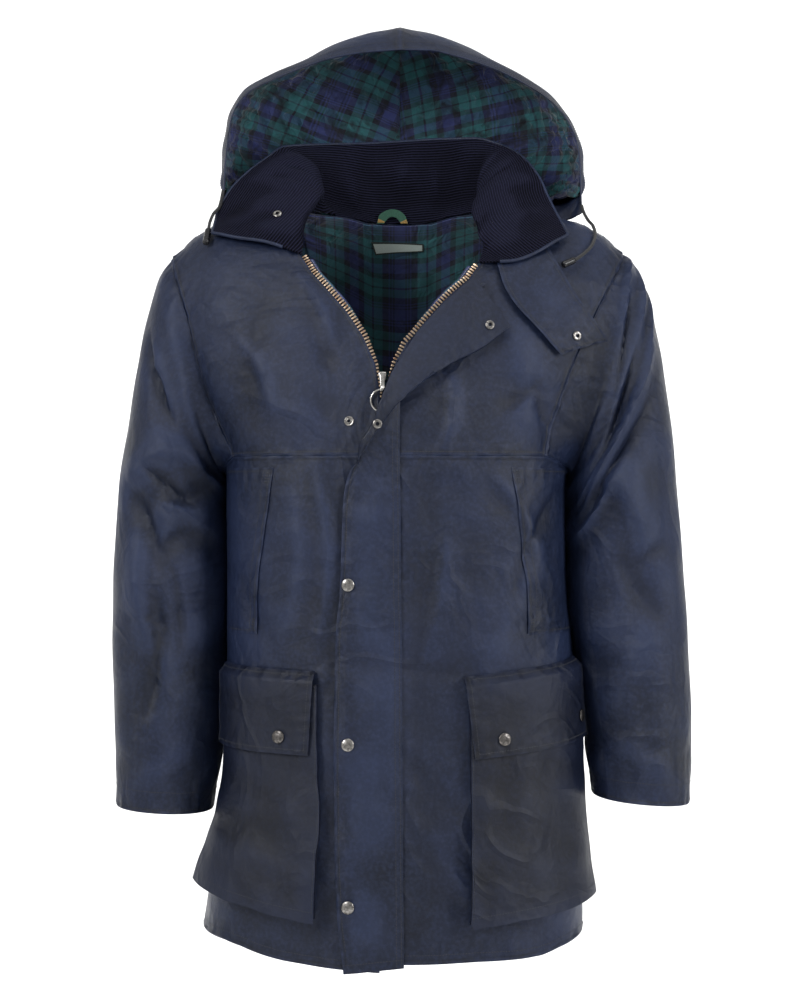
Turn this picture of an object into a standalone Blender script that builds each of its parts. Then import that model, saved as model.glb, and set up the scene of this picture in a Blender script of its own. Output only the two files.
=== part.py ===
"""Hooded waxed cotton jacket, worn open at the neck and held as if on a wearer.

Every piece of cloth is a thin wall: a face of points worked out from the tables below, and the same
points moved inwards by the cloth's thickness. Right and left are the wearer's, so the right side is -X.
Lengths are in metres, +Z is up, the front faces -Y and the origin is at the base of the neck.
"""

import math
from functools import partial

import bpy
import numpy as np

# Thickness of each cloth
WAXED = 0.0016
CORDUROY = 0.0024
LINING = 0.0012
QUILTED_LINING = 0.0022
TAPE = 0.0008

# Room left between pieces
SEAM = 0.0003

# Levels down the body: 0 along the shoulder seam, 90 at the yoke seam, then one for each centimetre
YOKE_LEVEL = 90.0
YOKE_DROP = 0.290
LEVEL_STEP = 0.01
UNDERARM_LEVEL = 92.0
SQUARENESS = 2.7

SIDE = {"right": -1.0, "left": 1.0}
FACE = {"front": -1.0, "back": 1.0}


def table(columns, *rows):
    """Rows of sizes as one array for each named column."""
    return {name: np.array(values, float) for name, values in zip(columns.split(), zip(*rows))}


# Half widths to each side and depths to front and back, below the yoke seam
TORSO = table(
    "drop right left front back",
    (0.290, 0.2150, 0.2060, 0.155, 0.150),
    (0.310, 0.2142, 0.2045, 0.156, 0.150),
    (0.360, 0.2135, 0.2035, 0.157, 0.149),
    (0.450, 0.2132, 0.2055, 0.157, 0.147),
    (0.510, 0.2134, 0.2110, 0.157, 0.148),
    (0.580, 0.2138, 0.2180, 0.158, 0.150),
    (0.660, 0.2145, 0.2230, 0.161, 0.154),
    (0.735, 0.2195, 0.2235, 0.163, 0.157),
    (0.800, 0.2320, 0.2245, 0.165, 0.160),
    (0.890, 0.2460, 0.2240, 0.167, 0.163),
)
# Half widths of the sections above the yoke seam, by share of the way down from the shoulder
CHEST = table(
    "share right left",
    (0.0, 0.315, 0.315),
    (0.2, 0.305, 0.300),
    (0.4, 0.285, 0.275),
    (0.6, 0.262, 0.250),
    (0.8, 0.238, 0.225),
    (1.0, 0.215, 0.206),
)
# How far out the armhole seam lies
ARMHOLE = table(
    "share front_right front_left back_right back_left",
    (0.00, 0.2810, 0.2760, 0.2810, 0.2760),
    (0.10, 0.2750, 0.2680, 0.2700, 0.2660),
    (0.32, 0.2605, 0.2440, 0.2450, 0.2430),
    (0.55, 0.2450, 0.2140, 0.2230, 0.2210),
    (0.73, 0.2315, 0.1940, 0.2060, 0.2030),
    (0.89, 0.2135, 0.1790, 0.1930, 0.1890),
    (1.00, 0.2000, 0.1720, 0.1850, 0.1810),
)
# How far down the hem hangs, by degrees round from the centre
HEM = table(
    "degrees front_right front_left back_right back_left",
    (0, 0.8890, 0.8790, 0.8680, 0.8680),
    (20, 0.8800, 0.8765, 0.8670, 0.8680),
    (30, 0.8755, 0.8765, 0.8660, 0.8675),
    (43, 0.8665, 0.8750, 0.8650, 0.8670),
    (57, 0.8620, 0.8680, 0.8630, 0.8655),
    (90, 0.8610, 0.8640, 0.8610, 0.8640),
)
# Height of the shoulder line
RIDGE = table(
    "out height",
    (0.000, 0.036),
    (0.060, 0.029),
    (0.105, 0.018),
    (0.160, 0.013),
    (0.220, 0.002),
    (0.250, -0.0135),
    (0.280, -0.041),
    (0.330, -0.090),
)
# Front edge of the shell: neckline, then down beside the zip
RIGHT_EDGE = table(
    "drop out",
    (-0.018, 0.1120),
    (0.000, 0.1145),
    (0.025, 0.1170),
    (0.051, 0.1175),
    (0.083, 0.0950),
    (0.106, 0.0745),
    (0.123, 0.0606),
    (0.141, 0.0484),
    (0.162, 0.0376),
    (0.181, 0.0298),
    (0.193, 0.0262),
    (0.210, 0.0235),
    (0.290, 0.0235),
    (0.900, 0.0235),
)
LEFT_EDGE = table(
    "drop out",
    (-0.018, 0.1100),
    (0.010, 0.1085),
    (0.035, 0.1030),
    (0.0615, 0.0943),
    (0.082, 0.0801),
    (0.100, 0.0594),
    (0.119, 0.0416),
    (0.136, 0.0254),
    (0.151, 0.0119),
    (0.167, 0.0025),
    (0.184, -0.0054),
    (0.194, -0.0095),
    (0.210, -0.0165),
    (0.290, -0.0165),
    (0.900, -0.0165),
)
EDGE = {"right": RIGHT_EDGE, "left": LEFT_EDGE}


def easy_slopes(xs, ys):
    """Slopes at the rows of a table that keep a curve through them from swinging past them."""
    steps = np.diff(ys) / np.diff(xs)
    slopes = np.empty(len(xs))
    slopes[0], slopes[-1] = steps[0], steps[-1]
    before, after = steps[:-1], steps[1:]
    same = before * after > 0
    total = np.where(same, before + after, 1.0)
    slopes[1:-1] = np.where(same, 2 * before * after / total, 0.0)
    return slopes


def read(rows, column, at):
    """The column's value at a place in the table's first column, on a smooth curve through the rows."""
    xs = rows[next(iter(rows))]
    ys = rows[column]
    slopes = easy_slopes(xs, ys)
    at = np.clip(np.asarray(at, float), xs[0], xs[-1])
    k = np.clip(np.searchsorted(xs, at) - 1, 0, len(xs) - 2)
    span = xs[k + 1] - xs[k]
    f = (at - xs[k]) / span
    ends = ys[k] * (1 + 2 * f) * (1 - f) ** 2 + ys[k + 1] * f * f * (3 - 2 * f)
    return ends + span * f * (1 - f) * (slopes[k] * (1 - f) - slopes[k + 1] * f)


def creases(rows, a, b):
    """Height of soft ridges and troughs, each along a line from one place to another."""
    total = np.zeros(np.broadcast(a, b).shape)
    for a0, b0, a1, b1, width, height in rows:
        da, db = a1 - a0, b1 - b0
        f = np.clip(((a - a0) * da + (b - b0) * db) / (da * da + db * db), 0, 1)
        gap = np.hypot(a - a0 - f * da, b - b0 - f * db)
        total = total + height * np.exp(-((gap / width) ** 2))
    return total


# Largest folds of the body: across, height, across, height, width, how far they stand out
FRONT_FOLDS = (
    (-0.125, -0.32, -0.135, -0.50, 0.020, 0.0035),
    (-0.060, -0.33, -0.075, -0.56, 0.025, -0.0030),
    (0.150, -0.36, 0.120, -0.50, 0.018, 0.0040),
    (0.060, -0.34, 0.045, -0.80, 0.028, -0.0035),
    (0.120, -0.12, 0.150, -0.26, 0.022, 0.0040),
    (-0.155, -0.10, -0.175, -0.25, 0.022, -0.0035),
)
BACK_FOLDS = (
    (-0.090, -0.36, -0.110, -0.80, 0.030, -0.0045),
    (0.020, -0.34, 0.030, -0.78, 0.028, 0.0040),
    (0.120, -0.36, 0.105, -0.82, 0.030, -0.0040),
    (-0.140, -0.12, -0.120, -0.26, 0.025, 0.0040),
    (0.150, -0.10, 0.125, -0.25, 0.025, 0.0040),
)
BODY_FOLDS = {"front": FRONT_FOLDS, "back": BACK_FOLDS}


def ridge_level(out, z):
    """The level of a point above the yoke seam from its distance out and its height."""
    ridge = read(RIDGE, "height", np.abs(out))
    share = (ridge - z) / (ridge + YOKE_DROP)
    return np.degrees(np.arccos(np.clip(1 - share, -1, 1)))


def level_at(out, z):
    return np.where(z > -YOKE_DROP, ridge_level(out, z), YOKE_LEVEL + (-z - YOKE_DROP) / LEVEL_STEP)


def share_of(level):
    return 1 - np.cos(np.radians(np.clip(level, 0, YOKE_LEVEL)))


def drop_of(level):
    return YOKE_DROP + np.maximum(np.asarray(level, float) - YOKE_LEVEL, 0) * LEVEL_STEP


def half_width(side, level):
    return np.where(
        np.asarray(level) < YOKE_LEVEL,
        read(CHEST, side, share_of(level)),
        read(TORSO, side, drop_of(level)),
    )


def turn_at(side, level, out):
    """The angle round the body, from the centre front or back, of a place so far out."""
    share = np.clip(np.abs(out) / half_width(side, level), 0, 1)
    return np.sign(out) * np.arcsin(share ** (SQUARENESS / 2))


def body(side, face, turn, level):
    """A point of the jacket's outer face before its folds."""
    turn, level = np.broadcast_arrays(np.asarray(turn, float), np.asarray(level, float))
    rise = np.radians(np.minimum(level, YOKE_LEVEL))
    power = 2 / SQUARENESS
    s, c = np.sin(turn), np.cos(turn)
    out = half_width(side, np.abs(level)) * np.sign(s) * np.abs(s) ** power
    depth = read(TORSO, face, drop_of(level)) * np.sin(rise)
    y = FACE[face] * depth * np.sign(c) * np.abs(c) ** power
    ridge = read(RIDGE, "height", np.abs(out))
    share = 1 - np.cos(rise)
    z = np.where(level < YOKE_LEVEL, ridge - share * (ridge + YOKE_DROP), -drop_of(level))
    return np.stack([SIDE[side] * out, y, z], axis=-1)


def unit(v):
    return v / np.maximum(np.linalg.norm(v, axis=-1, keepdims=True), 1e-12)


def outward(side, face, turn, level):
    across = body(side, face, turn + 0.004, level) - body(side, face, turn - 0.004, level)
    down = body(side, face, turn, level + 0.4) - body(side, face, turn, level - 0.4)
    return unit(np.cross(across, down) * SIDE[side] * FACE[face])


def skin(side, face, turn, level, lift=0.0):
    """A point of the outer face with its folds, moved out by lift."""
    turn, level = np.broadcast_arrays(np.asarray(turn, float), np.asarray(level, float))
    base = body(side, face, turn, level)
    fade = np.clip(np.cos(turn) * 2.5, 0, 1) * np.clip(level / 40, 0, 1)
    fold = creases(BODY_FOLDS[face], base[..., 0], base[..., 2]) * fade
    lift = np.asarray(lift, float)
    return base + outward(side, face, turn, level) * (fold + lift)[..., None]


def front_at(x, z, lift):
    """A point of the front at x and z, moved out by lift."""
    x, z, lift = np.broadcast_arrays(np.asarray(x, float), np.asarray(z, float), np.asarray(lift, float))
    points = np.empty(x.shape + (3,))
    for side in SIDE:
        out = SIDE[side] * x
        level = level_at(out, z)
        found = skin(side, "front", turn_at(side, level, out), level, lift)
        points = np.where((out >= 0)[..., None], found, points)
    return points


# Collar sections from the right front end round the back of the neck to the left front end. The neck
# seam is worked out from the neckline; stand, roll and fall are three places across the band.
COLLAR = table(
    "run stand_x stand_y stand_z roll_x roll_y roll_z fall_x fall_y fall_z tip_x tip_y tip_z",
    (0.00, -0.1494, -0.0902, -0.0349, -0.1861, -0.0800, -0.0275,
     -0.2074, -0.0703, -0.0225, -0.2282, -0.0557, -0.0167),
    (0.06, -0.1170, -0.0700, 0.0005, -0.1552, -0.0580, 0.0096,
     -0.1919, -0.0400, 0.0112, -0.2273, -0.0160, 0.0088),
    (0.12, -0.1011, -0.0480, 0.0246, -0.1348, -0.0340, 0.0379,
     -0.1742, -0.0160, 0.0421, -0.2129, 0.0020, 0.0427),
    (0.19, -0.0927, -0.0140, 0.0388, -0.1168, -0.0020, 0.0668,
     -0.1560, 0.0080, 0.0736, -0.1932, 0.0200, 0.0683),
    (0.25, -0.0975, 0.0120, 0.0406, -0.1054, 0.0200, 0.0720,
     -0.1363, 0.0330, 0.0933, -0.1685, 0.0430, 0.0926),
    (0.31, -0.0985, 0.0360, 0.0420, -0.1041, 0.0480, 0.0745,
     -0.1238, 0.0600, 0.0996, -0.1460, 0.0680, 0.1113),
    (0.37, -0.0765, 0.0580, 0.0405, -0.0794, 0.0680, 0.0703,
     -0.0848, 0.0770, 0.0950, -0.0916, 0.0860, 0.1173),
    (0.44, -0.0346, 0.0700, 0.0374, -0.0347, 0.0780, 0.0644,
     -0.0348, 0.0860, 0.0928, -0.0350, 0.0950, 0.1204),
    (0.51, 0.0064, 0.0720, 0.0390, 0.0064, 0.0800, 0.0673, 0.0065, 0.0880, 0.0958, 0.0065, 0.0970, 0.1233),
    (0.58, 0.0512, 0.0660, 0.0393, 0.0514, 0.0750, 0.0690, 0.0516, 0.0840, 0.0976, 0.0518, 0.0930, 0.1252),
    (0.65, 0.0839, 0.0500, 0.0405, 0.0868, 0.0600, 0.0715, 0.0923, 0.0700, 0.0989, 0.0940, 0.0800, 0.1239),
    (0.71, 0.0981, 0.0260, 0.0391, 0.1037, 0.0380, 0.0727, 0.1169, 0.0500, 0.0977, 0.1278, 0.0640, 0.1131),
    (0.78, 0.0943, -0.0060, 0.0314, 0.1097, 0.0060, 0.0645, 0.1331, 0.0220, 0.0837, 0.1531, 0.0400, 0.0946),
    (0.86, 0.0891, -0.0440, 0.0142, 0.1130, -0.0280, 0.0438, 0.1450, -0.0080, 0.0583, 0.1724, 0.0100, 0.0640),
    (0.93, 0.0936, -0.0820, -0.0229, 0.1208, -0.0660, 0.0035,
     0.1575, -0.0420, 0.0182, 0.1860, -0.0220, 0.0251),
    (1.00, 0.1281, -0.1068, -0.0585, 0.1670, -0.0945, -0.0438,
     0.1871, -0.0824, -0.0314, 0.2025, -0.0707, -0.0213),
)
COLLAR_PLACES = ("stand", "roll", "fall", "tip")

# Hood sections from the lower front corner to the centre seam: each a curve from the neck to the brim
HOOD_COLUMNS = "run neck_x neck_y neck_z back_x back_y back_z crown_x crown_y crown_z brim_x brim_y brim_z"
HOOD = {
    "right": table(
        HOOD_COLUMNS,
        (0.0, -0.1320, 0.0100, 0.0222, -0.1600, 0.0160, 0.0300,
         -0.1950, 0.0120, 0.0280, -0.2214, 0.0000, 0.0224),
        (0.1, -0.1340, 0.0220, 0.0212, -0.1750, 0.0500, 0.0220,
         -0.2280, 0.0500, 0.0350, -0.2199, 0.0040, 0.0480),
        (0.2, -0.1310, 0.0360, 0.0192, -0.1800, 0.0850, 0.0180,
         -0.2480, 0.0850, 0.0600, -0.2186, 0.0100, 0.0790),
        (0.3, -0.1220, 0.0480, 0.0162, -0.1800, 0.1150, 0.0140,
         -0.2550, 0.1150, 0.1050, -0.2161, 0.0170, 0.1128),
        (0.4, -0.1080, 0.0570, 0.0132, -0.1700, 0.1450, 0.0080,
         -0.2470, 0.1400, 0.1690, -0.2106, 0.0240, 0.1439),
        (0.5, -0.0900, 0.0630, 0.0092, -0.1500, 0.1700, 0.0020,
         -0.2230, 0.1600, 0.2350, -0.1950, 0.0300, 0.1695),
        (0.6, -0.0700, 0.0670, 0.0062, -0.1200, 0.1900, -0.0030,
         -0.1680, 0.1750, 0.2810, -0.1629, 0.0350, 0.1883),
        (0.7, -0.0500, 0.0690, 0.0032, -0.0850, 0.2050, -0.0070,
         -0.1220, 0.1850, 0.3150, -0.1265, 0.0390, 0.2040),
        (0.8, -0.0330, 0.0700, 0.0012, -0.0550, 0.2130, -0.0090,
         -0.0820, 0.1920, 0.3520, -0.0874, 0.0420, 0.2178),
        (0.9, -0.0160, 0.0700, 0.0002, -0.0270, 0.2180, -0.0100,
         -0.0400, 0.1970, 0.3900, -0.0431, 0.0440, 0.2259),
        (1.0, -0.0002, 0.0700, -0.0008, -0.0002, 0.2200, -0.0100,
         -0.0002, 0.2000, 0.4080, -0.0002, 0.0450, 0.2293),
    ),
    "left": table(
        HOOD_COLUMNS,
        (0.0, 0.1320, 0.0100, 0.0189, 0.1600, 0.0160, 0.0300,
         0.2000, 0.0100, -0.0060, 0.2270, 0.0000, 0.0150),
        (0.1, 0.1340, 0.0220, 0.0214, 0.1770, 0.0500, 0.0220, 0.2350, 0.0500, 0.0330, 0.2261, 0.0040, 0.0442),
        (0.2, 0.1310, 0.0360, 0.0194, 0.1820, 0.0850, 0.0180, 0.2570, 0.0850, 0.0580, 0.2255, 0.0100, 0.0765),
        (0.3, 0.1220, 0.0480, 0.0164, 0.1820, 0.1150, 0.0140, 0.2640, 0.1150, 0.1020, 0.2218, 0.0170, 0.1078),
        (0.4, 0.1080, 0.0570, 0.0134, 0.1720, 0.1450, 0.0080, 0.2460, 0.1400, 0.1600, 0.2111, 0.0240, 0.1356),
        (0.5, 0.0900, 0.0630, 0.0094, 0.1520, 0.1700, 0.0020, 0.2220, 0.1600, 0.2240, 0.1890, 0.0300, 0.1620),
        (0.6, 0.0700, 0.0670, 0.0064, 0.1220, 0.1900, -0.0030,
         0.1720, 0.1750, 0.2760, 0.1566, 0.0350, 0.1845),
        (0.7, 0.0500, 0.0690, 0.0034, 0.0870, 0.2050, -0.0070,
         0.1260, 0.1850, 0.3185, 0.1176, 0.0390, 0.2044),
        (0.8, 0.0330, 0.0700, 0.0014, 0.0570, 0.2130, -0.0090,
         0.0860, 0.1920, 0.3510, 0.0760, 0.0420, 0.2191),
        (0.9, 0.0160, 0.0700, 0.0004, 0.0290, 0.2180, -0.0100,
         0.0440, 0.1970, 0.3850, 0.0368, 0.0440, 0.2284),
        (1.0, 0.0002, 0.0700, -0.0006, 0.0002, 0.2200, -0.0100,
         0.0002, 0.2000, 0.4080, 0.0002, 0.0450, 0.2293),
    ),
}

# Sleeve sections from the armhole to the cuff: the outer and inner edge, the middle's depth, half the depth
SLEEVE_COLUMNS = "section outer_x outer_z inner_x inner_z middle_y half_y"
SLEEVE = {
    "right": table(
        SLEEVE_COLUMNS,
        (0, 0.2800, -0.0420, 0.2156, -0.3105, 0.000, 0.085),
        (1, 0.2965, -0.0647, 0.2185, -0.3180, -0.001, 0.083),
        (2, 0.3138, -0.1221, 0.2168, -0.3300, -0.002, 0.082),
        (3, 0.3250, -0.1806, 0.2160, -0.3480, -0.004, 0.081),
        (4, 0.3345, -0.2453, 0.2152, -0.3750, -0.006, 0.080),
        (5, 0.3440, -0.3035, 0.2150, -0.4050, -0.008, 0.078),
        (6, 0.3510, -0.3866, 0.2150, -0.4520, -0.010, 0.077),
        (7, 0.3538, -0.4596, 0.2150, -0.5050, -0.012, 0.076),
        (8, 0.3538, -0.5336, 0.2152, -0.5620, -0.014, 0.074),
        (9, 0.3508, -0.6063, 0.2165, -0.6180, -0.016, 0.072),
        (10, 0.3492, -0.6625, 0.2210, -0.6680, -0.018, 0.070),
        (11, 0.3480, -0.7145, 0.2300, -0.7210, -0.020, 0.068),
    ),
    "left": table(
        SLEEVE_COLUMNS,
        (0, 0.2750, -0.0370, 0.2066, -0.3105, 0.000, 0.085),
        (1, 0.2885, -0.0525, 0.2085, -0.3180, -0.004, 0.085),
        (2, 0.3068, -0.0959, 0.2070, -0.3300, -0.008, 0.085),
        (3, 0.3172, -0.1411, 0.2062, -0.3480, -0.012, 0.085),
        (4, 0.3252, -0.1914, 0.2060, -0.3750, -0.016, 0.083),
        (5, 0.3342, -0.2607, 0.2065, -0.4100, -0.020, 0.081),
        (6, 0.3405, -0.3400, 0.2080, -0.4550, -0.024, 0.079),
        (7, 0.3468, -0.4240, 0.2135, -0.5100, -0.027, 0.077),
        (8, 0.3515, -0.5078, 0.2200, -0.5650, -0.030, 0.075),
        (9, 0.3550, -0.5914, 0.2260, -0.6200, -0.033, 0.072),
        (10, 0.3552, -0.6530, 0.2280, -0.6550, -0.036, 0.070),
        (11, 0.3522, -0.7095, 0.2350, -0.7000, -0.038, 0.068),
    ),
}
SLEEVE_SECTIONS = 11
# Girth is measured round the sleeve from its outer edge by way of the front, run down from the armhole
SLEEVE_GIRTH = 0.46
SLEEVE_RUN = 0.62
SLEEVE_FOLDS = {
    "right": (
        (0.060, 0.13, 0.110, 0.15, 0.012, -0.0045),
        (0.180, 0.14, 0.050, 0.30, 0.016, 0.0050),
        (0.180, 0.17, 0.090, 0.29, 0.012, -0.0035),
        (0.060, 0.29, 0.110, 0.33, 0.014, -0.0045),
        (0.110, 0.33, 0.170, 0.28, 0.014, -0.0045),
        (0.080, 0.33, 0.110, 0.44, 0.016, 0.0050),
        (0.110, 0.38, 0.090, 0.50, 0.012, -0.0035),
        (0.300, 0.20, 0.380, 0.34, 0.018, -0.0045),
        (0.280, 0.30, 0.350, 0.46, 0.020, 0.0045),
    ),
    "left": (
        (0.020, 0.02, 0.090, 0.06, 0.012, 0.0045),
        (0.030, 0.07, 0.110, 0.13, 0.013, 0.0045),
        (0.050, 0.10, 0.140, 0.17, 0.012, -0.0045),
        (0.060, 0.16, 0.170, 0.20, 0.014, 0.0050),
        (0.080, 0.22, 0.180, 0.24, 0.013, -0.0040),
        (0.160, 0.20, 0.100, 0.34, 0.015, 0.0050),
        (0.130, 0.34, 0.085, 0.42, 0.012, -0.0035),
        (0.300, 0.18, 0.380, 0.30, 0.018, -0.0045),
        (0.290, 0.32, 0.350, 0.48, 0.020, 0.0045),
    ),
}

# The storm flap: its sewn root, the fold where it turns back, and its free edge, from the top down.
# Each place is across, height and how far it stands off the front; standing is the fold's thickness.
STORM_FLAP = table(
    "row root_x root_z fold_x fold_z fold_off edge_x edge_z edge_off turn_up",
    (0, 0.1001, -0.0877, 0.0865, -0.0821, 0.0050, 0.1272, -0.1414, 0.0085, 0.0032),
    (1, 0.0774, -0.1075, 0.0641, -0.1034, 0.0055, 0.0918, -0.1682, 0.0110, 0.0034),
    (2, 0.0534, -0.1310, 0.0434, -0.1245, 0.0060, 0.0572, -0.1863, 0.0125, 0.0036),
    (3, 0.0335, -0.1540, 0.0230, -0.1480, 0.0065, 0.0367, -0.1990, 0.0130, 0.0036),
    (4, 0.0175, -0.1760, 0.0072, -0.1715, 0.0075, 0.0149, -0.2162, 0.0140, 0.0036),
    (5, 0.0055, -0.1995, -0.0084, -0.1960, 0.0110, -0.0034, -0.2333, 0.0145, 0.0036),
    (6, 0.0000, -0.2238, -0.0180, -0.2204, 0.0138, -0.0161, -0.2492, 0.0145, 0.0034),
    (7, -0.0005, -0.2551, -0.0299, -0.2535, 0.0115, -0.0286, -0.2663, 0.0150, 0.0030),
    (8, -0.0003, -0.2864, -0.0460, -0.2842, 0.0070, -0.0446, -0.2915, 0.0105, 0.0028),
    (9, 0.0000, -0.3120, -0.0470, -0.3110, 0.0045, -0.0590, -0.3120, 0.0050, 0.0),
    (10, 0.0005, -0.3420, -0.0500, -0.3420, 0.0040, -0.0655, -0.3420, 0.0042, 0.0),
    (11, 0.0010, -0.4400, -0.0530, -0.4400, 0.0036, -0.0690, -0.4400, 0.0036, 0.0),
    (12, 0.0020, -0.5000, -0.0570, -0.5000, 0.0036, -0.0740, -0.5000, 0.0040, 0.0),
    (13, 0.0025, -0.6200, -0.0590, -0.6200, 0.0036, -0.0760, -0.6200, 0.0036, 0.0),
    (14, 0.0035, -0.7200, -0.0590, -0.7200, 0.0036, -0.0755, -0.7200, 0.0040, 0.0),
    (15, 0.0040, -0.8100, -0.0560, -0.8100, 0.0036, -0.0730, -0.8100, 0.0036, 0.0),
    (16, 0.0046, -0.8820, -0.0490, -0.8875, 0.0036, -0.0650, -0.8885, 0.0038, 0.0),
)
FLAP_ROWS = 27
# How far the flap's root stands off the front, by row: it rides over the zip's ring
FLAP_ROOT = table(
    "row off",
    (4.4, 0.0020),
    (5.2, 0.0038),
    (7.0, 0.0038),
    (7.8, 0.0020),
)
FLAP_LOWER_SHARES = (0.0, 0.33, 0.66, 0.93)
# Places from the fold to the edge: the share of the way where the flap lies flat and where it is folded
# back, and how far out and up they stand round the fold
FLAP_TURNING = table(
    "flat folded out rise",
    (0.12, 0.0, 0.4, 0.35),
    (0.24, 0.0, 0.4, 0.85),
    (0.36, 0.07, 0.0, 1.2),
    (0.55, 0.30, 0.0, 1.2),
    (0.78, 0.62, 0.0, 1.2),
    (1.00, 1.0, 0.0, 1.2),
)
FLAP_FOLDED_UP = 0.0026

# Pocket bags: inner edge across, and how far the face stands off the front, by height
BAG = {
    "right": table(
        "drop inner off_inner off_outer",
        (0.556, 0.0955, 0.0080, 0.0080),
        (0.640, 0.0944, 0.0100, 0.0080),
        (0.714, 0.0904, 0.0150, 0.0120),
        (0.757, 0.0938, 0.0200, 0.0215),
        (0.800, 0.0955, 0.0230, 0.0275),
        (0.826, 0.0969, 0.0240, 0.0285),
    ),
    "left": table(
        "drop inner off_inner off_outer",
        (0.556, 0.0800, 0.0080, 0.0080),
        (0.643, 0.0811, 0.0100, 0.0080),
        (0.714, 0.0808, 0.0150, 0.0095),
        (0.757, 0.0804, 0.0190, 0.0135),
        (0.803, 0.0800, 0.0220, 0.0205),
        (0.834, 0.0782, 0.0240, 0.0265),
    ),
}
BAG_OUTER_TURN = math.radians(72)
BAG_BOTTOM = {"right": (0.828, 0.800), "left": (0.834, 0.812)}
FLAP_TOP = {"right": (0.541, 0.537), "left": (0.547, 0.530)}
FLAP_BOTTOM = {"right": (0.638, 0.634), "left": (0.642, 0.626)}
FLAP_INNER = {"right": (0.0981, 0.1035), "left": (0.0740, 0.0849)}

# Throat tab: its two long edges from under the collar down to its end, across, height and stand-off
TAB_EDGES = table(
    "row near_x near_z near_off far_x far_z far_off",
    (0, 0.1150, -0.0585, 0.0034, 0.1775, -0.0400, 0.0034),
    (1, 0.1160, -0.0665, 0.0045, 0.1790, -0.0470, 0.0060),
    (2, 0.1210, -0.0879, 0.0060, 0.1908, -0.0737, 0.0090),
    (3, 0.1341, -0.1125, 0.0065, 0.2058, -0.1008, 0.0110),
    (4, 0.1550, -0.1374, 0.0075, 0.2214, -0.1254, 0.0135),
    (5, 0.1724, -0.1566, 0.0080, 0.2312, -0.1408, 0.0150),
    (6, 0.1865, -0.1710, 0.0080, 0.2363, -0.1494, 0.0155),
)

# Hood drawcords and their ends
CORD = 0.0040
CORD_END = 0.0084
CORD_ROUTE = {
    "right": (
        (-0.2202, 0.0008, 0.0427),
        (-0.2211, -0.0050, 0.0337),
        (-0.2235, -0.0125, 0.0207),
        (-0.2300, -0.0225, 0.0100),
        (-0.2335, -0.0325, -0.0030),
        (-0.2340, -0.0420, -0.0118),
    ),
    "left": (
        (0.2258, -0.0012, 0.0240),
        (0.2274, -0.0060, 0.0162),
        (0.2324, -0.0140, 0.0041),
        (0.2378, -0.0220, -0.0045),
        (0.2392, -0.0360, -0.0151),
        (0.2324, -0.0620, -0.0334),
        (0.2206, -0.0780, -0.0463),
        (0.2092, -0.0900, -0.0550),
    ),
}
CORD_END_PLACES = {
    "right": ((-0.2340, -0.0425, -0.0122), (-0.2350, -0.0620, -0.0310)),
    "left": ((0.2087, -0.0904, -0.0552), (0.1940, -0.0990, -0.0622)),
}

# Grid of the panels: rows of the yoke above and below the zip's top end, columns, rows below the yoke seam
YOKE_ROWS_ABOVE = 4
YOKE_ROWS_BELOW = 8
YOKE_ROWS = YOKE_ROWS_ABOVE + YOKE_ROWS_BELOW
YOKE_COLUMNS = 8
ARM_COLUMNS = 3
FRONT_ROWS = 9
BACK_COLUMNS = 7
SLEEVE_ROWS = 13
SIDE_SEAM_TURN = math.pi / 2 - 8.5e-5
SHOULDER_SEAM_LEVEL = 0.06
YOKE_SEAM_UP = YOKE_LEVEL - 0.03
YOKE_SEAM_DOWN = YOKE_LEVEL + 0.016
ZIP_TOP = {"right": 0.051, "left": 0.0615}

# The back neckline, and how the collar and the sleeves stand at their seams
NECK_LEVEL = 23.5
NECK_SHARE = 0.40
NECK_INSET = 0.0012
NECK_RAISE = 0.0024
COLLAR_END_SHARE = 0.05
COLLAR_END_FORWARD = 0.0045
SLEEVE_GAP = 0.0007
SLEEVE_EVEN_AT = 0.35
ARMHOLE_FADE = 0.10
LINING_COLUMNS = slice(4, -4)

# The zip, by rows of the shell's front edge. Its tapes and chains stand closer below the slider: how far
# the tape reaches past the edge, the middle of the teeth and half their width, open and closed
ZIP_ROWS = np.concatenate([np.arange(0.06, 5.6, 0.5), np.arange(6.0, 16.6, 1.0)])
ZIP_CLOSING_ROW = 4.0
ZIP_CLOSING_ROWS = 1.2
TAPE_REACH = (0.0046, 0.0032)
TAPE_BEHIND = 0.010
TAPE_IN = (WAXED + 0.0022, WAXED + 0.0006)
TEETH_MIDDLE = (0.0026, 0.0018)
TEETH_HALF = (0.0019, 0.0013)
TEETH_HEIGHTS = (-0.0018, 0.0010)
FACING_INWARD = table(
    "row inward",
    (0.0, 0.0120),
    (2.0, 0.0115),
    (3.2, 0.0080),
    (4.2, 0.0045),
    (4.8, 0.0030),
)
FACING_BEHIND = 0.012
FACING_IN = (WAXED + 0.0048, WAXED + 0.0026, WAXED + 0.0028)
LINING_OFF = SEAM + 0.0002

BAG_FOOT = {"right": 0.0012, "left": 0.0014}
BAG_DOWN = [k / 7 for k in range(8)]
BAG_ACROSS = [0.0, 0.1, 0.25, 0.4, 0.55, 0.7, 0.85, 1.0]
# Fold 0 is the face, 1 the pleat halfway down the gusset and 2 its foot: the share of the stand-off left
# there, and how far each lies inside the face's edge, by its own fold and the fold it meets at a corner
BAG_FOLD_OFF = {0: 1.0, 1: 0.45, 2: 0.0}
BAG_INSET = {0: (0.0, 0.0075, 0.0055), 1: (0.0036, 0.0036, 0.0030), 2: (0.0016, 0.0016, 0.0016)}
# Where the face stands off less than this the gusset is a plain wall
BAG_FLAT_OFF = 0.0100
BODY_RADIUS = 0.16
FLAP_FOOT = 0.0026
FLAP_OVER_BAG = 0.0018
FLAP_FOOT_SHARE = 0.12

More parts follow.
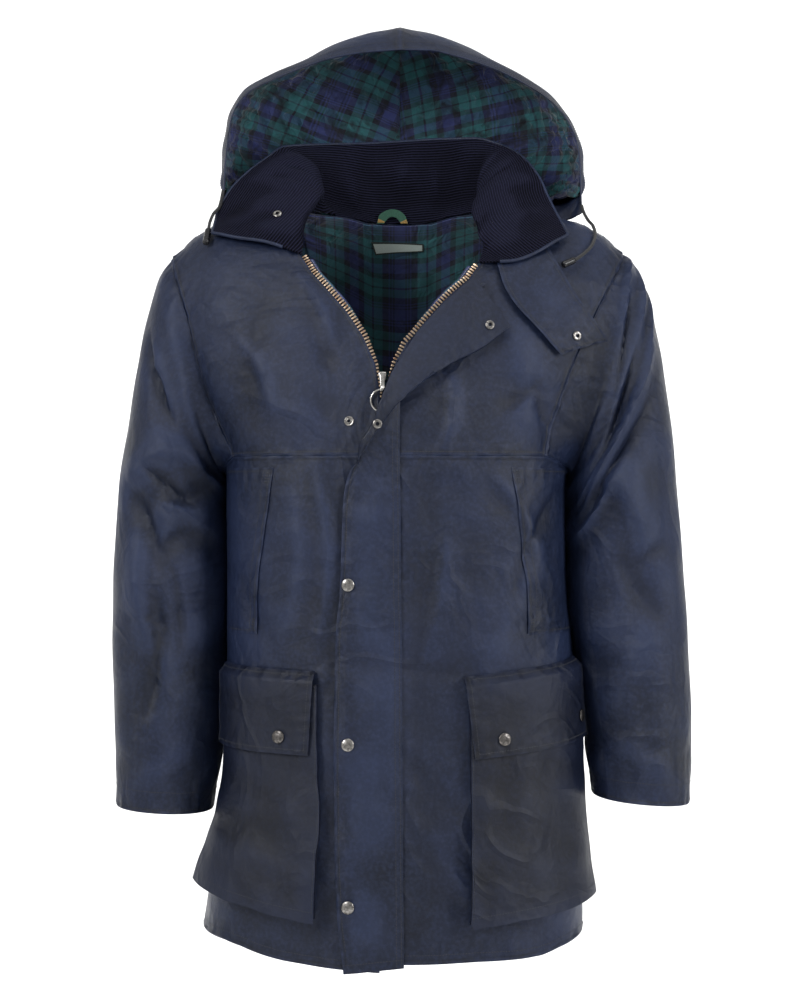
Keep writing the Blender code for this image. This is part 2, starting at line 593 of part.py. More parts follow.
# Hand-warmer pockets: the inner edge across, by height
HANDWARMER = {
    "right": table(
        "drop inner",
        (0.300, 0.1475),
        (0.345, 0.1535),
        (0.404, 0.1622),
        (0.460, 0.1684),
        (0.503, 0.1690),
    ),
    "left": table(
        "drop inner",
        (0.300, 0.1300),
        (0.345, 0.1350),
        (0.404, 0.1420),
        (0.460, 0.1480),
        (0.503, 0.1500),
    ),
}
HANDWARMER_DROPS = (0.304, 0.500)
HANDWARMER_CLOTH = 0.0013
HANDWARMER_OFF = 0.0034
HANDWARMER_OUTER_TURN = math.radians(73)

# Snaps, as radius and height pairs; the places of the storm flap's caps and of the yoke's stud
CAP_PROFILE = ((0.0062, 0.0), (0.0075, 0.0006), (0.0074, 0.0014), (0.0058, 0.0023), (0.0030, 0.0030))
SOCKET_PROFILE = ((0.0022, 0.0), (0.0054, 0.0), (0.0054, 0.0012), (0.0040, 0.0020), (0.0024, 0.0018))
STUD_PROFILE = (
    (0.0056, 0.0),
    (0.0056, 0.0009),
    (0.0034, 0.0014),
    (0.0024, 0.0018),
    (0.0028, 0.0034),
    (0.0018, 0.0042),
)
CAP_X = -0.0600
CAP_HEIGHTS = (-0.4405, -0.6255, -0.8125)
STUD_X, STUD_Z = -0.0591, -0.2503
# Row and share of each socket on the storm flap, the throat tab and the collar, and of the pocket snaps
FLAP_SOCKETS = {"flap_socket_1": (0.45, 0.78, 0.0003), "flap_socket_2": (6.75, 0.60, 0.0004)}
TAB_SOCKET = (5.0, 0.53)
COLLAR_SOCKET = (0.052, 0.44)
COLLAR_SOCKET_OFF = -0.0006
POCKET_SNAPS = {
    "pocket_snap_right": ("right", 0.80, 0.25),
    "pocket_snap_left": ("left", 0.80, 0.21),
    "side_snap": ("left", 0.72, 0.90),
}

# The neck label, by its corners across and height, and how far inside the back it lies
LABEL_CORNERS = ((-0.0372, -0.0083), (0.0308, -0.0109), (0.0309, -0.0197), (-0.0322, -0.0238))
LABEL_IN = WAXED + LINING_OFF + LINING + 0.0019
LABEL_CLOTH = 0.0010

# The hanger loop's outer and inner edge, across and height, and how far back each place is
LOOP = table(
    "place outer_x outer_z inner_x inner_z back",
    (0, -0.0292, 0.0100, -0.0203, 0.0100, 0.0545),
    (1, -0.0267, 0.0202, -0.0178, 0.0139, 0.0552),
    (2, -0.0165, 0.0272, -0.0140, 0.0177, 0.0560),
    (3, -0.0102, 0.0285, -0.0102, 0.0190, 0.0562),
    (4, -0.0025, 0.0272, -0.0051, 0.0177, 0.0560),
    (5, 0.0064, 0.0202, -0.0013, 0.0139, 0.0552),
    (6, 0.0102, 0.0100, 0.0013, 0.0100, 0.0545),
)

# The slider: places down it, half its width, and its lower and upper face off the cloth
SLIDER_X = -0.0203
SLIDER_Z = -0.1990
SLIDER_SECTIONS = (
    (-0.0058, 0.0028, 0.0018, 0.0034),
    (-0.0050, 0.0045, 0.0016, 0.0040),
    (-0.0020, 0.0047, 0.0016, 0.0044),
    (0.0015, 0.0040, 0.0016, 0.0044),
    (0.0046, 0.0036, 0.0016, 0.0040),
    (0.0054, 0.0026, 0.0018, 0.0034),
)
LINK_HALF_WIDTH = 0.0026
LINK_THICK = 0.0010
EYE_DOWN = 0.0155
EYE_OFF = 0.0052
EYE_RADIUS = 0.0026
RING_RADIUS = 0.0127
RING_WIRE = 0.0025
LINK_PATH = ((-0.0020, 0.0053), (0.0050, 0.0055), (0.0105, 0.0062))
LINK_TURN = range(130, -136, -33)

NAVY = (0.026, 0.037, 0.066, 1.0)
CORD_NAVY = (0.011, 0.011, 0.027, 1.0)
TARTAN = (0.022, 0.035, 0.070, 1.0)
BRASS = (0.62, 0.40, 0.22, 1.0)
NICKEL = (0.60, 0.60, 0.58, 1.0)
ANTIQUE = (0.22, 0.21, 0.21, 1.0)
GREEN = (0.02, 0.09, 0.06, 1.0)
GREY = (0.28, 0.31, 0.27, 1.0)
BLACK = (0.012, 0.012, 0.013, 1.0)
SURFACES = {
    "waxed_cotton": (NAVY, 0.45, 0.0),
    "corduroy": (CORD_NAVY, 0.9, 0.0),
    "tartan_cotton": (TARTAN, 0.85, 0.0),
    "zip_tape": (NAVY, 0.8, 0.0),
    "brass_teeth": (BRASS, 0.35, 1.0),
    "nickel": (NICKEL, 0.2, 1.0),
    "antique_silver": (ANTIQUE, 0.4, 1.0),
    "green_tape": (GREEN, 0.8, 0.0),
    "label": (GREY, 0.7, 0.0),
    "black_cord": (BLACK, 0.75, 0.0),
    "black_plastic": (BLACK, 0.25, 0.0),
}


def clear_scene():
    for found in list(bpy.data.objects):
        bpy.data.objects.remove(found, do_unlink=True)


def surface(name):
    found = bpy.data.materials.get(name)
    if found:
        return found
    made = bpy.data.materials.new(name)
    made.use_nodes = True
    colour, roughness, metallic = SURFACES[name]
    shader = made.node_tree.nodes["Principled BSDF"]
    shader.inputs["Base Color"].default_value = colour
    shader.inputs["Roughness"].default_value = roughness
    shader.inputs["Metallic"].default_value = metallic
    return made


def signed_volume(points, faces):
    total = 0.0
    for face in faces:
        for k in range(1, len(face) - 1):
            total += np.dot(points[face[0]], np.cross(points[face[k]], points[face[k + 1]]))
    return total


def solid(name, points, faces, cloth):
    points = np.asarray(points, float)
    if signed_volume(points - points.mean(axis=0), faces) < 0:
        faces = [tuple(reversed(face)) for face in faces]
    mesh = bpy.data.meshes.new(name)
    mesh.from_pydata([tuple(p) for p in points], [], faces)
    mesh.validate()
    mesh.materials.append(surface(cloth))
    made = bpy.data.objects.new(name, mesh)
    bpy.context.scene.collection.objects.link(made)
    return made


def mitred(grid, closed=False):
    """Normals of a grid of points, lengthened where it bends so that the cloth keeps its thickness."""
    if closed:
        grid = np.concatenate([grid, grid[:, :1]], axis=1)
    faces = unit(np.cross(grid[1:, :-1] - grid[:-1, 1:], grid[1:, 1:] - grid[:-1, :-1]))
    rows, columns = grid.shape[:2]
    total = np.zeros(grid.shape)
    count = np.zeros((rows, columns, 1))
    for i in (0, 1):
        for j in (0, 1):
            total[i : rows - 1 + i, j : columns - 1 + j] += faces
            count[i : rows - 1 + i, j : columns - 1 + j] += 1
    if closed:
        total[:, 0] += total[:, -1]
        count[:, 0] += count[:, -1]
        total, count = total[:, :-1], count[:, :-1]
    mean = total / count
    return mean / np.maximum(np.linalg.norm(mean, axis=-1, keepdims=True), 0.72) ** 2


def front_normals_of(grid):
    """The grid's normals, turned so that the middle one faces the front."""
    normals = mitred(grid)
    middle = normals[grid.shape[0] // 2, grid.shape[1] // 2]
    return normals if middle[1] < 0 else -normals


def wall(name, face, thickness, cloth, closed=False, normals=None):
    """A thin wall from its outer face, a grid of points, and the cloth's thickness behind it."""
    normals = mitred(face, closed) if normals is None else normals
    back = face - normals * thickness
    rows, columns = face.shape[:2]
    points = np.concatenate([face.reshape(-1, 3), back.reshape(-1, 3)])
    behind = rows * columns
    faces = []
    across = columns if closed else columns - 1
    for i in range(rows - 1):
        for j in range(across):
            k = (j + 1) % columns
            a, b, c, d = i * columns + j, i * columns + k, (i + 1) * columns + k, (i + 1) * columns + j
            faces += [(a, b, c), (a, c, d)]
            faces += [(behind + c, behind + b, behind + a), (behind + d, behind + c, behind + a)]
    rim = []
    for j in range(across):
        k = (j + 1) % columns
        rim.append((k, j))
        rim.append(((rows - 1) * columns + j, (rows - 1) * columns + k))
    if not closed:
        for i in range(rows - 1):
            rim.append((i * columns, (i + 1) * columns))
            rim.append(((i + 1) * columns + columns - 1, i * columns + columns - 1))
    for a, b in rim:
        faces.append((a, b, behind + b, behind + a))
    return solid(name, points, faces, cloth)


def rod(name, rings, cloth):
    """A closed body through rings of points, with a flat face at each end."""
    count, around = rings.shape[:2]
    faces = [tuple(range(around)), tuple((count - 1) * around + j for j in reversed(range(around)))]
    for i in range(count - 1):
        for j in range(around):
            k = (j + 1) % around
            faces.append((i * around + k, i * around + j, (i + 1) * around + j, (i + 1) * around + k))
    return solid(name, rings.reshape(-1, 3), faces, cloth)


def hoop(name, rings, cloth):
    """A closed body through rings of points whose last ring joins its first."""
    count, around = rings.shape[:2]
    faces = []
    for i in range(count):
        n = (i + 1) % count
        for j in range(around):
            k = (j + 1) % around
            faces.append((i * around + j, i * around + k, n * around + k, n * around + j))
    return solid(name, rings.reshape(-1, 3), faces, cloth)


def frame_of(axis):
    axis = unit(np.asarray(axis, float))
    side = np.cross((0.0, 0.0, 1.0), axis)
    side = unit(side) if np.linalg.norm(side) > 1e-6 else np.array((1.0, 0.0, 0.0))
    return axis, side, np.cross(axis, side)


def turned(name, profile, centre, axis, cloth, around=16, through=False):
    """A body turned about an axis from radius and height pairs; through leaves its middle open."""
    axis, side, up = frame_of(axis)
    angles = np.linspace(0, 2 * np.pi, around, endpoint=False)
    circle = np.cos(angles)[:, None] * side + np.sin(angles)[:, None] * up
    rings = np.array([np.asarray(centre) + r * circle + h * axis for r, h in profile])
    return hoop(name, rings, cloth) if through else rod(name, rings, cloth)


def even_turns(side, face, level, first, last, count):
    fine = np.linspace(first, last, 48)
    line = body(side, face, fine, level)
    length = np.concatenate([[0], np.cumsum(np.linalg.norm(np.diff(line, axis=0), axis=1))])
    return np.interp(np.linspace(0, length[-1], count + 1), length, fine)


def edge_levels(side):
    rows = EDGE[side]
    drops = np.linspace(rows["drop"][0], 0.30, 120)
    outs = read(rows, "out", drops)
    return level_at(outs, -drops), outs


EDGE_LEVELS = {side: edge_levels(side) for side in SIDE}


def edge_out(side, level):
    """How far out the shell's front edge lies at a level."""
    levels, outs = EDGE_LEVELS[side]
    return np.interp(level, levels, outs)


def arm_turn(side, face, level):
    share = share_of(level)
    return turn_at(side, level, read(ARMHOLE, face + "_" + side, share))


def zip_top_level(side):
    top = ZIP_TOP[side]
    return float(level_at(read(EDGE[side], "out", top), -top))


def yoke_nodes(side):
    zip_top = zip_top_level(side)
    above = np.linspace(SHOULDER_SEAM_LEVEL, zip_top, YOKE_ROWS_ABOVE + 1)
    levels = np.concatenate([above, np.linspace(zip_top, YOKE_SEAM_UP, YOKE_ROWS_BELOW + 1)[1:]])
    turns = []
    for level in levels:
        first = turn_at(side, level, edge_out(side, level))
        turns.append(even_turns(side, "front", level, first, arm_turn(side, "front", level), YOKE_COLUMNS))
    return np.array(turns), levels[:, None] + np.zeros(YOKE_COLUMNS + 1)


def underarm_drop(turn, arm):
    f = np.clip((turn - arm) / (math.pi / 2 - arm), 0, 1)
    return (UNDERARM_LEVEL - YOKE_LEVEL) * f * f * (3 - 2 * f)


def hem_level(side, face, turn):
    drop = read(HEM, face + "_" + side, np.degrees(np.abs(turn)))
    return YOKE_LEVEL + (drop - YOKE_DROP) / LEVEL_STEP


def lower_nodes(side, face, first_out, columns):
    """Turns and levels of the nodes of a panel below the yoke seam, from its inner edge to the side seam."""
    arm = float(arm_turn(side, face, YOKE_LEVEL))
    turns, levels = [], []
    for f in np.linspace(0, 1, FRONT_ROWS + 1):
        level = YOKE_SEAM_DOWN + f * (float(hem_level(side, face, 0.0)) - YOKE_SEAM_DOWN)
        first = 0.0 if first_out is None else float(turn_at(side, level, first_out))
        inner = even_turns(side, face, level, first, arm, columns)
        outer = even_turns(side, face, level, arm, SIDE_SEAM_TURN, ARM_COLUMNS)[1:]
        turn = np.concatenate([inner, outer])
        top = YOKE_SEAM_DOWN + underarm_drop(turn, arm)
        turns.append(turn)
        levels.append(top + f * (hem_level(side, face, turn) - top))
    return np.array(turns), np.array(levels)


def neck_level(share):
    """The level of the back neckline by the share of the way out to the armhole."""
    f = np.clip(np.abs(share) / NECK_SHARE, 0, 1)
    return np.maximum(NECK_LEVEL * (1 - f**2.2), SHOULDER_SEAM_LEVEL)


def back_yoke_nodes():
    """Sides, turns and levels of the back yoke, from the right armhole to the left one."""
    shares = np.linspace(0, 1, BACK_COLUMNS + 1)
    grids = {}
    for side in SIDE:
        turns = np.zeros((YOKE_ROWS + 1, BACK_COLUMNS + 1))
        levels = np.zeros_like(turns)
        for j, share in enumerate(shares):
            top = float(neck_level(share))
            for i, f in enumerate(np.linspace(0, 1, YOKE_ROWS + 1)):
                level = top + f * (YOKE_SEAM_UP - top)
                arm = float(arm_turn(side, "back", level))
                line = even_turns(side, "back", level, 0.0, arm, BACK_COLUMNS)
                turns[i, j] = line[j]
                levels[i, j] = level
        grids[side] = (turns, levels)
    return grids


def both_sides(right, left):
    """One grid from the right side's columns, outermost first, and the left side's."""
    return np.concatenate([right[:, ::-1], left[:, 1:]], axis=1)


def body_panel(name, side, face, turns, levels):
    """A panel of the body; its points, their way out, turns and levels serve what is sewn on it."""
    points = skin(side, face, turns, levels)
    normals = outward(side, face, turns, levels)
    wall(name, points, WAXED, "waxed_cotton", normals=normals)
    return {"points": points, "normals": normals, "turns": turns, "levels": levels}


def on_panel(panel, turn, level, lift):
    """The place on a panel's flat facets at a turn and level, moved out by lift."""
    rows, columns = panel["turns"].shape
    at_turn = [np.interp(turn, panel["turns"][i], panel["levels"][i]) for i in range(rows)]
    row = float(np.interp(level, at_turn, np.arange(rows)))
    i = min(int(row), rows - 2)
    down = row - i
    ends = []
    for k in (i, i + 1):
        place = np.interp(turn, panel["turns"][k], np.arange(columns))
        for part in ("points", "normals"):
            line = panel[part][k]
            ends.append(np.array([np.interp(place, np.arange(columns), line[:, axis]) for axis in range(3)]))
    point = ends[0] * (1 - down) + ends[2] * down
    normal = unit(ends[1] * (1 - down) + ends[3] * down)
    return point + normal * lift


def neckline(side):
    """The neckline from the zip's top end over the shoulder to the middle of the back."""
    levels = np.linspace(zip_top_level(side), SHOULDER_SEAM_LEVEL, 24)
    front = skin(side, "front", turn_at(side, levels, edge_out(side, levels)), levels)
    back = []
    for share in np.linspace(NECK_SHARE, 0, 16)[1:]:
        level = float(neck_level(share))
        turn = even_turns(side, "back", level, 0.0, float(arm_turn(side, "back", level)), 100)
        back.append(skin(side, "back", turn[int(round(share * 100))], level))
    return np.concatenate([front, np.array(back)])


def along(line, count):
    """Points spaced evenly along a line of points."""
    length = np.concatenate([[0], np.cumsum(np.linalg.norm(np.diff(line, axis=0), axis=1))])
    places = np.linspace(0, length[-1], count) if np.isscalar(count) else np.asarray(count) * length[-1]
    return np.stack([np.interp(places, length, line[:, k]) for k in range(3)], axis=-1)


def neck_seam(runs):
    right, left = neckline("right"), neckline("left")
    line = np.concatenate([right, left[::-1][1:]])
    return along(line, runs)


def collar_points(runs, shares):
    """The collar's seen face: a row for each run along the band, a column for each share of its height."""
    seam = neck_seam(runs)
    inward = unit(-seam * np.array((1.0, 0.6, 0.0)))
    seam = seam + inward * NECK_INSET + np.array((0.0, 0.0, NECK_RAISE))
    ends = np.clip(1 - np.minimum(runs, 1 - runs) / COLLAR_END_SHARE, 0, 1)[:, None]
    seam = seam - ends * np.array((0.0, COLLAR_END_FORWARD, 0.0))
    places = [seam]
    for place in COLLAR_PLACES:
        places.append(np.stack([read(COLLAR, place + "_" + k, runs) for k in "xyz"], axis=-1))
    places = np.array(places)
    marks = np.linspace(0, 1, len(places))
    result = np.empty((len(runs), len(shares), 3))
    for i in range(len(runs)):
        for k in range(3):
            rows = {"mark": marks, "value": places[:, i, k]}
            result[i, :, k] = read(rows, "value", shares)
    return result


def bezier(a, b, c, d, f):
    f = f[None, :, None]
    a, b, c, d = (v[:, None, :] for v in (a, b, c, d))
    return (1 - f) ** 3 * a + 3 * (1 - f) ** 2 * f * b + 3 * (1 - f) * f * f * c + f**3 * d


def hood_points(side, runs, shares):
    """The hood half's outer face: rows from the corner to the seam, columns from neck to brim."""
    rows = HOOD[side]
    corners = [
        np.stack([read(rows, part + "_" + k, runs) for k in "xyz"], axis=-1)
        for part in ("neck", "back", "crown", "brim")
    ]
    return bezier(*corners, shares)


def armhole_loop(yoke, front, back_yoke, back):
    """The armhole's points from the shoulder seam by way of the front and the underarm to the back."""
    under_front = front[0, -ARM_COLUMNS:]
    under_back = back[0, -ARM_COLUMNS - 1 : -1][::-1]
    return np.concatenate([yoke[:, -1], under_front, under_back, back_yoke[1:, -1][::-1]])


def sleeve_points(side, loop, runs):
    """The sleeve's outer face: one row for each run from armhole to cuff, columns round from the top."""
    count = len(loop)
    length = np.linalg.norm(np.diff(np.concatenate([loop, loop[:1]]), axis=0), axis=1)
    share = np.concatenate([[0], np.cumsum(length)[:-1]]) / length.sum()
    even = np.arange(count) / count
    rows = []
    for run in runs:
        mix = np.clip(run / SLEEVE_EVEN_AT, 0, 1)
        angle = 2 * np.pi * (share * (1 - mix) + even * mix)
        section = run * SLEEVE_SECTIONS
        at = {k: float(read(SLEEVE[side], k, section)) for k in SLEEVE[side] if k != "section"}
        outer = np.array((SIDE[side] * at["outer_x"], at["middle_y"], at["outer_z"]))
        inner = np.array((SIDE[side] * at["inner_x"], at["middle_y"], at["inner_z"]))
        half = (outer - inner) / 2
        ring = (outer + inner) / 2 + np.cos(angle)[:, None] * half
        ring[:, 1] -= np.sin(angle) * at["half_y"]
        join = np.clip(1 - run / ARMHOLE_FADE, 0, 1) ** 1.5
        ring = ring * (1 - join) + loop * join
        rows.append(ring)
    grid = np.array(rows)
    grid[..., 0] += SIDE[side] * SLEEVE_GAP
    normals = mitred(grid, closed=True)
    middle = grid.mean(axis=1, keepdims=True)
    flip = np.sign(((grid - middle) * normals).sum(axis=-1).mean())
    normals = normals * flip
    around = np.linspace(0, 1, count, endpoint=False)[None, :] * SLEEVE_GIRTH
    down = np.asarray(runs)[:, None] * SLEEVE_RUN
    fade = np.clip(np.asarray(runs) / 0.06, 0, 1)[:, None]
    fold = creases(SLEEVE_FOLDS[side], around + 0 * down, down + 0 * around) * fade
    return grid + unit(normals) * fold[..., None], normals


def zip_line(yoke, front):
    """The shell's front edge below the zip's top end: its points, the way inwards and the way out."""
    points, normals = (
        np.concatenate([yoke[part][YOKE_ROWS_ABOVE:, :2], front[part][1:, :2]])
        for part in ("points", "normals")
    )
    return points[:, 0], unit(points[:, 0] - points[:, 1]), normals[:, 0]


def on_line(line, rows, inward, lift):
    """Places beside the zip line at fractional rows, inward of it along the cloth and lifted off it."""
    index = np.arange(len(line[0]))
    point, across, normal = (
        np.stack([np.interp(rows, index, part[:, k]) for k in range(3)], axis=-1) for part in line
    )
    inward, lift = (np.broadcast_to(v, rows.shape)[:, None] for v in (inward, lift))
    return point + unit(across) * inward + unit(normal) * lift


def make_zip(lines):
    rows = ZIP_ROWS
    closed = np.clip((rows - ZIP_CLOSING_ROW) / ZIP_CLOSING_ROWS, 0, 1)
    reach, middle, half = (a + (b - a) * closed for a, b in (TAPE_REACH, TEETH_MIDDLE, TEETH_HALF))
    low, high = TEETH_HEIGHTS
    for side in SIDE:
        line = lines[side]
        edges = [on_line(line, rows, -TAPE_BEHIND, -TAPE_IN[0]), on_line(line, rows, reach, -TAPE_IN[1])]
        normals = np.repeat(row_normals(line, rows)[:, None, :], 2, axis=1)
        wall("zip_tape_" + side, np.stack(edges, axis=1), TAPE, "zip_tape", normals=normals)
        ring = [
            on_line(line, rows, middle + sign * half, height)
            for sign, height in ((-1, low), (1, low), (1, high), (-1, high))
        ]
        rod("zip_chain_" + side, np.stack(ring, axis=1), "brass_teeth")


def row_normals(line, rows):
    index = np.arange(len(line[0]))
    return unit(np.stack([np.interp(rows, index, line[2][:, k]) for k in range(3)], axis=-1))


def make_facings(lines):
    for side in SIDE:
        rows = np.linspace(0.1, 4.7, 11)
        inward = read(FACING_INWARD, "inward", rows)
        places = zip((-FACING_BEHIND, 0.0, inward), FACING_IN)
        grid = np.stack([on_line(lines[side], rows, across, -deep) for across, deep in places], axis=1)
        normals = np.repeat(row_normals(lines[side], rows)[:, None, :], 3, axis=1)
        wall("facing_" + side, grid, LINING, "tartan_cotton", normals=normals)


def flap_points(rows):
    """The storm flap's middle line in each section: root to fold, round the fold, and on to the edge."""
    grid = []
    for row in rows:
        at = {k: float(read(STORM_FLAP, k, row)) for k in STORM_FLAP if k != "row"}
        root = np.array((at["root_x"], at["root_z"]))
        fold = np.array((at["fold_x"], at["fold_z"]))
        edge = np.array((at["edge_x"], at["edge_z"]))
        up = at["turn_up"]
        folded = float(np.clip(up / FLAP_FOLDED_UP, 0, 1))
        root_off = float(read(FLAP_ROOT, "off", row))
        line = []
        for f in FLAP_LOWER_SHARES:
            off = root_off + (at["fold_off"] - root_off) * f**0.8
            line.append((root + (fold - root) * f, off))
        for k in range(len(FLAP_TURNING["flat"])):
            turning = {name: float(column[k]) for name, column in FLAP_TURNING.items()}
            share = turning["flat"] + (turning["folded"] - turning["flat"]) * folded
            place = fold + (edge - fold) * share + unit(fold - root) * up * turning["out"] * folded
            off = at["fold_off"] + up * turning["rise"]
            line.append((place, off + (at["edge_off"] - off) * share))
        grid.append([front_at(place[0], place[1], off) for place, off in line])
    return np.array(grid)


def make_storm_flap():
    grid = flap_points(np.linspace(0, 16, FLAP_ROWS))
    normals = mitred(grid)
    if normals[-1, 0, 1] > 0:
        normals = -normals
    wall("storm_flap", grid + normals * WAXED / 2, WAXED, "waxed_cotton", normals=normals)


def bag_off(side, drop, across):
    """How far the bag's face stands off the front."""
    inner, outer = (float(read(BAG[side], edge, drop)) for edge in ("off_inner", "off_outer"))
    return inner + (outer - inner) * across


def bag_grid(side):
    """A bellows bag: foot on the front, gusset standing off it, face, and gusset again, open at the top."""
    rows = BAG[side]
    top = rows["drop"][0]
    first, last = BAG_BOTTOM[side]
    downs = BAG_DOWN + [1.0, 1.0]
    columns = [0.0, 0.0] + BAG_ACROSS + [1.0, 1.0]
    grid = []
    for i, down in enumerate(downs):
        grid.append([])
        down_fold = max(i - len(BAG_DOWN) + 1, 0)
        for j, across in enumerate(columns):
            across_fold = max(2 - j, j - len(columns) + 3, 0)
            drop = top + (first + (last - first) * across - top) * down
            level = YOKE_LEVEL + (drop - YOKE_DROP) / LEVEL_STEP
            inner = float(turn_at(side, level, float(read(rows, "inner", drop))))
            turns = even_turns(side, "front", level, inner, BAG_OUTER_TURN, 20)
            turn = float(np.interp(across, np.linspace(0, 1, 21), turns))
            off = bag_off(side, drop, across)
            pleat = float(np.clip((off - BAG_FLAT_OFF) / BAG_FLAT_OFF, 0, 1))
            off = BAG_FOOT[side] + (off - BAG_FOOT[side]) * BAG_FOLD_OFF[max(down_fold, across_fold)]
            if across in (0.0, 1.0):
                inset = BAG_INSET[across_fold][down_fold] * pleat
                turn += inset / BODY_RADIUS * (1 if across == 0.0 else -1)
            if down == 1.0:
                level -= BAG_INSET[down_fold][across_fold] * pleat / LEVEL_STEP
            grid[i].append(skin(side, "front", turn, level, off))
    return np.array(grid)


def make_pockets():
    for side in SIDE:
        grid = bag_grid(side)
        normals = front_normals_of(grid)
        bottom = len(BAG_DOWN) - 1
        for corner, beside in ((2, 3), (-3, -4)):
            normals[bottom, corner] = 0.6 * (normals[bottom, beside] + normals[bottom - 1, corner])
        wall("pocket_" + side, grid, WAXED, "waxed_cotton", normals=normals)
        make_pocket_flap(side)


def pocket_flap_point(side, f, g):
    """A place on the pocket flap's outer face, f of the way down and g of the way out."""
    top = FLAP_TOP[side][0] + (FLAP_TOP[side][1] - FLAP_TOP[side][0]) * g
    bottom = FLAP_BOTTOM[side][0] + (FLAP_BOTTOM[side][1] - FLAP_BOTTOM[side][0]) * g
    drop = top + (bottom - top) * f
    level = YOKE_LEVEL + (drop - YOKE_DROP) / LEVEL_STEP
    inner = FLAP_INNER[side][0] + (FLAP_INNER[side][1] - FLAP_INNER[side][0]) * f
    first = float(turn_at(side, level, inner))
    turns = even_turns(side, "front", level, first, BAG_OUTER_TURN + 0.02, 20)
    turn = float(np.interp(g, np.linspace(0, 1, 21), turns))
    rise = np.clip(f / FLAP_FOOT_SHARE, 0, 1)
    return skin(side, "front", turn, level, FLAP_FOOT + (bag_off(side, drop, g) + FLAP_OVER_BAG) * rise)


def make_pocket_flap(side):
    downs = (0.0, FLAP_FOOT_SHARE, 0.25, 0.45, 0.65, 0.85, 1.0)
    grid = np.array([[pocket_flap_point(side, f, g) for g in np.linspace(0, 1, 9)] for f in downs])
    wall("pocket_flap_" + side, grid, WAXED, "waxed_cotton", normals=front_normals_of(grid))


def make_handwarmers(fronts):
    for side in SIDE:
        grid = []
        for drop in np.linspace(*HANDWARMER_DROPS, 8):
            level = YOKE_LEVEL + (drop - YOKE_DROP) / LEVEL_STEP
            inner = float(turn_at(side, level, float(read(HANDWARMER[side], "inner", drop))))
            turns = even_turns(side, "front", level, inner, HANDWARMER_OUTER_TURN, 5)
            grid.append([on_panel(fronts[side], turn, level, HANDWARMER_OFF) for turn in turns])
        grid = np.array(grid)
        wall("handwarmer_" + side, grid, HANDWARMER_CLOTH, "waxed_cotton", normals=front_normals_of(grid))


def tab_point(row, f):
    """A place on the throat tab's outer face, by row down it and share across it."""
    at = {k: float(read(TAB_EDGES, k, row)) for k in TAB_EDGES if k != "row"}
    x = at["near_x"] + (at["far_x"] - at["near_x"]) * f
    z = at["near_z"] + (at["far_z"] - at["near_z"]) * f
    return front_at(x, z, at["near_off"] + (at["far_off"] - at["near_off"]) * f)


def make_throat_tab():
    grid = np.array([[tab_point(row, f) for f in np.linspace(0, 1, 6)] for row in np.linspace(0, 6, 10)])
    wall("throat_tab", grid, WAXED, "waxed_cotton", normals=front_normals_of(grid))


def make_cord(name, route, material):
    curve = bpy.data.curves.new(name, "CURVE")
    curve.dimensions = "3D"
    curve.bevel_depth = CORD / 2
    curve.bevel_resolution = 2
    curve.use_fill_caps = True
    route = np.array(route)
    marks = {"mark": np.arange(len(route), dtype=float)}
    fine = np.linspace(0, len(route) - 1, 120)
    line = np.stack([read({**marks, "value": route[:, k]}, "value", fine) for k in range(3)], axis=-1)
    length = np.linalg.norm(np.diff(line, axis=0), axis=1).sum()
    points = along(line, max(6, int(length / (CORD * 2.2))))
    spline = curve.splines.new("POLY")
    spline.points.add(len(points) - 1)
    for node, point in zip(spline.points, points):
        node.co = (*point, 1.0)
    curve.materials.append(surface(material))
    made = bpy.data.objects.new(name, curve)
    bpy.context.scene.collection.objects.link(made)


def make_cords():
    for side in SIDE:
        make_cord("drawcord_" + side, CORD_ROUTE[side], "black_cord")
        start, end = (np.array(p) for p in CORD_END_PLACES[side])
        axis = end - start
        length = float(np.linalg.norm(axis))
        r = CORD_END / 2
        profile = (
            (r * 0.72, 0.0003),
            (r * 0.95, 0.0016),
            (r, length * 0.35),
            (r, length - 0.0012),
            (r * 0.85, length),
        )
        turned("cord_end_" + side, profile, start, axis, "black_plastic", around=12)


def snap_on(name, place, profile, cloth, through=False, off=0.0003):
    """A snap standing on the cloth at place, a function of two shares that gives the cloth's points."""
    step = 0.02
    centre = place(0, 0)
    axis = unit(np.cross(place(step, 0) - place(-step, 0), place(0, step) - place(0, -step)))
    axis = axis if axis[1] < 0 else -axis
    return turned(name, profile, centre + axis * off, axis, cloth, around=14, through=through)


def on_front(x, z, off):
    return lambda u, v: front_at(x + u * 0.1, z + v * 0.1, off)


def moved_place(place, a, b):
    return lambda u, v: place(a + u, b + v)


def flap_turned(row, f):
    """A place in the middle of the storm flap's turned-back cloth, by row and share from fold to edge."""
    at = {k: float(read(STORM_FLAP, k, row)) for k in STORM_FLAP if k != "row"}
    off = at["fold_off"] + at["turn_up"] * 1.2
    x = at["fold_x"] + (at["edge_x"] - at["fold_x"]) * f
    z = at["fold_z"] + (at["edge_z"] - at["fold_z"]) * f
    return front_at(x, z, off + (at["edge_off"] - off) * f)


def on_collar(run, share):
    return collar_points(np.array([run]), np.array([share]))[0, 0]


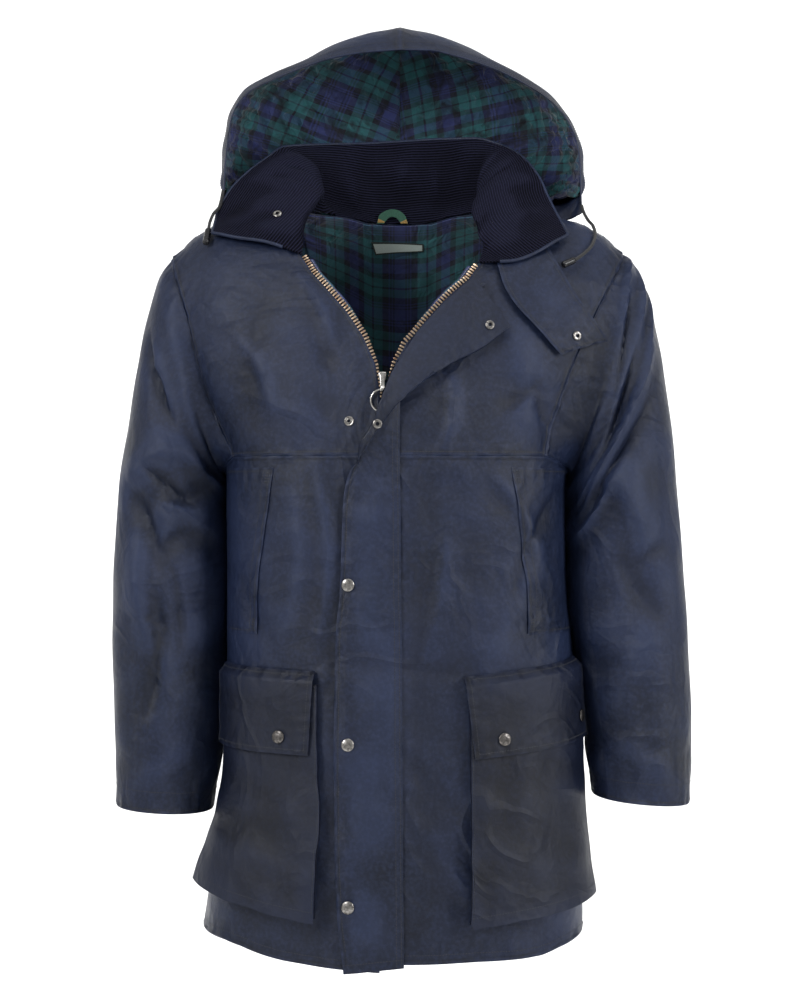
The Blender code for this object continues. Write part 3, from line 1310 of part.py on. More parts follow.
def make_snaps():
    for number, z in enumerate(CAP_HEIGHTS, 1):
        snap_on("flap_snap_%d" % number, on_front(CAP_X, z, 0.0045), CAP_PROFILE, "nickel")
    snap_on("yoke_stud", on_front(STUD_X, STUD_Z, 0.0), STUD_PROFILE, "nickel")
    for name, (row, f, off) in FLAP_SOCKETS.items():
        place = moved_place(flap_turned, row, f)
        snap_on(name, place, SOCKET_PROFILE, "nickel", True, WAXED / 2 + off)
    snap_on("tab_socket", moved_place(tab_point, *TAB_SOCKET), SOCKET_PROFILE, "nickel", True)
    place = moved_place(on_collar, *COLLAR_SOCKET)
    snap_on("collar_socket", place, SOCKET_PROFILE, "nickel", True, COLLAR_SOCKET_OFF)
    for name, (side, f, g) in POCKET_SNAPS.items():
        place = moved_place(partial(pocket_flap_point, side), f, g)
        snap_on(name, place, CAP_PROFILE, "antique_silver")


def back_at(x, z, lift):
    side = "left" if x >= 0 else "right"
    level = float(level_at(abs(x), z))
    return skin(side, "back", float(turn_at(side, level, abs(x))), level, lift)


def make_label():
    corners = np.array(LABEL_CORNERS)
    grid = []
    for f in (0.0, 0.5, 1.0):
        line = []
        for g in np.linspace(0, 1, 5):
            top = corners[0] + (corners[1] - corners[0]) * g
            low = corners[3] + (corners[2] - corners[3]) * g
            place = top + (low - top) * f
            line.append(back_at(place[0], place[1], -LABEL_IN))
        grid.append(line)
    grid = np.array(grid)
    wall("neck_label", grid, LABEL_CLOTH, "label", normals=front_normals_of(grid))


def make_hanger_loop():
    places = np.linspace(0, 6, 13)
    edges = []
    for edge in ("outer", "inner"):
        columns = (edge + "_x", "back", edge + "_z")
        edges.append(np.stack([read(LOOP, column, places) for column in columns], axis=-1))
    grid = np.stack(edges, axis=1)
    wall("hanger_loop", grid, LABEL_CLOTH, "green_tape", normals=front_normals_of(grid))


def make_slider():
    origin = front_at(SLIDER_X, SLIDER_Z, 0.0)
    below = front_at(SLIDER_X, SLIDER_Z - 0.02, 0.0)
    down = unit(below - origin)
    across = np.array((1.0, 0.0, 0.0))
    off = unit(np.cross(across, down))
    off = off if off[1] < 0 else -off
    down = unit(down - off * np.dot(down, off))

    def place(x, along_zip, lift):
        return origin + across * x + down * along_zip + off * lift

    rings = []
    for t, half, low, high in SLIDER_SECTIONS:
        bevel = min(half, (high - low)) * 0.3
        outline = (
            (-half, low),
            (half, low),
            (half, high - bevel),
            (half - bevel, high),
            (-half + bevel, high),
            (-half, high - bevel),
        )
        rings.append([place(x, t, lift) for x, lift in outline])
    rod("zip_slider", np.array(rings), "nickel")

    path = list(LINK_PATH)
    for degrees in LINK_TURN:
        angle = math.radians(degrees)
        path.append((EYE_DOWN + math.cos(angle) * EYE_RADIUS, EYE_OFF + math.sin(angle) * EYE_RADIUS))
    path = np.array(path)
    tangent = unit(np.gradient(path, axis=0))
    side = np.stack([-tangent[:, 1], tangent[:, 0]], axis=-1) * LINK_THICK / 2
    rings = []
    for middle, edge in zip(path, side):
        corners = ((-1, middle + edge), (1, middle + edge), (1, middle - edge), (-1, middle - edge))
        rings.append([place(LINK_HALF_WIDTH * sign, *at) for sign, at in corners])
    rod("zip_link", np.array(rings), "nickel")

    eye = place(-0.0008, EYE_DOWN, EYE_OFF)
    down, off = np.array((0.0, 0.0, -1.0)), np.array((0.0, -1.0, 0.0))
    centre = eye + down * RING_RADIUS
    rings = []
    for angle in np.linspace(0, 2 * np.pi, 26, endpoint=False):
        out = across * math.sin(angle) - down * math.cos(angle)
        ring = []
        for turn in np.linspace(0, 2 * np.pi, 8, endpoint=False):
            r = RING_WIRE / 2
            ring.append(centre + out * (RING_RADIUS + r * math.cos(turn)) + off * r * math.sin(turn) - eye)
        rings.append(ring)
    made = hoop("zip_ring", np.array(rings), "nickel")
    made.location = eye


def main():
    clear_scene()
    yokes, fronts, backs = {}, {}, {}
    for side in SIDE:
        yokes[side] = body_panel("yoke_" + side, side, "front", *yoke_nodes(side))
        nodes = lower_nodes(side, "front", EDGE[side]["out"][-1], YOKE_COLUMNS)
        fronts[side] = body_panel("front_" + side, side, "front", *nodes)

    grids = back_yoke_nodes()
    points = {s: skin(s, "back", *grids[s]) for s in SIDE}
    normals = {s: outward(s, "back", *grids[s]) for s in SIDE}
    face = both_sides(points["right"], points["left"])
    face_normals = both_sides(normals["right"], normals["left"])
    wall("back_yoke", face, WAXED, "waxed_cotton", normals=face_normals)
    lining_normals = face_normals[:-1, LINING_COLUMNS]
    lining = face[:-1, LINING_COLUMNS] - lining_normals * (WAXED + LINING_OFF)
    wall("back_lining", lining, LINING, "tartan_cotton", normals=lining_normals)

    for side in SIDE:
        turns, levels = lower_nodes(side, "back", None, BACK_COLUMNS)
        backs[side] = (skin(side, "back", turns, levels), outward(side, "back", turns, levels))
    wall(
        "back",
        both_sides(backs["right"][0], backs["left"][0]),
        WAXED,
        "waxed_cotton",
        normals=both_sides(backs["right"][1], backs["left"][1]),
    )

    for side in SIDE:
        loop = armhole_loop(yokes[side]["points"], fronts[side]["points"], points[side], backs[side][0])
        grid, sleeve_normals = sleeve_points(side, loop, np.linspace(0, 1, SLEEVE_ROWS) ** 1.1)
        wall("sleeve_" + side, grid, WAXED, "waxed_cotton", closed=True, normals=sleeve_normals)

    collar = collar_points(np.linspace(0, 1, 29), np.linspace(0, 1, 7))
    collar_normals = mitred(collar)
    if collar_normals[14, 3, 1] > 0:
        collar_normals = -collar_normals
    wall("collar", collar, CORDUROY, "corduroy", normals=collar_normals)

    for side in SIDE:
        runs = np.linspace(0, 1, 12)
        shares = np.linspace(0, 1, 11)
        hood = hood_points(side, runs, shares)
        hood_normals = mitred(hood)
        if hood_normals[8, 6, 1] < 0:
            hood_normals = -hood_normals
        hood_normals[-1, :, 0] = 0
        wall("hood_" + side, hood, WAXED, "waxed_cotton", normals=hood_normals)
        lining = hood[1:, :-1] - hood_normals[1:, :-1] * (WAXED + SEAM)
        wall("hood_lining_" + side, lining, QUILTED_LINING, "tartan_cotton", normals=hood_normals[1:, :-1])

    lines = {side: zip_line(yokes[side], fronts[side]) for side in SIDE}
    make_facings(lines)
    make_zip(lines)
    make_slider()
    make_storm_flap()
    make_pockets()
    make_handwarmers(fronts)
    make_throat_tab()
    make_cords()
    make_label()
    make_hanger_loop()
    make_snaps()


main()
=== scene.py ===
"""Looks of the hooded waxed cotton jacket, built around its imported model.

Each piece of cloth is a fine shell over the form of its solid, from the same sizes, with its creases,
turned edges, stitching and weave added. Right and left are the wearer's, so the right side is -X.
Lengths are in metres, and those of the tables and folds are given in millimetres. +Z is up, the front
faces -Y and the origin is at the base of the neck.
"""

import math
from functools import partial

import bmesh
import bpy
import numpy as np
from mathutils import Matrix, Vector

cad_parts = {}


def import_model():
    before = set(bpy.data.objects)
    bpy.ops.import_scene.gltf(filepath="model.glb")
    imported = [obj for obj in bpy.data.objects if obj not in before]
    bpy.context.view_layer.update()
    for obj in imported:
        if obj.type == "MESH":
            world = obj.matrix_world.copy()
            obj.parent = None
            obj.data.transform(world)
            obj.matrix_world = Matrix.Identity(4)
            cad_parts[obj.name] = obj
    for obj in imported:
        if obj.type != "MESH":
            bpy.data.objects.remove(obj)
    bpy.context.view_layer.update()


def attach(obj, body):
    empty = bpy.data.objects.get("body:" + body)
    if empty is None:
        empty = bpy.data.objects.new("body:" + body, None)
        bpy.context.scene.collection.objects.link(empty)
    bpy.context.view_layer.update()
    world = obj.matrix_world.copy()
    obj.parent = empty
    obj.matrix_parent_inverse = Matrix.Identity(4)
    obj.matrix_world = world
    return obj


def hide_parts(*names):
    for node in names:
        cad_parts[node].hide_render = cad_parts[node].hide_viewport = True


# Thickness of each cloth
WAXED = 0.0016
CORDUROY = 0.0024
LINING = 0.0012
QUILTED_LINING = 0.0022
TAPE = 0.0008

# Room left between pieces
SEAM = 0.0003

# Levels down the body: 0 along the shoulder seam, 90 at the yoke seam, then one for each centimetre
YOKE_LEVEL = 90.0
YOKE_DROP = 0.290
LEVEL_STEP = 0.01
UNDERARM_LEVEL = 92.0
SQUARENESS = 2.7
SIDE = {"right": -1.0, "left": 1.0}
FACE = {"front": -1.0, "back": 1.0}


def table(columns, *rows):
    """Rows as one array for each named column; those after the bar turn from millimetres into metres."""
    plain, lengths_given = (names.split() for names in columns.split("|"))
    units = [1.0] * len(plain) + [1000.0] * len(lengths_given)
    made = zip(plain + lengths_given, units, zip(*rows))
    return {name: np.array(values, float) / unit for name, unit, values in made}


def folds(*rows):
    """Folds, in metres, from millimetres: two places, the width between and how far each stands out."""
    return (np.array(rows, float) / 1000).tolist()


# Half widths to each side and depths to front and back, below the yoke seam
TORSO = table(
    "| drop right left front back",
    (290, 215, 206, 155, 150),
    (310, 214.2, 204.5, 156, 150),
    (360, 213.5, 203.5, 157, 149),
    (450, 213.2, 205.5, 157, 147),
    (510, 213.4, 211, 157, 148),
    (580, 213.8, 218, 158, 150),
    (660, 214.5, 223, 161, 154),
    (735, 219.5, 223.5, 163, 157),
    (800, 232, 224.5, 165, 160),
    (890, 246, 224, 167, 163),
)

# Half widths of the sections above the yoke seam, by share of the way down from the shoulder
CHEST = table(
    "share | right left",
    (0, 315, 315), (0.2, 305, 300), (0.4, 285, 275), (0.6, 262, 250), (0.8, 238, 225), (1, 215, 206),
)

# How far out the armhole seam lies
ARMHOLE = table(
    "share | front_right front_left back_right back_left",
    (0, 281, 276, 281, 276),
    (0.1, 275, 268, 270, 266),
    (0.32, 260.5, 244, 245, 243),
    (0.55, 245, 214, 223, 221),
    (0.73, 231.5, 194, 206, 203),
    (0.89, 213.5, 179, 193, 189),
    (1, 200, 172, 185, 181),
)

# How far down the hem hangs, by degrees round from the centre
HEM = table(
    "degrees | front_right front_left back_right back_left",
    (0, 889, 879, 868, 868),
    (20, 880, 876.5, 867, 868),
    (30, 875.5, 876.5, 866, 867.5),
    (43, 866.5, 875, 865, 867),
    (57, 862, 868, 863, 865.5),
    (90, 861, 864, 861, 864),
)

# Height of the shoulder line
RIDGE = table(
    "| out height",
    (0, 36), (60, 29), (105, 18), (160, 13), (220, 2), (250, -13.5), (280, -41), (330, -90),
)

# Front edge of the shell: neckline, then down beside the zip
RIGHT_EDGE = table(
    "| drop out",
    (-18, 112), (0, 114.5), (25, 117), (51, 117.5), (83, 95), (106, 74.5), (123, 60.6), (141, 48.4),
    (162, 37.6), (181, 29.8), (193, 26.2), (210, 23.5), (290, 23.5), (900, 23.5),
)
LEFT_EDGE = table(
    "| drop out",
    (-18, 110), (10, 108.5), (35, 103), (61.5, 94.3), (82, 80.1), (100, 59.4), (119, 41.6), (136, 25.4),
    (151, 11.9), (167, 2.5), (184, -5.4), (194, -9.5), (210, -16.5), (290, -16.5), (900, -16.5),
)
EDGE = {"right": RIGHT_EDGE, "left": LEFT_EDGE}


def easy_slopes(xs, ys):
    """Slopes at the rows of a table that keep a curve through them from swinging past them."""
    steps = np.diff(ys) / np.diff(xs)
    slopes = np.empty(len(xs))
    slopes[0], slopes[-1] = steps[0], steps[-1]
    before, after = steps[:-1], steps[1:]
    same = before * after > 0
    total = np.where(same, before + after, 1.0)
    slopes[1:-1] = np.where(same, 2 * before * after / total, 0.0)
    return slopes


def read(rows, column, at):
    """The column's value at a place in the table's first column, on a smooth curve through the rows."""
    xs = rows[next(iter(rows))]
    ys = rows[column]
    slopes = easy_slopes(xs, ys)
    at = np.clip(np.asarray(at, float), xs[0], xs[-1])
    k = np.clip(np.searchsorted(xs, at) - 1, 0, len(xs) - 2)
    span = xs[k + 1] - xs[k]
    f = (at - xs[k]) / span
    ends = ys[k] * (1 + 2 * f) * (1 - f) ** 2 + ys[k + 1] * f * f * (3 - 2 * f)
    return ends + span * f * (1 - f) * (slopes[k] * (1 - f) - slopes[k + 1] * f)


# A crease: how far its line bows by its length, how much its gentle and its steep side are stretched, and the
# shares of its round foot and of its crest, which is sharper the lower the last number
CREASE_BOW = 0.07
GENTLE_SIDE, STEEP_SIDE = 0.72, 1.35
CREASE_FOOT, CREASE_CREST, CREST_ROUND = 0.55, 0.95, 0.026


def creases(rows, a, b):
    """Height of ridges and troughs along bowed lines, sharp, steeper on one side, fading at both ends."""
    total = np.zeros(np.broadcast(a, b).shape)
    for a0, b0, a1, b1, width, height in rows:
        da, db = a1 - a0, b1 - b0
        length = math.hypot(da, db)
        f = ((a - a0) * da + (b - b0) * db) / length**2
        inside = np.clip(f, 0, 1)
        bow = math.copysign(CREASE_BOW, height) * length * np.sin(math.pi * inside)
        gap = ((b - b0) * da - (a - a0) * db) / length - bow
        past = (f - inside) * length
        gap = np.where(gap > 0, gap * GENTLE_SIDE, gap * STEEP_SIDE)
        away = np.hypot(gap, past) / width
        crest = CREASE_FOOT * np.exp(-(away**2))
        crest = crest + CREASE_CREST * np.exp(0.22 - 1.35 * np.sqrt(away**2 + CREST_ROUND))
        total = total + height * crest * (0.35 + 0.65 * np.sin(math.pi * inside))
    return total


# Largest folds of the body: across, height, across, height, width, how far each stands out
FRONT_FOLDS = folds(
    (-125, -320, -135, -500, 20, 3.5),
    (-60, -330, -75, -560, 25, -3),
    (150, -360, 120, -500, 18, 4),
    (60, -340, 45, -800, 28, -3.5),
    (120, -120, 150, -260, 22, 4),
    (-155, -100, -175, -250, 22, -3.5),
)
BACK_FOLDS = folds(
    (-90, -360, -110, -800, 30, -4.5),
    (20, -340, 30, -780, 28, 4),
    (120, -360, 105, -820, 30, -4),
    (-140, -120, -120, -260, 25, 4),
    (150, -100, 125, -250, 25, 4),
)
BODY_FOLDS = {"front": FRONT_FOLDS, "back": BACK_FOLDS}


def ridge_level(out, z):
    """The level of a point above the yoke seam from its distance out and its height."""
    ridge = read(RIDGE, "height", np.abs(out))
    share = (ridge - z) / (ridge + YOKE_DROP)
    return np.degrees(np.arccos(np.clip(1 - share, -1, 1)))


def level_at(out, z):
    return np.where(z > -YOKE_DROP, ridge_level(out, z), level_of(-z))


def level_of(drop):
    """The level of a place below the yoke seam from how far down it hangs."""
    return YOKE_LEVEL + (drop - YOKE_DROP) / LEVEL_STEP


def share_of(level):
    return 1 - np.cos(np.radians(np.clip(level, 0, YOKE_LEVEL)))


def drop_of(level):
    return YOKE_DROP + np.maximum(np.asarray(level, float) - YOKE_LEVEL, 0) * LEVEL_STEP


def half_width(side, level):
    return np.where(
        np.asarray(level) < YOKE_LEVEL,
        read(CHEST, side, share_of(level)),
        read(TORSO, side, drop_of(level)),
    )


def turn_at(side, level, out):
    """The angle round the body, from the centre front or back, of a place so far out."""
    share = np.clip(np.abs(out) / half_width(side, level), 0, 1)
    return np.sign(out) * np.arcsin(share ** (SQUARENESS / 2))


def body(side, face, turn, level):
    """A point of the jacket's outer face before its folds."""
    turn, level = np.broadcast_arrays(np.asarray(turn, float), np.asarray(level, float))
    rise = np.radians(np.minimum(level, YOKE_LEVEL))
    power = 2 / SQUARENESS
    s, c = np.sin(turn), np.cos(turn)
    out = half_width(side, np.abs(level)) * squared(s, power)
    depth = read(TORSO, face, drop_of(level)) * np.sin(rise)
    y = FACE[face] * depth * squared(c, power)
    ridge = read(RIDGE, "height", np.abs(out))
    share = 1 - np.cos(rise)
    z = np.where(level < YOKE_LEVEL, ridge - share * (ridge + YOKE_DROP), -drop_of(level))
    return np.stack([SIDE[side] * out, y, z], axis=-1)


def unit(v):
    return v / np.maximum(np.linalg.norm(v, axis=-1, keepdims=True), 1e-12)


def mix(a, b, f):
    return a + (b - a) * f


def squared(v, power):
    """A sine or cosine drawn out towards the corners."""
    return np.sign(v) * np.abs(v) ** power


def lengths(line):
    """How far along a line of points each of them lies."""
    return reach(line[:, None], 0)[:, 0]


def on_points(at, marks, points):
    """Places on a line of points, straight between its marks."""
    return np.stack([np.interp(at, marks, points[:, k]) for k in range(3)], axis=-1)


def points_at(rows, part, places):
    """The points of one part of a table, such as its tip, at places in its first column."""
    return np.stack([read(rows, part + "_" + k, places) for k in "xyz"], axis=-1)


def sizes_at(rows, place):
    """Every size of a table at a place in its first column."""
    return {name: float(read(rows, name, place)) for name in list(rows)[1:]}


def curved(grid, marks, at):
    """The rows of a grid, which lie at marks, read at other places on smooth curves."""
    lines = [read({"mark": marks, "value": line}, "value", at) for line in grid.reshape(len(grid), -1).T]
    return np.stack(lines, axis=1).reshape(len(at), *grid.shape[1:])


def facing(normals, at, way):
    """The normals, turned over if the one at a place looks the other way along y."""
    return normals if normals[at][1] * way > 0 else -normals


def outward(side, face, turn, level):
    across = body(side, face, turn + 0.004, level) - body(side, face, turn - 0.004, level)
    down = body(side, face, turn, level + 0.4) - body(side, face, turn, level - 0.4)
    return unit(np.cross(across, down) * SIDE[side] * FACE[face])


def skin(side, face, turn, level, lift=0.0):
    """A point of the outer face with its folds, moved out by lift."""
    turn, level = np.broadcast_arrays(np.asarray(turn, float), np.asarray(level, float))
    base = body(side, face, turn, level)
    x, z = base[..., 0], base[..., 2]
    fade = np.clip(np.cos(turn) * 2.5, 0, 1) * np.clip(level / 40, 0, 1)
    fold = creases(BODY_FOLDS[face] + FINE_FOLDS[face], x, z) + DENT * unevenness(x, z, DENT_SIZE, 3)
    lift = np.asarray(lift, float)
    return base + outward(side, face, turn, level) * (fold * fade + lift)[..., None]


def front_at(x, z, lift):
    """A point of the front at x and z, moved out by lift."""
    x, z, lift = np.broadcast_arrays(np.asarray(x, float), np.asarray(z, float), np.asarray(lift, float))
    points = np.empty(x.shape + (3,))
    for side in SIDE:
        out = SIDE[side] * x
        level = level_at(out, z)
        found = skin(side, "front", turn_at(side, level, out), level, lift)
        points = np.where((out >= 0)[..., None], found, points)
    return points


# Collar sections from the right front end round the back of the neck to the left front end. The neck
# seam is worked out from the neckline; stand, roll and fall are three places across the band.
COLLAR = table(
    "run | stand_x stand_y stand_z roll_x roll_y roll_z fall_x fall_y fall_z tip_x tip_y tip_z",
    (0, -149.4, -90.2, -34.9, -186.1, -80, -27.5, -207.4, -70.3, -22.5, -228.2, -55.7, -16.7),
    (0.06, -117, -70, 0.5, -155.2, -58, 9.6, -191.9, -40, 11.2, -227.3, -16, 8.8),
    (0.12, -101.1, -48, 24.6, -134.8, -34, 37.9, -174.2, -16, 42.1, -212.9, 2, 42.7),
    (0.19, -92.7, -14, 38.8, -116.8, -2, 66.8, -156, 8, 73.6, -193.2, 20, 68.3),
    (0.25, -97.5, 12, 40.6, -105.4, 20, 72, -136.3, 33, 93.3, -168.5, 43, 92.6),
    (0.31, -98.5, 36, 42, -104.1, 48, 74.5, -123.8, 60, 99.6, -146, 68, 111.3),
    (0.37, -76.5, 58, 40.5, -79.4, 68, 70.3, -84.8, 77, 95, -91.6, 86, 117.3),
    (0.44, -34.6, 70, 37.4, -34.7, 78, 64.4, -34.8, 86, 92.8, -35, 95, 120.4),
    (0.51, 6.4, 72, 39, 6.4, 80, 67.3, 6.5, 88, 95.8, 6.5, 97, 123.3),
    (0.58, 51.2, 66, 39.3, 51.4, 75, 69, 51.6, 84, 97.6, 51.8, 93, 125.2),
    (0.65, 83.9, 50, 40.5, 86.8, 60, 71.5, 92.3, 70, 98.9, 94, 80, 123.9),
    (0.71, 98.1, 26, 39.1, 103.7, 38, 72.7, 116.9, 50, 97.7, 127.8, 64, 113.1),
    (0.78, 94.3, -6, 31.4, 109.7, 6, 64.5, 133.1, 22, 83.7, 153.1, 40, 94.6),
    (0.86, 89.1, -44, 14.2, 113, -28, 43.8, 145, -8, 58.3, 172.4, 10, 64),
    (0.93, 93.6, -82, -22.9, 120.8, -66, 3.5, 157.5, -42, 18.2, 186, -22, 25.1),
    (1, 128.1, -106.8, -58.5, 167, -94.5, -43.8, 187.1, -82.4, -31.4, 202.5, -70.7, -21.3),
)
COLLAR_PLACES = ("stand", "roll", "fall", "tip")

# Hood sections from the lower front corner to the centre seam: each a curve from the neck to the brim
HOOD_COLUMNS = "run | neck_x neck_y neck_z back_x back_y back_z crown_x crown_y crown_z brim_x brim_y brim_z"
HOOD = {
    "right": table(
        HOOD_COLUMNS,
        (0, -132, 10, 22.2, -160, 16, 30, -195, 12, 28, -221.4, 0, 22.4),
        (0.1, -134, 22, 21.2, -175, 50, 22, -228, 50, 35, -219.9, 4, 48),
        (0.2, -131, 36, 19.2, -180, 85, 18, -248, 85, 60, -218.6, 10, 79),
        (0.3, -122, 48, 16.2, -180, 115, 14, -255, 115, 105, -216.1, 17, 112.8),
        (0.4, -108, 57, 13.2, -170, 145, 8, -247, 140, 169, -210.6, 24, 143.9),
        (0.5, -90, 63, 9.2, -150, 170, 2, -223, 160, 235, -195, 30, 169.5),
        (0.6, -70, 67, 6.2, -120, 190, -3, -168, 175, 281, -162.9, 35, 188.3),
        (0.7, -50, 69, 3.2, -85, 205, -7, -122, 185, 315, -126.5, 39, 204),
        (0.8, -33, 70, 1.2, -55, 213, -9, -82, 192, 352, -87.4, 42, 217.8),
        (0.9, -16, 70, 0.2, -27, 218, -10, -40, 197, 390, -43.1, 44, 225.9),
        (1, -0.2, 70, -0.8, -0.2, 220, -10, -0.2, 200, 408, -0.2, 45, 229.3),
    ),
    "left": table(
        HOOD_COLUMNS,
        (0, 132, 10, 18.9, 160, 16, 30, 200, 10, -6, 227, 0, 15),
        (0.1, 134, 22, 21.4, 177, 50, 22, 235, 50, 33, 226.1, 4, 44.2),
        (0.2, 131, 36, 19.4, 182, 85, 18, 257, 85, 58, 225.5, 10, 76.5),
        (0.3, 122, 48, 16.4, 182, 115, 14, 264, 115, 102, 221.8, 17, 107.8),
        (0.4, 108, 57, 13.4, 172, 145, 8, 246, 140, 160, 211.1, 24, 135.6),
        (0.5, 90, 63, 9.4, 152, 170, 2, 222, 160, 224, 189, 30, 162),
        (0.6, 70, 67, 6.4, 122, 190, -3, 172, 175, 276, 156.6, 35, 184.5),
        (0.7, 50, 69, 3.4, 87, 205, -7, 126, 185, 318.5, 117.6, 39, 204.4),
        (0.8, 33, 70, 1.4, 57, 213, -9, 86, 192, 351, 76, 42, 219.1),
        (0.9, 16, 70, 0.4, 29, 218, -10, 44, 197, 385, 36.8, 44, 228.4),
        (1, 0.2, 70, -0.6, 0.2, 220, -10, 0.2, 200, 408, 0.2, 45, 229.3),
    ),
}

# Sleeve sections from the armhole to the cuff: the outer and inner edge, the middle's depth, half the depth
SLEEVE_COLUMNS = "section | outer_x outer_z inner_x inner_z middle_y half_y"
SLEEVE = {
    "right": table(
        SLEEVE_COLUMNS,
        (0, 280, -42, 215.6, -310.5, 0, 85),
        (1, 296.5, -64.7, 218.5, -318, -1, 83),
        (2, 313.8, -122.1, 216.8, -330, -2, 82),
        (3, 325, -180.6, 216, -348, -4, 81),
        (4, 334.5, -245.3, 215.2, -375, -6, 80),
        (5, 344, -303.5, 215, -405, -8, 78),
        (6, 351, -386.6, 215, -452, -10, 77),
        (7, 353.8, -459.6, 215, -505, -12, 76),
        (8, 353.8, -533.6, 215.2, -562, -14, 74),
        (9, 350.8, -606.3, 216.5, -618, -16, 72),
        (10, 349.2, -662.5, 221, -668, -18, 70),
        (11, 348, -714.5, 230, -721, -20, 68),
    ),
    "left": table(
        SLEEVE_COLUMNS,
        (0, 275, -37, 206.6, -310.5, 0, 85),
        (1, 288.5, -52.5, 208.5, -318, -4, 85),
        (2, 306.8, -95.9, 207, -330, -8, 85),
        (3, 317.2, -141.1, 206.2, -348, -12, 85),
        (4, 325.2, -191.4, 206, -375, -16, 83),
        (5, 334.2, -260.7, 206.5, -410, -20, 81),
        (6, 340.5, -340, 208, -455, -24, 79),
        (7, 346.8, -424, 213.5, -510, -27, 77),
        (8, 351.5, -507.8, 220, -565, -30, 75),
        (9, 355, -591.4, 226, -620, -33, 72),
        (10, 355.2, -653, 228, -655, -36, 70),
        (11, 352.2, -709.5, 235, -700, -38, 68),
    ),
}
SLEEVE_SECTIONS = 11

# Girth is measured round the sleeve from its outer edge by way of the front, run down from the armhole
SLEEVE_GIRTH = 0.46
SLEEVE_RUN = 0.62
SLEEVE_FOLDS = {
    "right": folds(
        (60, 130, 110, 150, 12, -4.5),
        (180, 140, 50, 300, 16, 5),
        (180, 170, 90, 290, 12, -3.5),
        (60, 290, 110, 330, 14, -4.5),
        (110, 330, 170, 280, 14, -4.5),
        (80, 330, 110, 440, 16, 5),
        (110, 380, 90, 500, 12, -3.5),
        (300, 200, 380, 340, 18, -4.5),
        (280, 300, 350, 460, 20, 4.5),
        (55, 115, 85, 160, 7, -2.2),
        (90, 110, 80, 150, 7, 2),
        (195, 100, 120, 200, 10, -2.2),
        (150, 235, 70, 250, 8, -2.4),
        (165, 260, 95, 285, 8, 2),
        (130, 340, 140, 420, 7, -2.2),
        (70, 405, 120, 400, 6, -1.6),
        (330, 120, 400, 200, 12, 2.4),
        (250, 360, 300, 520, 12, -2),
    ),
    "left": folds(
        (20, 20, 90, 60, 12, 4.5),
        (30, 70, 110, 130, 13, 4.5),
        (50, 100, 140, 170, 12, -4.5),
        (60, 160, 170, 200, 14, 5),
        (80, 220, 180, 240, 13, -4),
        (160, 200, 100, 340, 15, 5),
        (130, 340, 85, 420, 12, -3.5),
        (300, 180, 380, 300, 18, -4.5),
        (290, 320, 350, 480, 20, 4.5),
        (40, 45, 120, 105, 7, -2.4),
        (20, 100, 100, 170, 8, 2.2),
        (90, 185, 190, 215, 8, -2.4),
        (120, 235, 195, 265, 8, 2.2),
        (60, 370, 120, 355, 7, -1.8),
        (310, 100, 400, 170, 12, 2.4),
    ),
}

# The storm flap: its sewn root, the fold where it turns back, and its free edge, from the top down.
# Each place is across, height and how far it stands off the front; standing is the fold's thickness.
STORM_FLAP = table(
    "row | root_x root_z fold_x fold_z fold_off edge_x edge_z edge_off turn_up",
    (0, 100.1, -87.7, 86.5, -82.1, 5, 127.2, -141.4, 8.5, 3.2),
    (1, 77.4, -107.5, 64.1, -103.4, 5.5, 91.8, -168.2, 11, 3.4),
    (2, 53.4, -131, 43.4, -124.5, 6, 57.2, -186.3, 12.5, 3.6),
    (3, 33.5, -154, 23, -148, 6.5, 36.7, -199, 13, 3.6),
    (4, 17.5, -176, 7.2, -171.5, 7.5, 14.9, -216.2, 14, 3.6),
    (5, 5.5, -199.5, -8.4, -196, 11, -3.4, -233.3, 14.5, 3.6),
    (6, 0, -223.8, -18, -220.4, 13.8, -16.1, -249.2, 14.5, 3.4),
    (7, -0.5, -255.1, -29.9, -253.5, 11.5, -28.6, -266.3, 15, 3),
    (8, -0.3, -286.4, -46, -284.2, 7, -44.6, -291.5, 10.5, 2.8),
    (9, 0, -312, -47, -311, 4.5, -59, -312, 5, 0),
    (10, 0.5, -342, -50, -342, 4, -65.5, -342, 4.2, 0),
    (11, 1, -440, -53, -440, 3.6, -69, -440, 3.6, 0),
    (12, 2, -500, -57, -500, 3.6, -74, -500, 4, 0),
    (13, 2.5, -620, -59, -620, 3.6, -76, -620, 3.6, 0),
    (14, 3.5, -720, -59, -720, 3.6, -75.5, -720, 4, 0),
    (15, 4, -810, -56, -810, 3.6, -73, -810, 3.6, 0),
    (16, 4.6, -882, -49, -887.5, 3.6, -65, -888.5, 3.8, 0),
)

# How far the flap's root stands off the front, by row: it rides over the zip's ring
FLAP_ROOT = table(
    "row | off",
    (4.4, 2), (5.2, 3.8), (7, 3.8), (7.8, 2),
)
FLAP_LOWER_SHARES = (0.0, 0.33, 0.66, 0.93)

# Places from the fold to the edge: the share of the way where the flap lies flat and where it is folded
# back, and how far out and up they stand round the fold
FLAP_TURNING = table(
    "flat folded out rise |",
    (0.12, 0, 0.4, 0.35),
    (0.24, 0, 0.4, 0.85),
    (0.36, 0.07, 0, 1.2),
    (0.55, 0.3, 0, 1.2),
    (0.78, 0.62, 0, 1.2),
    (1, 1, 0, 1.2),
)
FLAP_FOLDED_UP = 0.0026

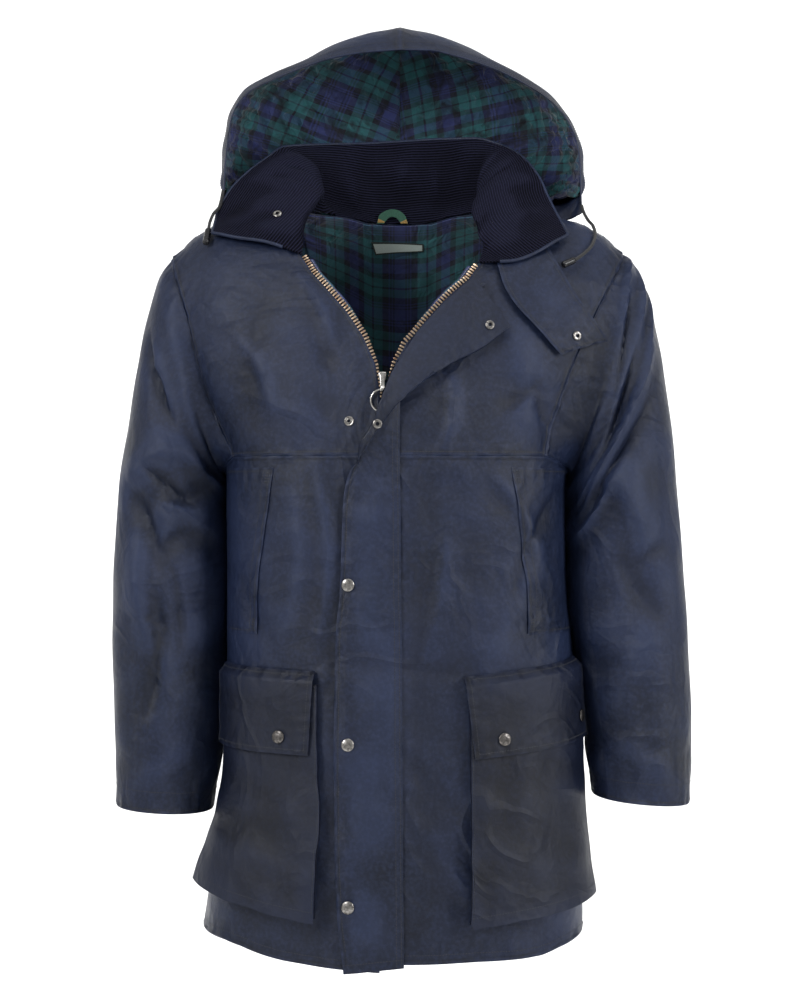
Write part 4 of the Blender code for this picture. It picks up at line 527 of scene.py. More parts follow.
# Pocket bags: inner edge across, and how far the face stands off the front, by height
BAG = {
    "right": table(
        "| drop inner off_inner off_outer",
        (556, 95.5, 8, 8),
        (640, 94.4, 10, 8),
        (714, 90.4, 15, 12),
        (757, 93.8, 20, 21.5),
        (800, 95.5, 23, 27.5),
        (826, 96.9, 24, 28.5),
    ),
    "left": table(
        "| drop inner off_inner off_outer",
        (556, 80, 8, 8),
        (643, 81.1, 10, 8),
        (714, 80.8, 15, 9.5),
        (757, 80.4, 19, 13.5),
        (803, 80, 22, 20.5),
        (834, 78.2, 24, 26.5),
    ),
}
BAG_OUTER_TURN = math.radians(72)
BAG_BOTTOM = {"right": (0.828, 0.800), "left": (0.834, 0.812)}
FLAP_TOP = {"right": (0.541, 0.537), "left": (0.547, 0.530)}
FLAP_BOTTOM = {"right": (0.638, 0.634), "left": (0.642, 0.626)}
FLAP_INNER = {"right": (0.0981, 0.1035), "left": (0.0740, 0.0849)}

# Throat tab: its two long edges from under the collar down to its end, across, height and stand-off
TAB_EDGES = table(
    "row | near_x near_z near_off far_x far_z far_off",
    (0, 115, -58.5, 3.4, 177.5, -40, 3.4),
    (1, 116, -66.5, 4.5, 179, -47, 6),
    (2, 121, -87.9, 6, 190.8, -73.7, 9),
    (3, 134.1, -112.5, 6.5, 205.8, -100.8, 11),
    (4, 155, -137.4, 7.5, 221.4, -125.4, 13.5),
    (5, 172.4, -156.6, 8, 231.2, -140.8, 15),
    (6, 186.5, -171, 8, 236.3, -149.4, 15.5),
)

# Hood drawcords and their ends
CORD = 0.0040
CORD_END = 0.0084
CORD_ROUTE = {
    "right": (
        (-0.2202, 0.0008, 0.0427), (-0.2211, -0.0050, 0.0337), (-0.2235, -0.0125, 0.0207),
        (-0.2300, -0.0225, 0.0100), (-0.2335, -0.0325, -0.0030), (-0.2340, -0.0420, -0.0118),
    ),
    "left": (
        (0.2258, -0.0012, 0.0240), (0.2274, -0.0060, 0.0162), (0.2324, -0.0140, 0.0041),
        (0.2378, -0.0220, -0.0045), (0.2392, -0.0360, -0.0151), (0.2324, -0.0620, -0.0334),
        (0.2206, -0.0780, -0.0463), (0.2092, -0.0900, -0.0550),
    ),
}
CORD_END_PLACES = {
    "right": ((-0.2340, -0.0425, -0.0122), (-0.2350, -0.0620, -0.0310)),
    "left": ((0.2087, -0.0904, -0.0552), (0.1940, -0.0990, -0.0622)),
}

# Grid of the panels: rows of the yoke above and below the zip's top end, columns, rows below the yoke seam
YOKE_ROWS_ABOVE = 4
YOKE_ROWS_BELOW = 8
YOKE_ROWS = YOKE_ROWS_ABOVE + YOKE_ROWS_BELOW
YOKE_COLUMNS = 8
ARM_COLUMNS = 3
FRONT_ROWS = 9
BACK_COLUMNS = 7
SIDE_SEAM_TURN = math.pi / 2 - 8.5e-5
SHOULDER_SEAM_LEVEL = 0.06
YOKE_SEAM_UP = YOKE_LEVEL - 0.03
YOKE_SEAM_DOWN = YOKE_LEVEL + 0.016
ZIP_TOP = {"right": 0.051, "left": 0.0615}

# The back neckline, and how the collar and the sleeves stand at their seams
NECK_LEVEL = 23.5
NECK_SHARE = 0.40
NECK_INSET = 0.0012
NECK_RAISE = 0.0024
COLLAR_END_SHARE = 0.05
COLLAR_END_FORWARD = 0.0045
SLEEVE_GAP = 0.0007
SLEEVE_EVEN_AT = 0.35
ARMHOLE_FADE = 0.10
LINING_COLUMNS = slice(4, -4)
ZIP_CLOSING_ROW = 4.0
ZIP_CLOSING_ROWS = 1.2
ZIP_ROWS = (0.06, 16.0)
TAPE_REACH = (0.0046, 0.0032)
TAPE_BEHIND = 0.010
TAPE_IN = (WAXED + 0.0022, WAXED + 0.0006)
TEETH_HEIGHTS = (-0.0018, 0.0010)
FACING_INWARD = table(
    "row | inward",
    (0, 12), (2, 11.5), (3.2, 8), (4.2, 4.5), (4.8, 3),
)
FACING_BEHIND = 0.012
FACING_IN = (WAXED + 0.0048, WAXED + 0.0026, WAXED + 0.0028)
LINING_OFF = SEAM + 0.0002
BAG_FOOT = {"right": 0.0012, "left": 0.0014}
BAG_DOWN = [k / 28 for k in range(29)]
BAG_ACROSS = [k / 32 for k in range(33)]

# Fold 0 is the face, 1 the pleat halfway down the gusset and 2 its foot: the share of the stand-off left
# there, and how far each lies inside the face's edge, by its own fold and the fold it meets at a corner
BAG_FOLD_OFF = {0: 1.0, 1: 0.45, 2: 0.0}
BAG_INSET = {0: (0.0, 0.0075, 0.0055), 1: (0.0036, 0.0036, 0.0030), 2: (0.0016, 0.0016, 0.0016)}

# Where the face stands off less than this the gusset is a plain wall
BAG_FLAT_OFF = 0.0100
BODY_RADIUS = 0.16
FLAP_FOOT = 0.0026
FLAP_OVER_BAG = 0.0018
FLAP_FOOT_SHARE = 0.12

# Hand-warmer pockets: the inner edge across, by height
HANDWARMER = {
    "right": table(
        "| drop inner",
        (300, 147.5), (345, 153.5), (404, 162.2), (460, 168.4), (503, 169),
    ),
    "left": table(
        "| drop inner",
        (300, 130), (345, 135), (404, 142), (460, 148), (503, 150),
    ),
}
HANDWARMER_DROPS = (0.304, 0.500)
HANDWARMER_CLOTH = 0.0013
HANDWARMER_OUTER_TURN = math.radians(73)

# Snaps, as radius and height pairs; the places of the storm flap's caps and of the yoke's stud
CAP_PROFILE = ((0.0062, 0.0), (0.0075, 0.0006), (0.0074, 0.0014), (0.0058, 0.0023), (0.0030, 0.0030))
SOCKET_PROFILE = ((0.0022, 0.0), (0.0054, 0.0), (0.0054, 0.0012), (0.0040, 0.0020), (0.0024, 0.0018))
CAP_X = -0.0600
CAP_HEIGHTS = (-0.4405, -0.6255, -0.8125)
STUD_X, STUD_Z = -0.0591, -0.2503

# Row and share of each socket on the storm flap, the throat tab and the collar, and of the pocket snaps
FLAP_SOCKETS = {"flap_socket_1": (0.45, 0.78, 0.0003), "flap_socket_2": (6.75, 0.60, 0.0004)}
TAB_SOCKET = (5.0, 0.53)
COLLAR_SOCKET = (0.052, 0.44)
COLLAR_SOCKET_OFF = -0.0006
POCKET_SNAPS = {
    "pocket_snap_right": ("right", 0.80, 0.25),
    "pocket_snap_left": ("left", 0.80, 0.21),
    "side_snap": ("left", 0.72, 0.90),
}

# The neck label, by its corners across and height, and how far inside the back it lies
LABEL_CORNERS = ((-0.0372, -0.0083), (0.0308, -0.0109), (0.0309, -0.0197), (-0.0322, -0.0238))
LABEL_IN = WAXED + LINING_OFF + LINING + 0.0019
LABEL_CLOTH = 0.0010

# The hanger loop's outer and inner edge, across and height, and how far back each place is
LOOP = table(
    "place | outer_x outer_z inner_x inner_z back",
    (0, -29.2, 10, -20.3, 10, 54.5),
    (1, -26.7, 20.2, -17.8, 13.9, 55.2),
    (2, -16.5, 27.2, -14, 17.7, 56),
    (3, -10.2, 28.5, -10.2, 19, 56.2),
    (4, -2.5, 27.2, -5.1, 17.7, 56),
    (5, 6.4, 20.2, -1.3, 13.9, 55.2),
    (6, 10.2, 10, 1.3, 10, 54.5),
)

# The slider: places down it, half its width, and its lower and upper face off the cloth
SLIDER_X = -0.0203
SLIDER_Z = -0.1990
SLIDER = table(
    "place | down half low high",
    (0, -5.8, 2.8, 1.8, 3.4),
    (1, -5, 4.5, 1.6, 4),
    (2, -2, 4.7, 1.6, 4.4),
    (3, 1.5, 4, 1.6, 4.4),
    (4, 4.6, 3.6, 1.6, 4),
    (5, 5.4, 2.6, 1.8, 3.4),
)
LINK_HALF_WIDTH = 0.0026
LINK_THICK = 0.0010
EYE_DOWN = 0.0155
EYE_OFF = 0.0052
EYE_RADIUS = 0.0026
RING_RADIUS = 0.0127
RING_WIRE = 0.0025
LINK_PATH = ((-0.0020, 0.0053), (0.0050, 0.0055), (0.0105, 0.0062))
LINK_TURN = (130, -134)


def mitred(grid, closed=False):
    """Normals of a grid of points, lengthened where it bends so that the cloth keeps its thickness."""
    if closed:
        grid = np.concatenate([grid, grid[:, :1]], axis=1)
    faces = unit(np.cross(grid[1:, :-1] - grid[:-1, 1:], grid[1:, 1:] - grid[:-1, :-1]))
    rows, columns = grid.shape[:2]
    total = np.zeros(grid.shape)
    count = np.zeros((rows, columns, 1))
    for i in (0, 1):
        for j in (0, 1):
            total[i : rows - 1 + i, j : columns - 1 + j] += faces
            count[i : rows - 1 + i, j : columns - 1 + j] += 1
    if closed:
        total[:, 0] += total[:, -1]
        count[:, 0] += count[:, -1]
        total, count = total[:, :-1], count[:, :-1]
    mean = total / count
    return mean / np.maximum(np.linalg.norm(mean, axis=-1, keepdims=True), 0.72) ** 2


def front_normals_of(grid):
    """The grid's normals, turned so that the middle one faces the front."""
    return facing(mitred(grid), (grid.shape[0] // 2, grid.shape[1] // 2), FACE["front"])


def frame_of(axis):
    axis = unit(np.asarray(axis, float))
    side = np.cross((0.0, 0.0, 1.0), axis)
    side = unit(side) if np.linalg.norm(side) > 1e-6 else np.array((1.0, 0.0, 0.0))
    return axis, side, np.cross(axis, side)


def even_turns(side, face, level, first, last, count):
    """Turns from first to last, evenly spaced along the cloth."""
    fine = np.linspace(first, last, 48)
    length = lengths(body(side, face, fine, level))
    return np.interp(np.linspace(0, length[-1], count + 1), length, fine)


def edge_levels(side):
    rows = EDGE[side]
    drops = np.linspace(rows["drop"][0], 0.30, 120)
    outs = read(rows, "out", drops)
    return level_at(outs, -drops), outs


EDGE_LEVELS = {side: edge_levels(side) for side in SIDE}


def edge_out(side, level):
    """How far out the shell's front edge lies at a level."""
    levels, outs = EDGE_LEVELS[side]
    return np.interp(level, levels, outs)


def arm_turn(side, face, level):
    share = share_of(level)
    return turn_at(side, level, read(ARMHOLE, face + "_" + side, share))


def zip_top_level(side):
    top = ZIP_TOP[side]
    return float(level_at(read(EDGE[side], "out", top), -top))


def yoke_nodes(side):
    zip_top = zip_top_level(side)
    above = np.linspace(SHOULDER_SEAM_LEVEL, zip_top, YOKE_ROWS_ABOVE + 1)
    levels = np.concatenate([above, np.linspace(zip_top, YOKE_SEAM_UP, YOKE_ROWS_BELOW + 1)[1:]])
    turns = []
    for level in levels:
        first = turn_at(side, level, edge_out(side, level))
        turns.append(even_turns(side, "front", level, first, arm_turn(side, "front", level), YOKE_COLUMNS))
    return np.array(turns), levels[:, None] + np.zeros(YOKE_COLUMNS + 1)


def underarm_drop(turn, arm):
    f = np.clip((turn - arm) / (math.pi / 2 - arm), 0, 1)
    return (UNDERARM_LEVEL - YOKE_LEVEL) * f * f * (3 - 2 * f)


def hem_level(side, face, turn):
    drop = read(HEM, face + "_" + side, np.degrees(np.abs(turn)))
    return level_of(drop)


def lower_nodes(side, face, first_out, columns):
    """Turns and levels of the nodes of a panel below the yoke seam, from its inner edge to the side seam."""
    arm = float(arm_turn(side, face, YOKE_LEVEL))
    turns, levels = [], []
    for f in np.linspace(0, 1, FRONT_ROWS + 1):
        level = YOKE_SEAM_DOWN + f * (float(hem_level(side, face, 0.0)) - YOKE_SEAM_DOWN)
        first = 0.0 if first_out is None else float(turn_at(side, level, first_out))
        inner = even_turns(side, face, level, first, arm, columns)
        outer = even_turns(side, face, level, arm, SIDE_SEAM_TURN, ARM_COLUMNS)[1:]
        turn = np.concatenate([inner, outer])
        top = YOKE_SEAM_DOWN + underarm_drop(turn, arm)
        turns.append(turn)
        levels.append(top + f * (hem_level(side, face, turn) - top))
    return np.array(turns), np.array(levels)


def neck_level(share):
    """The level of the back neckline by the share of the way out to the armhole."""
    f = np.clip(np.abs(share) / NECK_SHARE, 0, 1)
    return np.maximum(NECK_LEVEL * (1 - f**2.2), SHOULDER_SEAM_LEVEL)


def back_yoke_nodes():
    """For each side the turns and levels of the back yoke, from its middle to the armhole."""
    shares = np.linspace(0, 1, BACK_COLUMNS + 1)
    grids = {}
    for side in SIDE:
        turns = np.zeros((YOKE_ROWS + 1, BACK_COLUMNS + 1))
        levels = np.zeros_like(turns)
        for j, share in enumerate(shares):
            top = float(neck_level(share))
            for i, f in enumerate(np.linspace(0, 1, YOKE_ROWS + 1)):
                level = top + f * (YOKE_SEAM_UP - top)
                arm = float(arm_turn(side, "back", level))
                line = even_turns(side, "back", level, 0.0, arm, BACK_COLUMNS)
                turns[i, j] = line[j]
                levels[i, j] = level
        grids[side] = (turns, levels)
    return grids


def both_sides(right, left):
    """One grid from the right side's columns, outermost first, and the left side's."""
    return np.concatenate([right[:, ::-1], left[:, 1:]], axis=1)


def neckline(side):
    """The neckline from the zip's top end over the shoulder to the middle of the back."""
    levels = np.linspace(zip_top_level(side), SHOULDER_SEAM_LEVEL, 24)
    front = skin(side, "front", turn_at(side, levels, edge_out(side, levels)), levels)
    back = []
    for share in np.linspace(NECK_SHARE, 0, 16)[1:]:
        level = float(neck_level(share))
        turn = even_turns(side, "back", level, 0.0, float(arm_turn(side, "back", level)), 100)
        back.append(skin(side, "back", turn[int(round(share * 100))], level))
    return np.concatenate([front, np.array(back)])


def along(line, count):
    """So many points spaced evenly along a line of points, or those at the given shares of its length."""
    length = lengths(line)
    places = np.linspace(0, length[-1], count) if np.isscalar(count) else np.asarray(count) * length[-1]
    return on_points(places, length, line)


def neck_seam(runs):
    right, left = neckline("right"), neckline("left")
    line = np.concatenate([right, left[::-1][1:]])
    return along(line, runs)


def collar_points(runs, shares):
    """The collar's seen face: a row for each run along the band, a column for each share of its height."""
    seam = neck_seam(runs)
    seam = seam + unit(-seam * np.array((1.0, 0.6, 0.0))) * NECK_INSET + np.array((0.0, 0.0, NECK_RAISE))
    ends = np.clip(1 - np.minimum(runs, 1 - runs) / COLLAR_END_SHARE, 0, 1)[:, None]
    seam = seam - ends * np.array((0.0, COLLAR_END_FORWARD, 0.0))
    bands = np.array([seam] + [points_at(COLLAR, place, runs) for place in COLLAR_PLACES])
    return curved(bands, np.linspace(0, 1, len(bands)), shares).swapaxes(0, 1)


def hood_points(side, runs, shares):
    """The hood half's outer face: rows from the corner to the seam, columns from neck to brim."""
    a, b, c, d = (points_at(HOOD[side], part, runs)[:, None] for part in ("neck", "back", "crown", "brim"))
    f = shares[None, :, None]
    return (1 - f) ** 3 * a + 3 * (1 - f) ** 2 * f * b + 3 * (1 - f) * f * f * c + f**3 * d


def armhole_loop(yoke, front, back_yoke, back):
    """The armhole's points from the shoulder seam by way of the front and the underarm to the back."""
    arm = int((DOWN_COLUMNS > YOKE_COLUMNS).sum())
    under_back = back[0, -arm - 1 : -1][::-1]
    return np.concatenate([yoke[:, -1], front[0, -arm:], under_back, back_yoke[1:, -1][::-1]])


# Where the sleeve's bulge against the body starts and ends, as shares of its run with the width that each end
# takes, and how wide it is round the sleeve; and where its folds start, by its run and from its top seam
BULGE_START, BULGE_START_FADE = 0.02, 0.06
BULGE_END, BULGE_END_FADE = 0.80, 0.12
BULGE_WIDTH = 0.09
SLEEVE_FOLDS_START = 0.06
SLEEVE_DENTS_START = 0.05


def sleeve_points(side, loop, runs, marks):
    """The sleeve's outer face: one row for each run from armhole to cuff, columns round from the top."""
    length = lengths(np.concatenate([loop, loop[:1]]))
    share = length[:-1] / length[-1]
    even = marks / SLEEVE_MARKS
    rows = []
    for run in runs:
        angle = 2 * np.pi * mix(share, even, np.clip(run / SLEEVE_EVEN_AT, 0, 1))
        at = sizes_at(SLEEVE[side], run * SLEEVE_SECTIONS)
        outer = np.array((SIDE[side] * at["outer_x"], at["middle_y"], at["outer_z"]))
        inner = np.array((SIDE[side] * at["inner_x"], at["middle_y"], at["inner_z"]))
        ring = (outer + inner) / 2 + np.cos(angle)[:, None] * (outer - inner) / 2
        ring[:, 1] -= np.sin(angle) * at["half_y"]
        rows.append(mix(ring, loop, np.clip(1 - run / ARMHOLE_FADE, 0, 1) ** 1.5))
    grid = np.array(rows)
    grid[..., 0] += SIDE[side] * SLEEVE_GAP
    normals = mitred(grid, closed=True)
    middle = grid.mean(axis=1, keepdims=True)
    normals = unit(normals * np.sign(((grid - middle) * normals).sum(axis=-1).mean()))
    run = runs[:, None]
    around, down = np.broadcast_arrays(even * SLEEVE_GIRTH, run * SLEEVE_RUN)
    fold = SLEEVE_DEPTH * creases(SLEEVE_FOLDS[side], around, down)
    # Halfway down the sleeve hangs against the side of the body
    low = smooth((run - BULGE_START) / BULGE_START_FADE) * smooth((BULGE_END - run) / BULGE_END_FADE)
    fold = fold + SLEEVE_BULGE * low * np.exp(-(((even - 0.5) / BULGE_WIDTH) ** 2))
    ends = np.minimum(around, SLEEVE_GIRTH - around) / SLEEVE_DENTS_START
    fold = fold + 1.3 * DENT * unevenness(around, down, DENT_SIZE, 11) * np.clip(ends, 0, 1)
    return grid + normals * (fold * np.clip(run / SLEEVE_FOLDS_START, 0, 1))[..., None], normals


def zip_line(yoke, front):
    """The shell's front edge below the zip's top end: its points, the way in, the way out and their rows."""
    first = int((YOKE_STEPS < YOKE_ROWS_ABOVE).sum())
    points, normals = (np.concatenate([a[first:, :2], b[1:, :2]]) for a, b in zip(yoke, front))
    index = np.concatenate([YOKE_STEPS[first:] - YOKE_ROWS_ABOVE, YOKE_ROWS_BELOW + DOWN_STEPS[1:]])
    return points[:, 0], unit(points[:, 0] - points[:, 1]), normals[:, 0], index


def on_line(line, rows, inward, lift):
    """Places beside the zip line at fractional rows, inward of it along the cloth and lifted off it."""
    point, across, normal = (on_points(rows, line[3], part) for part in line[:3])
    inward, lift = (np.broadcast_to(v, rows.shape)[:, None] for v in (inward, lift))
    return point + unit(across) * inward + unit(normal) * lift


def row_normals(line, rows):
    return unit(on_points(rows, line[3], line[2]))


def flap_points(rows):
    """The storm flap's middle line in each section: root to fold, round the fold, and on to the edge."""
    grid = []
    for row in rows:
        at = sizes_at(STORM_FLAP, row)
        root, fold, edge = (np.array((at[k + "_x"], at[k + "_z"])) for k in ("root", "fold", "edge"))
        up = at["turn_up"]
        folded = float(np.clip(up / FLAP_FOLDED_UP, 0, 1))
        root_off = float(read(FLAP_ROOT, "off", row))
        line = [(mix(root, fold, f), mix(root_off, at["fold_off"], f**0.8)) for f in FLAP_LOWER_SHARES]
        for flat, turned_back, out, rise in zip(*FLAP_TURNING.values()):
            share = mix(flat, turned_back, folded)
            place = mix(fold, edge, share) + unit(fold - root) * up * out * folded
            line.append((place, mix(at["fold_off"] + up * rise, at["edge_off"], share)))
        grid.append([front_at(place[0], place[1], off) for place, off in line])
    return np.array(grid)


def bag_off(side, drop, across):
    """How far the bag's face stands off the front."""
    return mix(*(float(read(BAG[side], edge, drop)) for edge in ("off_inner", "off_outer")), across)


def turn_across(side, level, inner, outer_turn, across):
    """The turn at a share of the way along the front's cloth from inner, a place across, to a turn."""
    first = float(turn_at(side, level, inner))
    turns = even_turns(side, "front", level, first, outer_turn, 20)
    return float(np.interp(across, np.linspace(0, 1, 21), turns))


def bag_grid(side):
    """A bellows bag: foot on the front, gusset standing off it, face, and gusset again, open at the top."""
    rows = BAG[side]
    top = rows["drop"][0]
    downs = BAG_DOWN + [1.0, 1.0]
    columns = [0.0, 0.0] + BAG_ACROSS + [1.0, 1.0]
    grid = []
    for i, down in enumerate(downs):
        grid.append([])
        down_fold = max(i - len(BAG_DOWN) + 1, 0)
        for j, across in enumerate(columns):
            across_fold = max(2 - j, j - len(columns) + 3, 0)
            drop = mix(top, mix(*BAG_BOTTOM[side], across), down)
            level = level_of(drop)
            turn = turn_across(side, level, float(read(rows, "inner", drop)), BAG_OUTER_TURN, across)
            off = bag_off(side, drop, across)
            pleat = float(np.clip((off - BAG_FLAT_OFF) / BAG_FLAT_OFF, 0, 1))
            off = mix(BAG_FOOT[side], off, BAG_FOLD_OFF[max(down_fold, across_fold)])
            if across in (0.0, 1.0):
                inset = BAG_INSET[across_fold][down_fold] * pleat
                turn += inset / BODY_RADIUS * (1 if across == 0.0 else -1)
            if down == 1.0:
                level -= BAG_INSET[down_fold][across_fold] * pleat / LEVEL_STEP
            grid[i].append(skin(side, "front", turn, level, off))
    return np.array(grid)


def pocket_flap_point(side, f, g):
    """A place on the pocket flap's outer face, f of the way down and g of the way out."""
    drop = mix(mix(*FLAP_TOP[side], g), mix(*FLAP_BOTTOM[side], g), f)
    level = level_of(drop)
    turn = turn_across(side, level, mix(*FLAP_INNER[side], f), BAG_OUTER_TURN + 0.02, g)
    rise = np.clip(f / FLAP_FOOT_SHARE, 0, 1)
    return skin(side, "front", turn, level, FLAP_FOOT + (bag_off(side, drop, g) + FLAP_OVER_BAG) * rise)


def tab_point(row, f):
    """A place on the throat tab's outer face, by row down it and share across it."""
    at = sizes_at(TAB_EDGES, row)
    return front_at(*(mix(at["near_" + k], at["far_" + k], f) for k in ("x", "z", "off")))


def on_front(x, z, off):
    return lambda u, v: front_at(x + u * 0.1, z + v * 0.1, off)


def moved_place(place, a, b):
    return lambda u, v: place(a + u, b + v)


def flap_turned(row, f):
    """A place in the middle of the storm flap's turned-back cloth, by row and share from fold to edge."""
    at = sizes_at(STORM_FLAP, row)
    off = at["fold_off"] + at["turn_up"] * FLAP_TURNING["rise"][-1]
    x, z = (mix(at["fold_" + k], at["edge_" + k], f) for k in "xz")
    return front_at(x, z, mix(off, at["edge_off"], f))


def on_collar(run, share):
    return collar_points(np.array([run]), np.array([share]))[0, 0]


def back_at(x, z, lift):
    side = "left" if x >= 0 else "right"
    level = float(level_at(abs(x), z))
    return skin(side, "back", float(turn_at(side, level, abs(x))), level, lift)


# ---------------------------------------------------------------- Colours and small helpers


def colour(code):
    """A linear colour from its sRGB hex code."""
    parts = [int(code[k : k + 2], 16) / 255 for k in (1, 3, 5)]
    return tuple(p / 12.92 if p <= 0.04045 else ((p + 0.055) / 1.055) ** 2.4 for p in parts) + (1.0,)


def smooth(f):
    f = np.clip(f, 0, 1)
    return f * f * (3 - 2 * f)


def unevenness(a, b, size, seed):
    """A gentle field of dents about so large, between -1 and 1."""
    rng = np.random.default_rng(seed)
    total = np.zeros(np.broadcast(a, b).shape)
    for _ in range(9):
        turn, phase = rng.uniform(0, 2 * np.pi, 2)
        pace = 2 * np.pi / (size * rng.uniform(0.75, 1.8))
        total = total + np.sin(pace * (a * math.cos(turn) + b * math.sin(turn)) + phase)
    return total / 3.6


def finer(grid, rows, columns):
    """A grid of nodes read at finer rows and columns, straight between its nodes."""
    tall = np.stack([np.interp(rows, np.arange(len(grid)), line) for line in grid.T], axis=1)
    return np.stack([np.interp(columns, np.arange(grid.shape[1]), row) for row in tall])


def reach(grid, axis):
    """Length along the grid's lines from their start, the same shape as the grid."""
    step = np.linalg.norm(np.diff(grid, axis=axis), axis=-1)
    start = np.zeros_like(np.take(step, [0], axis=axis))
    return np.concatenate([start, np.cumsum(step, axis=axis)], axis=axis)


def edge_gap(grid, edge):
    """How far each point of the grid lies from one of its edges, along the cloth."""
    axis = 0 if edge in ("top", "bottom") else 1
    length = reach(grid, axis)
    if edge in ("top", "left"):
        return length
    return np.take(length, [-1], axis=axis) - length


# How far a row of stitches lies above the cloth, and how far in from the edge each kind of row runs
THREAD_LIFT = 0.0001
SEAM_STITCH = 0.0042
ZIP_STITCH = 0.0046
HEM_STITCH = 0.0110
STITCHED_ENDS = (0.02, 0.98)


def beside(grid, normals, edge, gap, lift=THREAD_LIFT, trim=(0.0, 1.0)):
    """A line on the cloth that keeps a distance from one edge, and the way out along it."""
    length = edge_gap(grid, edge)
    if edge in ("top", "bottom"):
        grid, normals, length = (np.swapaxes(v, 0, 1) for v in (grid, normals, length))
    if edge in ("bottom", "right"):
        grid, normals, length = (v[:, ::-1] for v in (grid, normals, length))
    first, last = (int(round(t * (len(grid) - 1))) for t in trim)
    line, out = (
        np.array([on_points(gap, length[k], v[k]) for k in range(first, last + 1)]) for v in (grid, normals)
    )
    out = unit(out)
    return line + out * lift, out


# ---------------------------------------------------------------- Meshes


def link_to_scene(name, mesh, body, nodes=()):
    made = bpy.data.objects.new(name, mesh)
    bpy.context.scene.collection.objects.link(made)
    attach(made, body)
    if nodes:
        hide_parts(*nodes)
    return made


def mesh_of(name, points, faces, materials, corner_uvs=None, marks=None, sharp=40.0, which=None):
    mesh = bpy.data.meshes.new(name)
    mesh.from_pydata(np.asarray(points, float).tolist(), [], [list(map(int, f)) for f in faces])
    for made in materials:
        mesh.materials.append(made)
    mesh.polygons.foreach_set("use_smooth", np.ones(len(mesh.polygons), bool))
    if which is not None:
        mesh.polygons.foreach_set("material_index", np.asarray(which, np.int32))
    if corner_uvs is not None:
        layer = mesh.uv_layers.new(name="cloth")
        layer.data.foreach_set("uv", np.asarray(corner_uvs, np.float32).ravel())
    # Pieces given no marks take 0.6: a little of the paler wear and painted highlight, and no painted shade
    marks = np.full(len(points), 0.6) if marks is None else marks
    layer = mesh.attributes.new("wear_and_shade", "FLOAT", "POINT")
    layer.data.foreach_set("value", np.asarray(marks, np.float32))
    mesh.update()
    mesh.set_sharp_from_angle(angle=math.radians(sharp))
    return mesh


def shell(
    node, grid, normals, thickness, cloth, closed=False, wear_and_shade=None, bias=0.0, inside=None, cut=None,
    name=None,
):
    """A thin cloth piece: its seen face, the same face moved in by its thickness, and the raw edge between.

    Its cloth coordinates are metres across and down, turned by bias and measured on cut, the cloth before it
    was crumpled; its marks say where it is painted paler, as wear and painted highlight, and darker, as
    painted shade.
    was crumpled; rub marks what stands out and wears."""
    rows, columns = grid.shape[:2]
    name = name or node + "_cloth"
    inner = grid - normals * thickness
    cut = grid if cut is None else cut
    across, down = reach(cut, 1), reach(cut, 0)
    across = across - across[:, columns // 2 : columns // 2 + 1]
    wear_and_shade = np.full((rows, columns), 0.5) if wear_and_shade is None else np.clip(wear_and_shade, 0, 1)
    wide = columns + 1 if closed else columns
    if closed:
        last = np.linalg.norm(grid[:, 0] - grid[:, -1], axis=-1)[:, None]
        across = np.concatenate([across, across[:, -1:] + last], axis=1)
        down = np.concatenate([down, down[:, :1]], axis=1)
    c, s = math.cos(bias), math.sin(bias)
    uv = np.stack([across * c - down * s, across * s + down * c], axis=-1).reshape(-1, 2)
    place = np.arange(rows * wide).reshape(rows, wide)
    vertex = (np.arange(rows)[:, None] * columns + np.arange(wide)[None, :] % columns).ravel()
    quads = np.stack([place[:-1, :-1], place[:-1, 1:], place[1:, 1:], place[1:, :-1]], axis=-1)
    quads = quads.reshape(-1, 4)
    points = grid.reshape(-1, 3)
    corner = points[vertex[quads]]
    way = np.cross(corner[:, 1] - corner[:, 0], corner[:, 3] - corner[:, 0])
    flipped = (way * normals.reshape(-1, 3)[vertex[quads[:, 0]]]).sum() < 0
    n = rows * wide
    if closed:
        loops = [place[0], place[-1][::-1]]
    else:
        loops = [np.concatenate([place[0], place[1:, -1], place[-1, :-1][::-1], place[:-1, 0][::-1]])]
    edges = np.concatenate([np.stack([a[1:], a[:-1], a[:-1] + n, a[1:] + n], axis=-1) for a in loops])
    faces = np.concatenate([quads, quads[:, ::-1] + n, edges])
    faces = faces[:, ::-1] if flipped else faces
    which = np.zeros(len(faces), int)
    if inside is not None:
        which[len(quads) : 2 * len(quads)] = 1
    # The inner face is marked 0.35, which paints a little shade on it
    mesh = mesh_of(
        name,
        np.concatenate([points, inner.reshape(-1, 3)]),
        np.concatenate([vertex, vertex + rows * columns])[faces].tolist(),
        [cloth] if inside is None else [cloth, inside],
        np.concatenate([uv, uv])[faces].reshape(-1, 2),
        np.concatenate([wear_and_shade.ravel(), np.full(rows * columns, 0.35)]),
        which=which,
    )
    return link_to_scene(name, mesh, "garment", (node,))


def tube(name, line, radius, made, nodes=(), around=10):
    """A round strand along a line of points."""
    tangent = unit(np.gradient(line, axis=0))
    side = np.cross(tangent[0], (0.31, 0.2, 0.93))
    angles = np.linspace(0, 2 * np.pi, around + 1)
    rings, uvs = [], []
    for point, way, length in zip(line, tangent, lengths(line)):
        side = unit(side - way * np.dot(side, way))
        ring = np.cos(angles)[:, None] * side + np.sin(angles)[:, None] * np.cross(way, side)
        rings.append(point + ring[:-1] * radius)
        uvs.append(np.stack([angles * radius, np.full(around + 1, length)], axis=-1))
    return skinned(name, rings, made, nodes, uvs)


